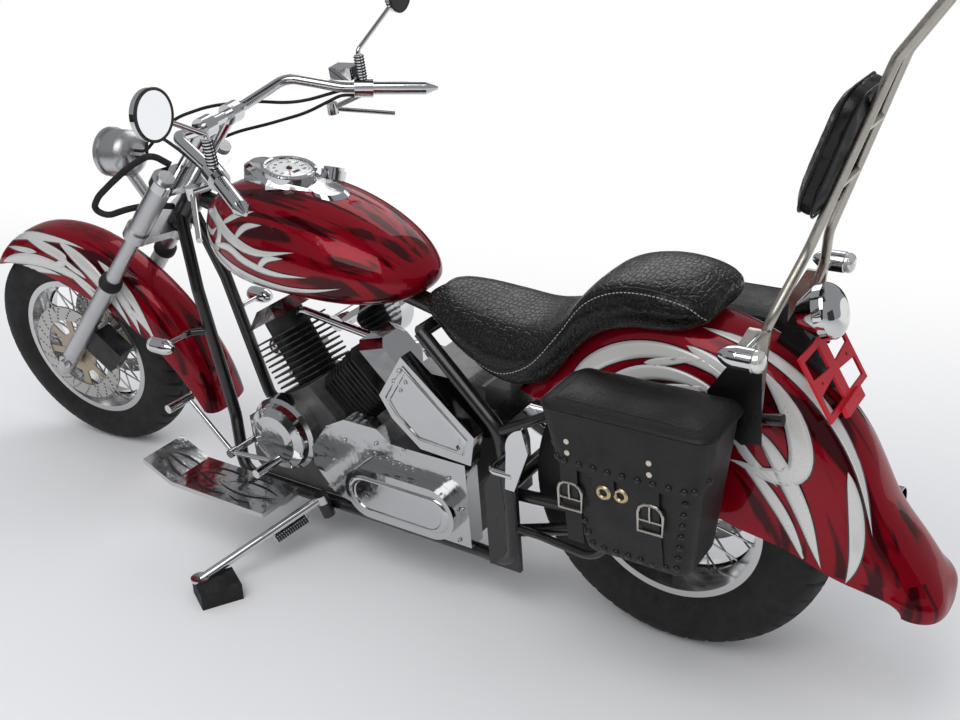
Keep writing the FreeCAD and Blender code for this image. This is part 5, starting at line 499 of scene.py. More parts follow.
HIDE = leather("reptile_leather", (0.005, 0.005, 0.0055), True, 95, 0.0010, 0.22, 0.36)
SMOOTH_LEATHER = leather("smooth_leather", (0.004, 0.004, 0.0045), False, 420, 0.0005, 0.26, 0.42)
BAG_LEATHER = leather("bag_leather", (0.006, 0.006, 0.0065), False, 300, 0.0008, 0.36, 0.55)


# %% [markdown]
# ## Brake steel
# A brake disc is turned on a lathe and then rubbed by its pads, so it has fine rings about its
# axle. One-dimensional noise over the distance from the axle gives them, and the carrier in the
# middle of the disc has its own colour.

# %% Brake steel, turned on a lathe
BRAKE_STEEL = (0.50, 0.49, 0.47)


def turned_steel(name, wheel, inner_radius, inner_colour):
    """Steel with fine rings about the axle, and the carrier inside it in its own colour."""
    material, tree, shader, place = finish(name, BRAKE_STEEL, 0.3, metallic=1.0)
    radius = from_axle(tree, seen_from(tree, place, wheel))
    rings = put(tree, "ShaderNodeTexNoise", {"W": radius, "Scale": 900, "Detail": 3}, noise_dimensions="1D")
    outside = put(tree, "ShaderNodeMath", {0: radius, 1: inner_radius}, operation="GREATER_THAN")
    tone = tinted(tree, outside.outputs[0], inner_colour, BRAKE_STEEL)
    tree.links.new(tone, shader.inputs["Base Color"])
    bump(tree, shader, rings.outputs[0], 0.4, 0.0003)
    tree.links.new(use(tree, SMUDGES, Vector=place, Size=30, Low=0.22, High=0.42)["Roughness"],
                   shader.inputs["Roughness"])
    return material


FRONT_DISC = turned_steel("front_disc_steel", FRONT_WHEEL, 0.1065, (0.42, 0.36, 0.27))
REAR_DISC = turned_steel("rear_disc_steel", REAR_WHEEL, 0.0955, (0.3, 0.3, 0.3))

# %% [markdown]
# ## Dressing the solids
# Most solids keep their own shape and only need their finish. Each finish lists its solids here,
# so that one glance shows what the machine is made of.

# %% Give every solid its finish
FINISHES = {
    CHROME: "handlebar risers upper_clamp grips hand_controls gauge fuel_cap tail_lamp turn_signals exhaust "
            "air_cleaner side_stand foot_levers passenger_pegs mirrors",
    CAST_CHROME: "front_head_cover rear_head_cover generator_cover gear_cover capsule_cover clutch_cover "
                 "side_covers floorboards",
    SATIN: "fork_legs lower_clamp headlight front_axle rear_axle",
    SPOKE_STEEL: "front_wheel rear_wheel",
    GLOSS_BLACK: "frame swing_arm rear_brackets battery_box",
    ENGINE_BLACK: "front_cylinder rear_cylinder final_drive front_calipers rear_caliper",
    CASE_GREY: "crankcase",
    RUBBER: "front_tyre rear_tyre stand_block hoses",
    CANDY_TANK: "fuel_tank", CANDY_FRONT: "front_fender", CANDY_REAR: "rear_fender",
    HIDE: "seat", SMOOTH_LEATHER: "backrest_pad", BAG_LEATHER: "saddlebags bag_lid_left bag_lid_right",
    FRONT_DISC: "front_discs", REAR_DISC: "rear_disc",
    NICKEL: "sissy_bar", RED_ANODISED: "plate_frame",
}
for material, names in FINISHES.items():
    for name in names.split():
        NODES[name].data.materials.clear()
        NODES[name].data.materials.append(material)
print("without a finish:", [n for n in NODES if NODES[n].data.materials[0] not in FINISHES])

# %% [markdown]
# ## Tools for making pieces
# A finished piece keeps its object at the origin, with its place in its mesh, as the solids have.
# So every helper below builds in a handy frame, in millimetres, and moves the points, not the
# object. What repeats is left to Geometry Nodes: one small template, placed many times.


# %% Meshes, lathes and tubes
def settle(thing, body, material=None, replaces=()):
    """Give a finished object its material and let it ride on its body."""
    if material:
        thing.data.materials.clear()
        thing.data.materials.append(material)
    if replaces:
        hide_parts(*replaces)
    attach(thing, body)
    return thing


WELD = 1e-6


def cleaned(mesh, source=None, weld=True, outwards=True):
    """A mesh, or a copy of another in it, with its doubles merged and its faces turned outwards."""
    work = bmesh.new()
    work.from_mesh(source or mesh)
    if weld:
        bmesh.ops.remove_doubles(work, verts=work.verts, dist=WELD)
    if outwards:
        bmesh.ops.recalc_face_normals(work, faces=work.faces)
    work.to_mesh(mesh)
    work.free()
    return mesh


def shade(mesh, smooth=True):
    """Shade every face of a mesh smoothly, or flat."""
    mesh.polygons.foreach_set("use_smooth", [smooth] * len(mesh.polygons))


def shaped(name, verts, faces, frame=BIKE, smooth=True):
    """An object from points in a frame, welded, with its faces pointing outwards."""
    mesh = bpy.data.meshes.new(name)
    mesh.from_pydata([frame @ Vector(v) for v in verts], [], faces)
    shade(cleaned(mesh), smooth)
    return as_object(name, mesh)


def stand_on(point, way):
    """A matrix that carries +Z to a direction at a point."""
    return Matrix.Translation(point) @ Vector(way).to_track_quat("Z", "Y").to_matrix().to_4x4()


def grid_faces(rows, columns, close_rows=False, close_columns=False):
    """The quads of a grid of points, row by row."""
    faces = []
    for i in range(rows - (not close_rows)):
        for j in range(columns - (not close_columns)):
            a, b = i % rows, (i + 1) % rows
            c, d = j % columns, (j + 1) % columns
            faces.append((a * columns + c, a * columns + d, b * columns + d, b * columns + c))
    return faces


SHARP_EDGE = math.radians(38)


class Build:
    """Collects points and faces of several simple forms into one piece."""

    def __init__(self):
        self.verts, self.faces = [], []

    def add(self, verts, faces, matrix=Matrix()):
        """Add points and faces, placed by a matrix."""
        start = len(self.verts)
        self.verts += [matrix @ Vector(v) for v in verts]
        self.faces += [tuple(start + k for k in face) for face in faces]
        return self

    def lathe(self, profile, matrix=Matrix(), steps=32):
        """Turn a profile of (radius, height) about the local Z."""
        verts = [(r * math.cos(a), r * math.sin(a), h) for r, h in profile
                 for a in (2 * math.pi * k / steps for k in range(steps))]
        return self.add(verts, grid_faces(len(profile), steps, close_columns=True), matrix)

    def tube(self, points, radius, steps=12, close=False):
        """A round tube along points, with even rings and flat ends."""
        points = [Vector(p) for p in points]
        verts, side = [], None
        count = len(points)
        for k, point in enumerate(points):
            before, after = points[max(k - 1, 0)], points[min(k + 1, count - 1)]
            if close:
                before, after = points[k - 1], points[(k + 1) % count]
            way = (after - before).normalized()
            side = way.orthogonal() if side is None else side - way * side.dot(way)
            side.normalize()
            other = way.cross(side)
            r = radius[k] if isinstance(radius, (list, tuple)) else radius
            verts += [point + (side * math.cos(a) + other * math.sin(a)) * r
                      for a in (2 * math.pi * j / steps for j in range(steps))]
        faces = grid_faces(count, steps, close, True)
        if not close:
            faces += [tuple(range(steps))[::-1], tuple((count - 1) * steps + j for j in range(steps))]
        return self.add(verts, faces)

    def slab(self, outline, low, high, matrix=Matrix()):
        """A flat plate from an outline in local X and Y."""
        n = len(outline)
        verts = [(x, y, low) for x, y in outline] + [(x, y, high) for x, y in outline]
        faces = [tuple(range(n))[::-1], tuple(range(n, 2 * n))]
        faces += [(k, (k + 1) % n, n + (k + 1) % n, n + k) for k in range(n)]
        return self.add(verts, faces, matrix)

    def loft(self, rings):
        """A closed form through rings of as many points each, with its two ends capped."""
        n = len(rings[0])
        self.add([p for ring in rings for p in ring], grid_faces(len(rings), n, close_columns=True))
        return self.add(rings[0], [tuple(range(n))]).add(rings[-1], [tuple(range(n))])

    def done(self, name, frame=BIKE, smooth=True):
        """The piece as an object, with the edges between its facets kept sharp."""
        thing = shaped(name, self.verts, self.faces, frame, smooth)
        if smooth:
            thing.data.set_sharp_from_angle(angle=SHARP_EDGE)
        return thing


def spline(points, steps):
    """Points on a smooth line through the given ones."""
    points = [Vector(p) for p in points]
    ends = [points[0] * 2 - points[1]] + points + [points[-1] * 2 - points[-2]]
    line = []
    for k in range(len(points) - 1):
        a, b, c, d = ends[k:k + 4]
        for j in range(steps):
            t = j / steps
            line.append(0.5 * (2 * b + (c - a) * t + (2 * a - 5 * b + 4 * c - d) * t * t
                               + (3 * b - a - 3 * c + d) * t ** 3))
    return line + [points[-1]]


# %% Geometry trees: one to scatter, one to repeat round an axle, one to stitch along a line
def node_tree(name, inputs):
    """A geometry tree with named inputs after its geometry."""
    tree = bpy.data.node_groups.new(name, "GeometryNodeTree")
    tree.interface.new_socket("Geometry", in_out="INPUT", socket_type="NodeSocketGeometry")
    tree.interface.new_socket("Geometry", in_out="OUTPUT", socket_type="NodeSocketGeometry")
    for label, kind in inputs:
        tree.interface.new_socket(label, in_out="INPUT", socket_type="NodeSocket" + kind)
    return tree, tree.nodes.new("NodeGroupInput").outputs, tree.nodes.new("NodeGroupOutput").inputs


def put_out(tree, geometry, material, out):
    """End a tree: its geometry gets the material and goes out."""
    ready = put(tree, "GeometryNodeSetMaterial", {"Geometry": geometry, "Material": material})
    tree.links.new(ready.outputs[0], out[0])
    return tree


def scatter_tree():
    """A template on every point, turned to the point's own direction."""
    tree, given, out = node_tree("scatter_on_points", [("Template", "Object"), ("Material", "Material")])
    template = put(tree, "GeometryNodeObjectInfo", {"Object": given["Template"]})
    aim = put(tree, "GeometryNodeInputNamedAttribute", {"Name": "aim"}, data_type="FLOAT_VECTOR")
    turn = put(tree, "FunctionNodeAlignRotationToVector", {"Vector": aim.outputs[0]}, axis="Z")
    placed = put(tree, "GeometryNodeInstanceOnPoints", {"Points": given["Geometry"],
                                                        "Instance": template.outputs["Geometry"],
                                                        "Rotation": turn.outputs[0]})
    real = put(tree, "GeometryNodeRealizeInstances", {0: placed.outputs[0]})
    return put_out(tree, real.outputs[0], given["Material"], out)


def ring_tree():
    """The piece itself, repeated round the Y axis and welded."""
    tree, given, out = node_tree("repeat_round_axle", [("Count", "Int"), ("Material", "Material")])
    points = put(tree, "GeometryNodePoints", {"Count": given["Count"]})
    share = put(tree, "ShaderNodeMath", {0: 2 * math.pi, 1: given["Count"]}, operation="DIVIDE")
    index = put(tree, "GeometryNodeInputIndex")
    angle = put(tree, "ShaderNodeMath", {0: index.outputs[0], 1: share.outputs[0]}, operation="MULTIPLY")
    turn = put(tree, "ShaderNodeCombineXYZ", {"Y": angle.outputs[0]})
    placed = put(tree, "GeometryNodeInstanceOnPoints", {"Points": points.outputs[0],
                                                        "Instance": given["Geometry"],
                                                        "Rotation": turn.outputs[0]})
    real = put(tree, "GeometryNodeRealizeInstances", {0: placed.outputs[0]})
    merged = put(tree, "GeometryNodeMergeByDistance", {"Geometry": real.outputs[0], "Distance": 0.05})
    return put_out(tree, merged.outputs[0], given["Material"], out)


def stitch_tree():
    """A template at even steps along a line of edges, turned along it."""
    tree, given, out = node_tree("stitch_along_line", [("Template", "Object"), ("Step", "Float"),
                                                       ("Material", "Material")])
    line = put(tree, "GeometryNodeMeshToCurve", {0: given["Geometry"]})
    even = put(tree, "GeometryNodeResampleCurve", {"Curve": line.outputs[0], "Length": given["Step"]},
               mode="LENGTH")
    tangent = put(tree, "GeometryNodeInputTangent")
    turn = put(tree, "FunctionNodeAlignRotationToVector", {"Vector": tangent.outputs[0]}, axis="Z")
    template = put(tree, "GeometryNodeObjectInfo", {"Object": given["Template"]})
    placed = put(tree, "GeometryNodeInstanceOnPoints", {"Points": even.outputs[0],
                                                        "Instance": template.outputs["Geometry"],
                                                        "Rotation": turn.outputs[0]})
    real = put(tree, "GeometryNodeRealizeInstances", {0: placed.outputs[0]})
    return put_out(tree, real.outputs[0], given["Material"], out)


SCATTER, RING, STITCH = scatter_tree(), ring_tree(), stitch_tree()


def grown(thing, tree, **inputs):
    """Run a geometry tree on an object, keep the result as a plain mesh and drop the modifier."""
    modifier = thing.modifiers.new(tree.name, "NODES")
    modifier.node_group = tree
    for socket in tree.interface.items_tree:
        if socket.in_out == "INPUT" and socket.name in inputs:
            modifier[socket.identifier] = inputs[socket.name]
    return baked(thing)


def baked(thing):
    """Replace an object's mesh by what its modifiers make of it."""
    bpy.context.view_layer.update()
    ready = thing.evaluated_get(bpy.context.evaluated_depsgraph_get())
    mesh = bpy.data.meshes.new_from_object(ready)
    thing.modifiers.clear()
    thing.data = mesh
    return thing


def template(build, name):
    """A small hidden form for the trees to copy, in metres at the origin."""
    thing = build.done(name, Matrix.Scale(MILLIMETRE, 4))
    thing.hide_render = thing.hide_viewport = True
    return thing


def scattered(name, kind, spots, material, body, frame=BIKE):
    """One piece of many like parts: spots are (point, direction) pairs in a frame."""
    mesh = bpy.data.meshes.new(name)
    mesh.from_pydata([frame @ Vector(p) for p, _ in spots], [], [])
    aims = mesh.attributes.new("aim", "FLOAT_VECTOR", "POINT")
    turn = frame.to_3x3()
    for k, (_, way) in enumerate(spots):
        aims.data[k].vector = (turn @ Vector(way)).normalized()
    thing = grown(as_object(name, mesh), SCATTER, Template=TEMPLATES[kind], Material=material)
    return settle(thing, body, None)


PROFILES = {
    "cap": (12, [(0, -1), (5.2, -1), (5.2, 4.2), (4.6, 5.0), (2.7, 5.0), (2.5, 2.4), (0, 2.4)]),
    "stud": (14, [(0, -1), (6.6, -1), (6.8, 0.7), (5.4, 3.4), (3.0, 4.8), (0, 5.1)]),
    "rivet": (12, [(0, -1), (5.4, -1), (5.4, 0.6), (4.0, 1.6), (0, 2.0)]),
    "stitch": (6, [(0, -2.2), (0.5, -1.7), (0.62, 0), (0.5, 1.7), (0, 2.2)]),
    "seam": (6, [(0, -3.1), (0.8, -2.4), (0.95, 0), (0.8, 2.4), (0, 3.1)]),
}
TEMPLATES = {kind: template(Build().lathe(profile, steps=steps), kind)
             for kind, (steps, profile) in PROFILES.items()}
print("small forms to repeat:", ", ".join(TEMPLATES))

# %% [markdown]
# ## Tyres
# Rubber tread is a ring of blocks parted by grooves. One pitch of it is modelled as a fine grid
# whose points sink where a groove runs, and the ring tree repeats that pitch round the axle. The
# grooves are real geometry, so they also show in the tyre's outline.


# %% Tread
GROOVE = 4.6
SHOULDER, CENTRE_RIB = 0.93, {"front": 0.24, "rear": 0.20}
ROUND_GROOVE, SLANT_GROOVE, SIPE = 2.6, 0.085, 0.07
TREAD_GRID = 3.4
TREAD_EDGE = math.radians(50)


def groove_depth(kind, u, y, half):
    """How far a tread point sinks, from its share of a pitch and its place across."""
    v = abs(y) / half
    if v > SHOULDER:
        return 0
    middle = abs(abs(v - CENTRE_RIB[kind]) - 0.02 * math.sin(2 * math.pi * u)) * half
    deep = max(0, 1 - middle / ROUND_GROOVE)
    slant = 0.15 + 0.55 * (v - 0.3) + (0.0 if y > 0 else 0.5)
    for lane in (slant, slant + 1, slant - 1):
        if v > 0.30:
            deep = max(deep, 1 - abs(u - lane) / SLANT_GROOVE)
    if v < 0.16 and kind == "rear":
        deep = max(deep, 1 - abs(u - 0.5 - y / half) / SIPE)
    steep = min(1, deep * 2.2)
    return GROOVE * steep * steep * (3 - 2 * steep)


def treaded_tyre(name, kind, profile, half, pitches, frame, body, node, along=14):
    """A closed tyre from a half profile of (radius, half width), repeated round the axle.

    Half is half the tread's width, and along is how many steps of the grid make one pitch.
    """
    half_line = [Vector((r, y, 0)) for r, y in profile]
    line = spline(half_line, 6)
    fine = []
    for a, b in zip(line, line[1:]):
        parts = max(1, round((b - a).length / TREAD_GRID)) if a.x > profile[-1][0] * 0.91 else 1
        fine += [a.lerp(b, k / parts) for k in range(parts)]
    fine.append(line[-1])
    outer = [(p.x, p.y) for p in fine] + [(p.x, -p.y) for p in fine[-2::-1]]
    wall = [(max(r - 9, profile[0][0]), y * 0.86) for r, y in outer][::-4]
    ring = outer + wall
    verts = []
    for j in range(along + 1):
        angle = 2 * math.pi / pitches * j / along
        for k, (r, y) in enumerate(ring):
            if k < len(outer) and r > profile[-1][0] * 0.915:
                r -= groove_depth(kind, j / along, y, half)
            elif k < len(outer) and abs(r - profile[3][0]) < 1.8:
                y *= 1.008
            verts.append((r * math.cos(angle), y, -r * math.sin(angle)))
    mesh = bpy.data.meshes.new(name)
    mesh.from_pydata(verts, [], grid_faces(along + 1, len(ring), close_columns=True))
    tyre = grown(as_object(name, mesh), RING, Count=pitches, Material=RUBBER)
    tyre.data.transform(frame)
    shade(cleaned(tyre.data, weld=False))
    tyre.data.set_sharp_from_angle(angle=TREAD_EDGE)
    print(name, len(tyre.data.polygons), "faces")
    return settle(tyre, body, None, [node])


FRONT_TYRE = [(203.4, 43.5), (217, 50), (238, 61.5), (262, 64.6), (284, 61), (303, 52), (313, 37),
              (318.4, 19), (320, 0)]
REAR_TYRE = [(190.4, 59.5), (204, 67), (228, 79.5), (256, 83.6), (283, 79.5), (304.5, 69), (317, 50),
             (324, 26), (326.5, 0)]
treaded_tyre("front_tyre_tread", "front", FRONT_TYRE, 60, 44, FRONT_WHEEL, "front_wheel_set", "front_tyre")
treaded_tyre("rear_tyre_tread", "rear", REAR_TYRE, 78, 42, REAR_WHEEL, "rear_wheel_set", "rear_tyre")

# %% [markdown]
# ## Drilled brake discs
# The holes lighten and cool the disc. They are cut for real: rows of pins stand through the band,
# each row a little slanted, and a Boolean takes them out of a welded copy of the solid.


# %% Drill the discs
HOLES_PER_ROW = 4
HOLE_RADIUS, PIN_LENGTH, PIN_BEHIND = 3.4, 20, 12


def drilled(name, node, material, frame, body, radii, face, sides, rows):
    """A welded copy of a disc solid with rows of holes through its band."""
    disc = as_object(name, cleaned(bpy.data.meshes.new(name), NODES[node].data, outwards=False))
    pins = Build()
    profile = [(0, 0), (HOLE_RADIUS, 0), (HOLE_RADIUS, PIN_LENGTH), (0, PIN_LENGTH)]
    for side in sides:
        for k in range(rows):
            for j in range(HOLES_PER_ROW):
                share = j / (HOLES_PER_ROW - 1)
                radius = radii[0] + (radii[1] - radii[0]) * share
                angle = 2 * math.pi * (k + 0.55 * share) / rows
                x, y, z = radius * math.cos(angle), side * (face - PIN_BEHIND), radius * math.sin(angle)
                pins.lathe(profile, stand_on(Vector((x, y, z)), (0, side, 0)), 10)
    pin = pins.done(name + "_pins", frame, False)
    cut = disc.modifiers.new("holes", "BOOLEAN")
    cut.object, cut.operation, cut.solver = pin, "DIFFERENCE", "EXACT"
    baked(disc)
    bpy.data.objects.remove(pin)
    print(name, len(disc.data.polygons), "faces")
    return settle(disc, body, material, [node])


drilled("front_discs_drilled", "front_discs", FRONT_DISC, FRONT_WHEEL, "front_wheel_set", (114, 143), 78.5,
        (1, -1), 20)
drilled("rear_disc_drilled", "rear_disc", REAR_DISC, REAR_WHEEL, "rear_wheel_set", (103, 134), 77, (-1,), 18)

# %% [markdown]
# ## Painted bands
# The silver blades on the bodywork are paint, so they must lie on the skin whatever its curve. A
# blade is drawn as a few points on a panel's own map: a place along the panel and an angle round
# it. Rays find the skin there, and each cross row of the blade is dropped onto the skin again, so
# its width is true. A slightly wider dark blade below gives each its outline.

# %% Maps of the panels
RAY_START = 400


def skin_of(thing):
    """A search tree of an object's faces."""
    mesh = thing.data
    return BVHTree.FromPolygons([v.co for v in mesh.vertices], [p.vertices for p in mesh.polygons])


def round_fender(wheel, radius):
    """A map of degrees round the axle, and degrees from the crown towards the left flank."""
    def ray(u, turn):
        along, over = math.radians(u), math.radians(turn)
        out = Vector((math.cos(along), 0, math.sin(along)))
        way = out * math.cos(over) + Vector((0, math.sin(over), 0))
        return wheel @ (out * radius + way * RAY_START), -(wheel.to_3x3() @ way).normalized()
    return ray


def along_tank(x, turn):
    """A map of millimetres along the tank, and degrees from its top towards the left."""
    over = math.radians(turn)
    way = Vector((0, math.sin(over), math.cos(over)))
    return BIKE @ (Vector((x, 0, TANK_MIDDLE.z)) + way * RAY_START), -(BIKE.to_3x3() @ way).normalized()


BLADE_WIDTH = 1.4
BLADE_COLUMNS = 5
PAINT_THICKNESS = 0.25


def blade(build, skin, ray, points, width, lift, mirror, grow=0.0):
    """Add one pointed, curved blade to a build: its middle line by rays, then each cross row."""
    hits = []
    for p in spline([(u, turn * mirror, 0) for u, turn in points], 9):
        spot, normal, _, _ = skin.ray_cast(*ray(p.x, p.y), 1.0)
        if spot:
            hits.append((spot, normal))
    n = len(hits)
    if n < 6:
        return
    points_on_skin = []
    for k, (spot, normal) in enumerate(hits):
        way = (hits[min(k + 2, n - 1)][0] - hits[max(k - 2, 0)][0]).normalized()
        side = normal.cross(way).normalized()
        t = k / (n - 1)
        swell = (t ** 0.8 * (1 - t) ** 1.15) / 0.33
        half = (width * BLADE_WIDTH * min(swell, 1.15) + grow * min(1, 12 * t * (1 - t))) * MILLIMETRE / 2
        for j in range(-2, 3):
            start = spot + side * half * j / 2 + normal * 0.05
            down, face, _, _ = skin.ray_cast(start, -normal, 0.12)
            points_on_skin.append((down or spot) + (face if down else normal) * lift * MILLIMETRE)
    build.add(points_on_skin, grid_faces(n, BLADE_COLUMNS))


def bands(name, node, ray, blades, body):
    """Silver blades and their dark outlines on both sides of one panel."""
    skin = skin_of(NODES[node])
    for word, grow, lift, material in (("outline", 5.0, 0.35, BAND_EDGE), ("silver", 0.0, 0.7, BAND_SILVER)):
        build = Build()
        for points, width in blades:
            for mirror in (1, -1):
                blade(build, skin, ray, points, width, lift, mirror, grow)
        mesh = bpy.data.meshes.new(name + "_" + word)
        mesh.from_pydata(build.verts, [], build.faces)
        thing = as_object(name + "_" + word, mesh)
        thicken = thing.modifiers.new("shell", "SOLIDIFY")
        thicken.thickness, thicken.offset = PAINT_THICKNESS * MILLIMETRE, -1
        baked(thing)
        shade(thing.data)
        print(thing.name, len(thing.data.polygons), "faces")
        settle(thing, body, material)


BAND_SILVER = smudged("band_silver", (0.64, 0.63, 0.61), 0.26, 0.32, size=8, metallic=0.15, coat=1.0)
BAND_EDGE = smudged("band_edge", (0.012, 0.001, 0.002), 0.25, 0.35, metallic=0.2, coat=1.0)

# %% Where the blades run, as the points of each and its width
TANK_BLADES = [
    ([(1218, 66), (1150, 96), (1040, 108), (900, 113), (740, 106)], 30),
    ([(1205, 50), (1130, 60), (1050, 76), (960, 84), (850, 79)], 24),
    ([(1150, 48), (1096, 72), (1120, 92), (1185, 98)], 20),
    ([(1130, 90), (1060, 86), (1000, 94), (920, 99), (820, 98)], 20),
    ([(1034, 78), (1000, 66), (950, 62)], 14), ([(965, 99), (930, 88), (880, 85)], 13),
    ([(1212, 86), (1170, 110), (1090, 122)], 18), ([(1080, 102), (1030, 118), (930, 124)], 14),
    ([(1085, 66), (1040, 58), (985, 52)], 13), ([(1175, 72), (1140, 78), (1105, 70)], 12),
]
FRONT_BLADES = [
    ([(54, 62), (76, 82), (102, 96), (132, 101)], 30),
    ([(70, 24), (88, 56), (102, 72), (97, 90), (82, 94)], 24),
    ([(98, 44), (120, 68), (142, 88), (166, 97)], 32), ([(128, 58), (148, 72), (168, 85), (188, 88)], 26),
    ([(108, 102), (128, 112), (152, 113)], 18), ([(150, 101), (170, 105), (190, 98)], 16),
    ([(54, 12), (70, 30), (90, 41), (112, 38)], 22), ([(120, 42), (138, 50), (158, 57), (180, 56)], 20),
    ([(64, 88), (80, 104), (100, 109)], 16), ([(140, 76), (152, 62), (166, 54)], 14),
    ([(84, 70), (74, 62), (62, 44)], 13), ([(118, 88), (106, 80), (98, 60)], 14),
]
REAR_BLADES = [
    ([(50, 104), (60, 76), (78, 60), (98, 57), (116, 66)], 32),
    ([(56, 122), (70, 96), (86, 81), (102, 79), (120, 86)], 26),
    ([(74, 94), (88, 98), (98, 90), (113, 71)], 20), ([(96, 46), (111, 60), (123, 80), (128, 102)], 32),
    ([(116, 36), (133, 56), (144, 82), (140, 108), (126, 124)], 38),
    ([(124, 86), (146, 95), (168, 92), (186, 78)], 28), ([(130, 118), (152, 114), (172, 104), (186, 90)], 20),
    ([(150, 40), (165, 50), (177, 60), (186, 68)], 24),
    ([(118, 104), (132, 111), (146, 106)], 16), ([(104, 90), (117, 102), (122, 120)], 18),
    ([(98, 26), (120, 22), (144, 28), (168, 40)], 20), ([(84, 72), (92, 66), (104, 50)], 14),
]
bands("tank_bands", "fuel_tank", along_tank, TANK_BLADES, "chassis")
bands("front_fender_bands", "front_fender", round_fender(FRONT_WHEEL, 290), FRONT_BLADES, "front_end")
bands("rear_fender_bands", "rear_fender", round_fender(REAR_WHEEL, 320), REAR_BLADES, "chassis")

# %% [markdown]
# ## Seat and backrest
# A cushion is foam pulled tight under leather: crowned, with its sides drawn in, and never flat.
# The plain form is remeshed evenly, drawn in a little, and blown up by Blender's Cloth with a
# little pressure. No point may move further than a cap, so that it keeps its place. The seat
# starts from its solid, and the backrest's pad from a rounder form, as sharp edges remesh badly.


# %% Blow up a cushion
PRESSURE, BLOWING_STEPS = 4, 20


def blow_up(pad, cap):
    """Swell a pad by cloth pressure, with no point moved further than the cap."""
    start = [v.co.copy() for v in pad.data.vertices]
    scene = bpy.context.scene
    blow = pad.modifiers.new("blow", "CLOTH")
    blow.settings.use_pressure, blow.settings.uniform_pressure_force = True, PRESSURE
    blow.settings.effector_weights.gravity = 0
    blow.settings.quality = 5
    for step in range(1, BLOWING_STEPS + 1):
        scene.frame_set(step)
        bpy.context.view_layer.update()
    ready = pad.evaluated_get(bpy.context.evaluated_depsgraph_get())
    swelled = [v.co.copy() for v in ready.data.vertices]
    pad.modifiers.clear()
    scene.frame_set(1)
    for v, before, after in zip(pad.data.vertices, start, swelled):
        step = after - before
        v.co = before + (step.normalized() * cap if step.length > cap else step)


def cushion(name, node, voxel, draw_in, cap, material, body, form=None):
    source = form.data if form else NODES[node].data
    mesh = cleaned(bpy.data.meshes.new(name), source, outwards=False)
    if form:
        bpy.data.objects.remove(form)
    pad = as_object(name, mesh)
    even = pad.modifiers.new("even", "REMESH")
    even.mode, even.voxel_size = "VOXEL", voxel
    soft = pad.modifiers.new("soft", "SMOOTH")
    soft.factor, soft.iterations = 0.5, 6
    baked(pad)
    for v in pad.data.vertices:
        v.co -= v.normal * draw_in
    blow_up(pad, cap)
    rounder = pad.modifiers.new("round", "SUBSURF")
    rounder.levels = rounder.render_levels = 1
    baked(pad)
    shade(pad.data)
    print(name, len(pad.data.polygons), "faces")
    settle(pad, body, material, [node])
    return pad


def line_mesh(name, points, close=False):
    """A bare line of edges for the stitch tree, in metres."""
    mesh = bpy.data.meshes.new(name)
    n = len(points)
    mesh.from_pydata(points, [(k, (k + 1) % n) for k in range(n if close else n - 1)], [])
    return as_object(name, mesh)


def stitched(name, points, step, material, body, kind="stitch", close=False):
    """Thread stitches along a line."""
    thing = grown(line_mesh(name, points, close), STITCH, Template=TEMPLATES[kind], Step=step * MILLIMETRE,
                  Material=material)
    return settle(thing, body, None)


seat_cushion = cushion("seat_cushion", "seat", 0.0068, 0.004, 0.007, HIDE, "chassis")

PAD_HALF_WIDTH, PAD_HALF_HEIGHT, PAD_CORNER = 90, 114, 44
PAD_LEAN = math.atan2(112, 325)
PAD = BIKE @ Matrix.Rotation(-PAD_LEAN, 4, "Y") @ Matrix.Translation((96.9, 0, 1131.8))


def pad_ring(inset, forward):
    """A rounded oblong across the backrest's lean, as points (forward, side, up)."""
    w, h = PAD_HALF_WIDTH - inset, PAD_HALF_HEIGHT - inset
    r = max(PAD_CORNER - inset * 0.8, 4)
    ring = []
    for sy, sz, a0 in ((1, 1, 0), (-1, 1, 90), (-1, -1, 180), (1, -1, 270)):
        for k in range(9):
            a = math.radians(a0 + 11.25 * k)
            ring.append((forward, sy * (w - r) + r * math.cos(a), sz * (h - r) + r * math.sin(a)))
    return ring


def pad_form():
    """The backrest's foam: a flat back, full sides and a crowned front."""
    levels = [(14, -20), (5, -19), (1, -15), (0, -8), (0, 2), (1, 9), (5, 14), (12, 17.5), (26, 20),
              (48, 21.5), (78, 22)]
    return Build().loft([pad_ring(inset, forward) for inset, forward in levels]).done("pad_form", PAD)


cushion("back_cushion", "backrest_pad", 0.0045, 0.0, 0.005, SMOOTH_LEATHER, "chassis", pad_form())
for word, forward in (("front", 9), ("back", -15)):
    welt = Build().tube(pad_ring(1, forward), 2.4, 8, True).done("pad_welt_" + word, PAD)
    settle(welt, "chassis", SMOOTH_LEATHER)

STUD_BLACK = smudged("stud_black", (0.03, 0.03, 0.03), 0.14, 0.3, metallic=0.6)
CREAM = smudged("cream_rivet", (0.62, 0.57, 0.45), 0.3, 0.5, metallic=0.3)
SIGNAL_LENS = smudged("signal_lens", (0.72, 0.71, 0.68), 0.05, 0.14, size=30, metallic=0.55, coat=1.0)
LAMP_LENS = smudged("lamp_lens", (0.70, 0.72, 0.73), 0.03, 0.1, size=30, metallic=0.6, coat=1.0)
THREAD = smudged("pale_thread", (0.42, 0.40, 0.36), 0.6, 0.8, metallic=0.0)
BLACK_THREAD = smudged("black_thread", (0.03, 0.03, 0.03), 0.5, 0.7, metallic=0.0)

# %% [markdown]
# ## Seams of the seat
# The top panel is sewn to the side panels, with a thin welt in the seam and a pale thread beside
# it. The seam's line is found by rays from the side onto the finished cushion.

# %% Welt and stitches
SEAM = [(-82, 792), (-60, 812), (-20, 824), (45, 828), (105, 817), (160, 784), (205, 722), (258, 655),
        (318, 619), (360, 613), (420, 626), (480, 650), (535, 682), (560, 692)]
seat_skin = skin_of(seat_cushion)


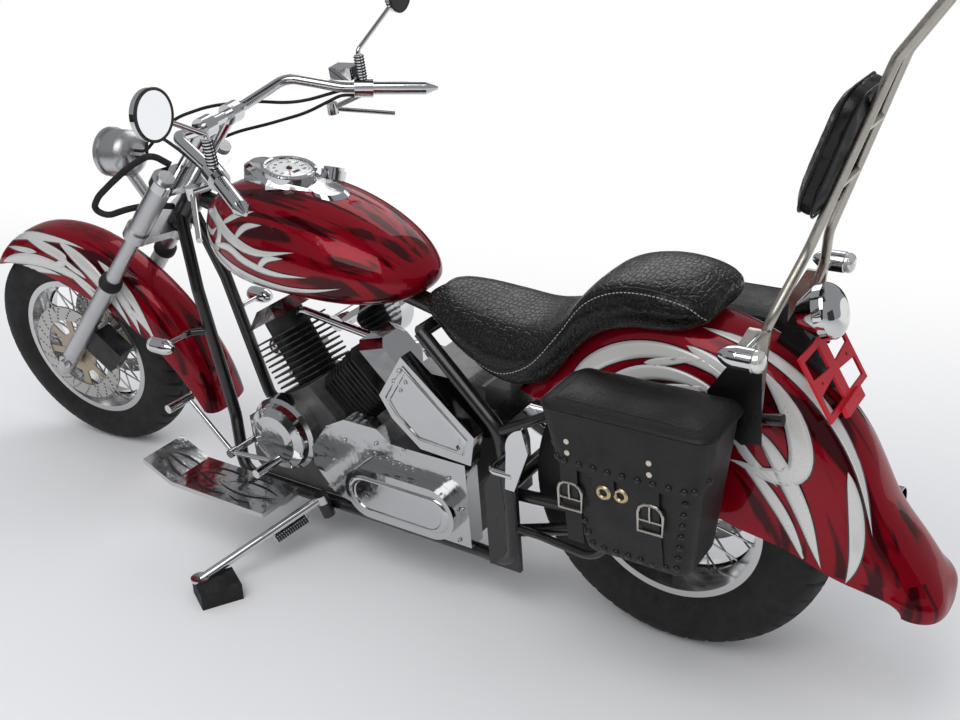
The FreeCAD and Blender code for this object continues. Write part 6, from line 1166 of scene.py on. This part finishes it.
def seam_points(drop, lift, side):
    """Points on the cushion's flank along the seam, in metres."""
    found = []
    for p in spline([(x, z - drop, 0) for x, z in SEAM], 8):
        spot, normal, _, _ = seat_skin.ray_cast(BIKE @ Vector((p.x, side * 400, p.y)),
                                                BIKE.to_3x3() @ Vector((0, -side, 0)) / MILLIMETRE, 1.0)
        if spot:
            found.append(spot + normal * lift * MILLIMETRE)
    for _ in range(3):
        eased = [(a + b * 2 + c) / 4 for a, b, c in zip(found, found[1:], found[2:])]
        found = [found[0], *eased, found[-1]]
    return found


for side, word in SIDES:
    welt = Build().tube(seam_points(0, -0.6, side), 2.3 * MILLIMETRE, 10).done("seat_welt_" + word, Matrix())
    settle(welt, "chassis", SMOOTH_LEATHER)
    stitched("seat_thread_" + word, seam_points(7, 0.2, side), 8.2, THREAD, "chassis", "seam")

# %% [markdown]
# ## Saddlebags
# Each bag is thick leather bent into a tapered box. Leather never stays a perfect box: the outer
# wall bellies and is slightly dented. The lid is a second piece, domed, with a flap that hangs
# down the outer wall. Two straps with buckles hold it, and a third with a snap between them.

# %% Bag walls
BAG_BASE, BAG_TOP, BAG_INNER, BAG_DEEP, BAG_WALL = 373, 672, 172, 158, 5
BAG_CORNER, CORNER_POINTS, SIDE_PARTS = 26, 7, 8
FLAP_DROP, FLAP_COLUMNS, FLAP_ROWS = 116, 21, 13


def bag_ring(t, inset, inner_inset=None):
    """A level, round-cornered ring of the bag, t from its base to its mouth, as (x, y)."""
    t = min(max(t, 0), 1)
    back, front = -150 - 42 * t + inset, 60 + 68 * t - inset
    inner = BAG_INNER + (inset if inner_inset is None else inner_inset)
    outer = outer_wall(t) - inset
    r = min(max(BAG_CORNER - inset, 8), (outer - inner) / 2 - 0.2)
    ring = []
    for cx, cy, a0 in ((front - r, outer - r, 0), (back + r, outer - r, 90), (back + r, inner + r, 180),
                       (front - r, inner + r, 270)):
        ring += [(cx + r * math.cos(math.radians(a0 + 15 * k)), cy + r * math.sin(math.radians(a0 + 15 * k)))
                 for k in range(CORNER_POINTS)]
    full = []
    for k, (x, y) in enumerate(ring):
        x2, y2 = ring[(k + 1) % len(ring)]
        parts = SIDE_PARTS if k % CORNER_POINTS == CORNER_POINTS - 1 else 1
        full += [(x + (x2 - x) * j / parts, y + (y2 - y) * j / parts) for j in range(parts)]
    return full


def outer_wall(t):
    """The outer wall's side distance before it swells: the bag is narrower at its base."""
    return BAG_INNER + BAG_DEEP * (0.86 + 0.14 * t)


def swollen(x, y, z, side):
    """How far the outer wall bellies and dents at a place."""
    t = min(max((z - BAG_BASE) / (BAG_TOP - BAG_BASE), 0), 1)
    belly = math.sin(math.pi * t) ** 1.5
    share = min(max((y - 285) / 25, 0), 1)
    dent = noise.noise(Vector((x, 320 * side, z)) * 0.016) * 3.0 * belly
    return share * (5.5 * belly * (1 - abs((x + 30) / 190) ** 2) + dent)


def wall_y(x, z, side):
    """The outer wall's side distance at a place."""
    t = (z - BAG_BASE) / (BAG_TOP - BAG_BASE)
    y = outer_wall(min(t, 1))
    return y + swollen(x, y, z, side)


def bag_walls(name, side):
    """The open leather box: outer skin, rolled rim, inner skin and floor."""
    levels = [(0, 9), (0.006, 4), (0.02, 1)] + [(t / 16, 0) for t in range(1, 17)]
    rows = []
    for t, inset in levels:
        z = BAG_BASE + (BAG_TOP - BAG_BASE) * t
        rows.append([(x, (y + swollen(x, y, z, side)) * side, z) for x, y in bag_ring(t, inset)])
    for t in range(16, 0, -1):
        rows.append([(x, y * side, BAG_BASE + BAG_WALL + (BAG_TOP - BAG_BASE - BAG_WALL) * t / 16)
                     for x, y in bag_ring(t / 16, BAG_WALL)])
    return Build().loft(rows).done(name)


for side, word in SIDES:
    settle(bag_walls("bag_walls_" + word, side), "chassis", BAG_LEATHER, ["saddlebags"])


# %% Lids and flaps
def flap_at(column, v, inset, side):
    """A point of the flap: a column of the bag's ring, and 0 to 1 down it."""
    s = abs(2 * column / (FLAP_COLUMNS - 1) - 1)
    drop = (FLAP_DROP - 34 * s ** 5) * v
    z = BAG_TOP + 5 - drop
    t = (z - BAG_BASE) / (BAG_TOP - BAG_BASE)
    x, y = bag_ring(t, inset, 0)[column]
    return Vector((x, (y + swollen(x, y, z, side)) * side, z))


def lid_leather(name, side):
    """The domed top and its hanging flap, as one closed form."""
    levels = [(-3, 1), (-6.5, 2), (-7.5, 5), (-5, 9), (2, 12.5), (11, 16), (24, 19.5), (42, 22.5), (62, 24),
              (77.5, 24.4)]
    rows = []
    for inset, rise in levels:
        ring = []
        for x, y in bag_ring(1, inset, max(inset, 0.4)):
            wave = noise.noise(Vector((x, y * side, 7)) * 0.018) * 1.8 if rise > 12 else 0
            ring.append((x, y * side, BAG_TOP + rise + wave))
        rows.append(ring)
    wide, deep = FLAP_COLUMNS, FLAP_ROWS
    points = [flap_at(i, j / (deep - 1), inset, side) for inset in (-7, -1.2) for j in range(deep)
              for i in range(wide)]
    m = deep * wide
    faces = grid_faces(deep, wide)
    faces += [tuple(m + k for k in f) for f in faces]
    right = [(j + 1) * wide - 1 for j in range(1, deep)]
    bottom = [(deep - 1) * wide + i for i in range(wide - 2, -1, -1)]
    left = [j * wide for j in range(deep - 2, 0, -1)]
    rim = [*range(wide), *right, *bottom, *left]
    faces += [(a, b, m + b, m + a) for a, b in zip(rim, rim[1:] + rim[:1])]
    return Build().loft(rows).add(points, faces).done(name)


# %% Straps and buckles
BUCKLES, BUCKLE_HEIGHT = (74, -88), 500
SNAP, EYELETS_HEIGHT = 4, 528
STRAP_TOP = BAG_TOP - FLAP_DROP + 22
STRAP_STEPS = 16
EYELET = [(7.5, -1), (14.5, -1), (15, 1), (12.5, 3.4), (9, 3.4), (7.2, 1), (7.5, -1)]


def strap(build, x, side, lift, top, low, width, thick, point=0):
    """A strap that lies down the bag's wall, between two heights, with a pointed or square end."""
    verts = []
    for k in range(STRAP_STEPS + 1):
        z = top + (low - top) * k / STRAP_STEPS
        y = wall_y(x, z, side) + lift
        half = width / 2 * (1 if not point or z > low + point else math.sqrt(max(0.02, (z - low) / point)))
        for dx, dy in ((-1, 0), (1, 0), (1, 1), (-1, 1)):
            verts.append((x + dx * half, (y + dy * thick) * side, z))
    last = 4 * STRAP_STEPS
    build.add(verts, grid_faces(STRAP_STEPS + 1, 4, close_columns=True)
              + [(0, 1, 2, 3), (last, last + 1, last + 2, last + 3)])


def buckle(build, x, side):
    """A horseshoe buckle with its bar and tongue, on the face of its strap."""
    w, h, z = 24, 29, BUCKLE_HEIGHT
    y = wall_y(x, z, side) + 7.4
    loop = [(-w, -h), (w, -h), (w, h * 0.35), (w * 0.86, h * 0.72), (w * 0.5, h * 0.95), (0, h),
            (-w * 0.5, h * 0.95), (-w * 0.86, h * 0.72), (-w, h * 0.35)]
    build.tube([(x + dx, y * side, z + dz) for dx, dz in loop], 3.2, 10, True)
    build.tube([(x - w, y * side, z - h * 0.2), (x + w, y * side, z - h * 0.2)], 2.0)
    tongue = [(x, (y + 2) * side, z - h * 0.2), (x, (y + 4) * side, z + h * 0.4), (x, (y + 3) * side, z + h)]
    build.tube(tongue, 1.9)


def on_wall(spots, side, lift, rising=0):
    """Places on the outer wall, from (forward, up) and a lift off it, with their direction."""
    return [((x, (wall_y(x, z, side) + lift) * side, z), (0, side, rising)) for x, z in spots]


# %% The pieces of each bag
def lid_pieces(side, word):
    """A lid with the welt and the thread along its top."""
    body, node = "lid_" + word, "bag_lid_" + word
    settle(lid_leather("lid_leather_" + word, side), body, BAG_LEATHER, [node])
    edge = [BIKE @ Vector((x, y * side, BAG_TOP + 6)) for x, y in bag_ring(1, -7.6, 1.5)]
    welt = Build().tube(edge, 2.6 * MILLIMETRE, 8, True).done("lid_welt_" + word, Matrix())
    settle(welt, body, SMOOTH_LEATHER)
    seam = [BIKE @ Vector((x, y * side, BAG_TOP + 19.2)) for x, y in bag_ring(1, 19, 19)]
    stitched("lid_thread_" + word, seam, 5.5, BLACK_THREAD, body, close=True)


def strap_pieces(side, word):
    """Straps with their buckles and eyelets on the lid, and the tabs under them on the bag."""
    body = "lid_" + word
    straps, metal, tabs, eyelets = Build(), Build(), Build(), Build()
    for x in BUCKLES:
        strap(straps, x, side, 3.6, STRAP_TOP, 452, 35, 3.2, 20)
        strap(tabs, x, side, 0.2, 520, 388, 35, 2.8)
        buckle(metal, x, side)
    strap(straps, SNAP, side, 3.4, STRAP_TOP, 506, 44, 3.2, 24)
    settle(straps.done("lid_straps_" + word), body, BAG_LEATHER)
    settle(metal.done("lid_buckles_" + word), body, NICKEL)
    settle(tabs.done("bag_tabs_" + word), "chassis", BAG_LEATHER)
    for x, lift in ((SNAP, 6.6), (SNAP - 32, 0.6)):
        for place, way in on_wall([(x, EYELETS_HEIGHT)], side, lift):
            eyelets.lathe(EYELET, stand_on(place, way))
    settle(eyelets.done("lid_eyelets_" + word), body, BRASS)


def stud_pieces(side, word):
    """Studs along the flap and round the bag's outer wall, and cream rivets on the straps."""
    body, node = "lid_" + word, "bag_lid_" + word
    edge = [(flap_at(i, 0.87, -6.9, side), Vector((max(0, (6 - i) / 5) + min(0, (14 - i) / 5), side, 0.05)))
            for i in (1, 4, *range(6, 15), 16, 19)]
    scattered("lid_studs_" + word, "stud", edge, STUD_BLACK, body)
    rivets = on_wall([(x, z) for x in BUCKLES for z in (618, 594)], side, 7.0, 0.05)
    scattered("lid_rivets_" + word, "rivet", rivets, CREAM, body)
    spots = []
    for t in (0.07, 0.155, 0.24, 0.325, 0.41, 0.495, 0.58):
        spots += [(x, BAG_BASE + (BAG_TOP - BAG_BASE) * t) for x in (36 + 68 * t, -127 - 42 * t)]
    spots += [(x, BAG_BASE + 16) for x in range(-108, 30, 25)]
    studs = on_wall(spots, side, -0.3)
    scattered("bag_studs_" + word, "stud", studs, STUD_BLACK, "chassis")


for side, word in SIDES:
    lid_pieces(side, word)
    strap_pieces(side, word)
    stud_pieces(side, word)

# %% [markdown]
# ## Dial, mirrors and lamps
# The speedometer's plain white dial lies on the tank and faces the rider. Its numbers run
# clockwise from the lower left, and its red needle rests at nought. They are letters of the plain
# built-in font, made into meshes, and the marks are thin slabs turned about the dial's middle.

# %% The speedometer
GAUGE_MIDDLE, GAUGE_TILT = (985, 0, 905), math.radians(-12)
GAUGE = BIKE @ Matrix.Translation(GAUGE_MIDDLE) @ Matrix.Rotation(GAUGE_TILT, 4, "Y")
FIRST_MARK, MARK_STEP, MARK_COUNT, DIAL_TOP = 225, 6, 46, 23.15
DIAL_WHITE = finish("dial_white", (0.80, 0.81, 0.80), 0.35, coat=1.0)[0]
INK = finish("dial_ink", (0.01, 0.01, 0.012), 0.5)[0]
NEEDLE_RED = finish("needle_red", (0.6, 0.02, 0.02), 0.4)[0]
dial = Build().lathe([(0, 22.2), (52.5, 22.2), (52.5, 23.2), (0, 23.2)], steps=64)
settle(dial.done("dial_face", GAUGE), "chassis", DIAL_WHITE)
bezel = Build().lathe([(52, 22), (63, 22), (64, 24), (62, 27.5), (58, 29), (54, 27.5), (52, 24), (52, 22)],
                      steps=64)
settle(bezel.done("dial_bezel", GAUGE), "chassis", CHROME)


def dial_place(turn, reach):
    """A point on the dial at an angle and a reach from its middle, in the gauge's own frame."""
    a = math.radians(turn)
    return Vector((math.sin(a) * reach, -math.cos(a) * reach, 0))


def crossways(start, end, half_start, half_end):
    """The outline of a straight mark, with half its width at each end."""
    across = (end - start).normalized().cross(Vector((0, 0, 1)))
    corners = (start - across * half_start, end - across * half_end, end + across * half_end,
               start + across * half_start)
    return [(p.x, p.y) for p in corners]


# %% Marks and numbers of the dial
marks = Build()
for k in range(MARK_COUNT):
    a = FIRST_MARK - MARK_STEP * k
    inner, half = (42.5, 0.8) if k % 5 == 0 else (45.5, 0.45)
    marks.slab(crossways(dial_place(a, inner), dial_place(a, 50), half, half), DIAL_TOP, DIAL_TOP + 0.35)
marks.slab([(-26, -11), (-26, 11), (-17, 11), (-17, -11)], DIAL_TOP, DIAL_TOP + 0.3)
settle(marks.done("dial_marks", GAUGE), "chassis", INK)
for k in range(10):
    font = bpy.data.curves.new("number", "FONT")
    font.body, font.size, font.extrude = str(20 * k), 9.5, 0.12
    font.align_x = font.align_y = "CENTER"
    letters = as_object("number", font)
    bpy.context.view_layer.update()
    flat = bpy.data.meshes.new_from_object(letters.evaluated_get(bpy.context.evaluated_depsgraph_get()))
    bpy.data.objects.remove(letters)
    spot = dial_place(FIRST_MARK - 5 * MARK_STEP * k, 34.5)
    upright_place = Matrix.Translation((spot.x, spot.y, 23.4)) @ Matrix.Rotation(math.radians(-90), 4, "Z")
    flat.transform(GAUGE @ upright_place)
    settle(as_object("dial_number_%d" % k, flat), "chassis", INK)

tail, tip = dial_place(FIRST_MARK - 180, 12), dial_place(FIRST_MARK, 44)
needle = Build().slab(crossways(tail, tip, 1.6, 0.4), 24.2, 25.0)
settle(needle.done("dial_needle", GAUGE), "chassis", NEEDLE_RED)
hub = Build().lathe([(0, 23), (7, 23), (6.5, 26), (4, 27), (0, 27)])
settle(hub.done("dial_hub", GAUGE), "chassis", INK)

# %% Mirrors, rubber boots, lamp glasses and fork seals
MIRROR_AT, GRIP_FOOT, HEADLIGHT_AT = (917.6, 448, 1208), (956.8, 287.3, 1017.5), (1559, 0, 920)
SIGNALS = (("front", (1366.5, 180, 480), 1), ("rear", (-241.8, 238, 800), -1))
BOOT_RIBS, BOOT_START, BOOT_STEP = 8, 27, 7
BOOT_RIB = [(9, -2.6), (12.6, -1.2), (13.2, 0.4), (12.2, 1.8), (9, 2.6)]
FORK_SPREAD = 108


def on_side(place, side):
    """A place given for the left, on the side that is asked for."""
    return Vector((place[0], place[1] * side, place[2]))


for side, word in SIDES:
    face = stand_on(on_side(MIRROR_AT, side), (-1, 0, 0))
    glass = Build().lathe([(0, -0.4), (45.5, -0.4), (45.5, 1.0), (0, 1.0)], face, 48)
    settle(glass.done("mirror_face_" + word, BARS), "front_end", MIRROR_GLASS)
    rim = Build().lathe([(45, -1), (51.2, -2), (51.6, 1), (49.5, 3), (46, 2.4), (45, -1)], face, 48)
    settle(rim.done("mirror_rim_" + word, BARS), "front_end", ENGINE_BLACK)
    boot = Build()
    for k in range(BOOT_RIBS):
        rib_at = on_side(GRIP_FOOT, side) + Vector((0, 0, BOOT_START + BOOT_STEP * k))
        boot.lathe(BOOT_RIB, Matrix.Translation(rib_at), 20)
    settle(boot.done("mirror_boot_" + word, BARS), "front_end", RUBBER)
    for end, place, way in SIGNALS:
        lens = Build().lathe([(19.6, -11), (20.2, -2), (17.5, 4), (11, 8), (0, 9.6)],
                             stand_on(on_side(place, side), (way, 0, 0)))
        settle(lens.done("signal_lens_%s_%s" % (end, word)), "chassis", SIGNAL_LENS)
    seal = Build().lathe([(20.6, 371), (30, 371), (30.6, 376), (29, 392), (24, 399), (20.6, 401)],
                         Matrix.Translation((0, FORK_SPREAD * side, 0)), 40)
    settle(seal.done("fork_seal_" + word, FORK), "front_end", RUBBER)
lens = Build().lathe([(0, 6.5), (18, 6), (36, 4), (50, 0.5), (53, -2), (0, -2)],
                     stand_on(HEADLIGHT_AT, (1, 0, 0)), 64)
settle(lens.done("headlight_lens", BARS), "front_end", LAMP_LENS)

# %% The stand's spring
HOOK_ON_FRAME, HOOK_ON_STAND = Vector((894.1, 203.7, 116.1)), Vector((924.3, 285.0, 95.8))
COIL_TURNS, COIL_STEPS, COIL_RADIUS, WIRE_RADIUS = 14, 12, 9.6, 2.8
axis = (HOOK_ON_STAND - HOOK_ON_FRAME).normalized()
first_way = axis.orthogonal().normalized()
second_way = axis.cross(first_way)
coil = []
for k in range(COIL_TURNS * COIL_STEPS + 1):
    a = 2 * math.pi * k / COIL_STEPS
    middle = HOOK_ON_FRAME.lerp(HOOK_ON_STAND, k / (COIL_TURNS * COIL_STEPS))
    coil.append(middle + (first_way * math.cos(a) + second_way * math.sin(a)) * COIL_RADIUS)
settle(Build().tube(coil, WIRE_RADIUS, 8).done("stand_coil"), "stand", ENGINE_BLACK)

# %% [markdown]
# ## Bolts, raised panels and scrolls
# Bolt heads stand on the covers, and the covers' faces have raised panels. Each place is
# (forward, up) seen from the left, and a ray finds the cover there. The floorboards carry dark
# scrolls, laid on them as the bands are on the paint.


# %% Bolts on the covers
FAR_LEFT = 500


def on_cover(node, spots):
    """Where the covers are met from the left, with their normals, in the bike's frame."""
    skin = skin_of(NODES[node])
    back = BIKE.inverted()
    found = []
    for x, z in spots:
        spot, normal, _, _ = skin.ray_cast(BIKE @ Vector((x, FAR_LEFT, z)),
                                           (BIKE.to_3x3() @ Vector((0, -1, 0))).normalized(), 1.0)
        if spot:
            found.append((back @ spot, (back.to_3x3() @ normal).normalized()))
    return found


GEAR_BOLTS = [(819, 277), (775, 343), (681, 358), (600, 366), (482, 322), (467, 164), (560, 170),
              (840, 200), (722, 166), (452, 250)]
SIDE_BOLTS, SIDE_PLUG = [(583, 569), (600, 541), (567, 546), (583, 523)], [(440, 419)]
GENERATOR_AXLE, BOLT_CIRCLE = (985, 300), 80
GENERATOR_BOLTS = [(GENERATOR_AXLE[0] + BOLT_CIRCLE * math.cos(math.radians(a)),
                    GENERATOR_AXLE[1] + BOLT_CIRCLE * math.sin(math.radians(a))) for a in range(20, 380, 45)]
for name, node, spots, material, slot in (
        ("gear_cover_bolts", "gear_cover", GEAR_BOLTS, CAST_CHROME, "gear_cover"),
        ("side_cover_bolts", "side_covers", SIDE_BOLTS, CAST_CHROME, "side_covers"),
        ("side_cover_plug", "side_covers", SIDE_PLUG, RUBBER, "hoses"),
        ("generator_bolts", "generator_cover", GENERATOR_BOLTS, CAST_CHROME, "generator_cover")):
    scattered(name, "cap", on_cover(node, spots), material, "chassis")


# %% Raised panels of the covers
def inset_outline(points, share):
    """An outline drawn in towards its middle."""
    middle = sum((Vector(p) for p in points), Vector((0, 0))) / len(points)
    return [tuple(middle + (Vector(p) - middle) * share) for p in points]


def raised(build, outline, face, rise):
    """A plate with bevelled edges on a cover's left face, from (forward, up) points."""
    build.loft([[(x, face + up, z) for x, z in inset_outline(outline, share)]
                for share, up in ((1.0, -0.5), (0.975, rise * 0.7), (0.94, rise), (0.86, rise),
                                  (0.84, rise * 0.45))])


def half_round(x, z, radius, start):
    """Half a circle of points about a middle, from an angle on."""
    return [(x + radius * math.cos(math.radians(a)), z + radius * math.sin(math.radians(a)))
            for a in range(start, start + 181, 15)]


def oblong(x0, x1, z, radius):
    """A level slot's outline."""
    return half_round(x0, z, radius, 90) + half_round(x1, z, radius, -90)


panels = Build()
raised(panels, [(572, 585), (630, 497), (605, 458), (548, 408), (428, 400), (416, 440)], 166, 4.5)
raised(panels, oblong(512, 708, 236, 46), 190, 5)
for k in range(4):
    raised(panels, oblong(690 - 36 * k, 706 - 36 * k, 330 - 4 * k, 5), 158, 4)
settle(panels.done("cover_panels"), "chassis", CAST_CHROME)


# %% Scrolls on the floorboards
def over_board(x, y):
    """A map of the boards from above: forward and side."""
    return BIKE @ Vector((x, y, RAY_START)), (BIKE.to_3x3() @ Vector((0, 0, -1))).normalized()


SCROLLS = [
    ([(912, 270), (950, 286), (1000, 296), (1060, 290), (1110, 272)], 9),
    ([(915, 262), (960, 250), (1010, 246), (1050, 254), (1080, 270)], 9),
    ([(1040, 312), (1090, 318), (1140, 312), (1185, 294)], 10),
    ([(1050, 236), (1100, 228), (1150, 234), (1190, 252)], 10),
    ([(1090, 290), (1130, 284), (1165, 270), (1190, 272)], 9), ([(1100, 250), (1140, 254), (1170, 266)], 8),
    ([(1195, 305), (1235, 300), (1270, 284)], 11), ([(1200, 240), (1240, 246), (1272, 262)], 11),
    ([(1205, 272), (1245, 274), (1285, 272)], 9), ([(960, 314), (1000, 320), (1036, 310)], 8),
    ([(965, 228), (1005, 224), (1040, 232)], 8),
]
scrolls = Build()
board_skin = skin_of(NODES["floorboards"])
for points, width in SCROLLS:
    for mirror in (1, -1):
        blade(scrolls, board_skin, over_board, points, width / BLADE_WIDTH, 0.25, mirror)
settle(scrolls.done("board_scrolls", Matrix()), "chassis", INK)
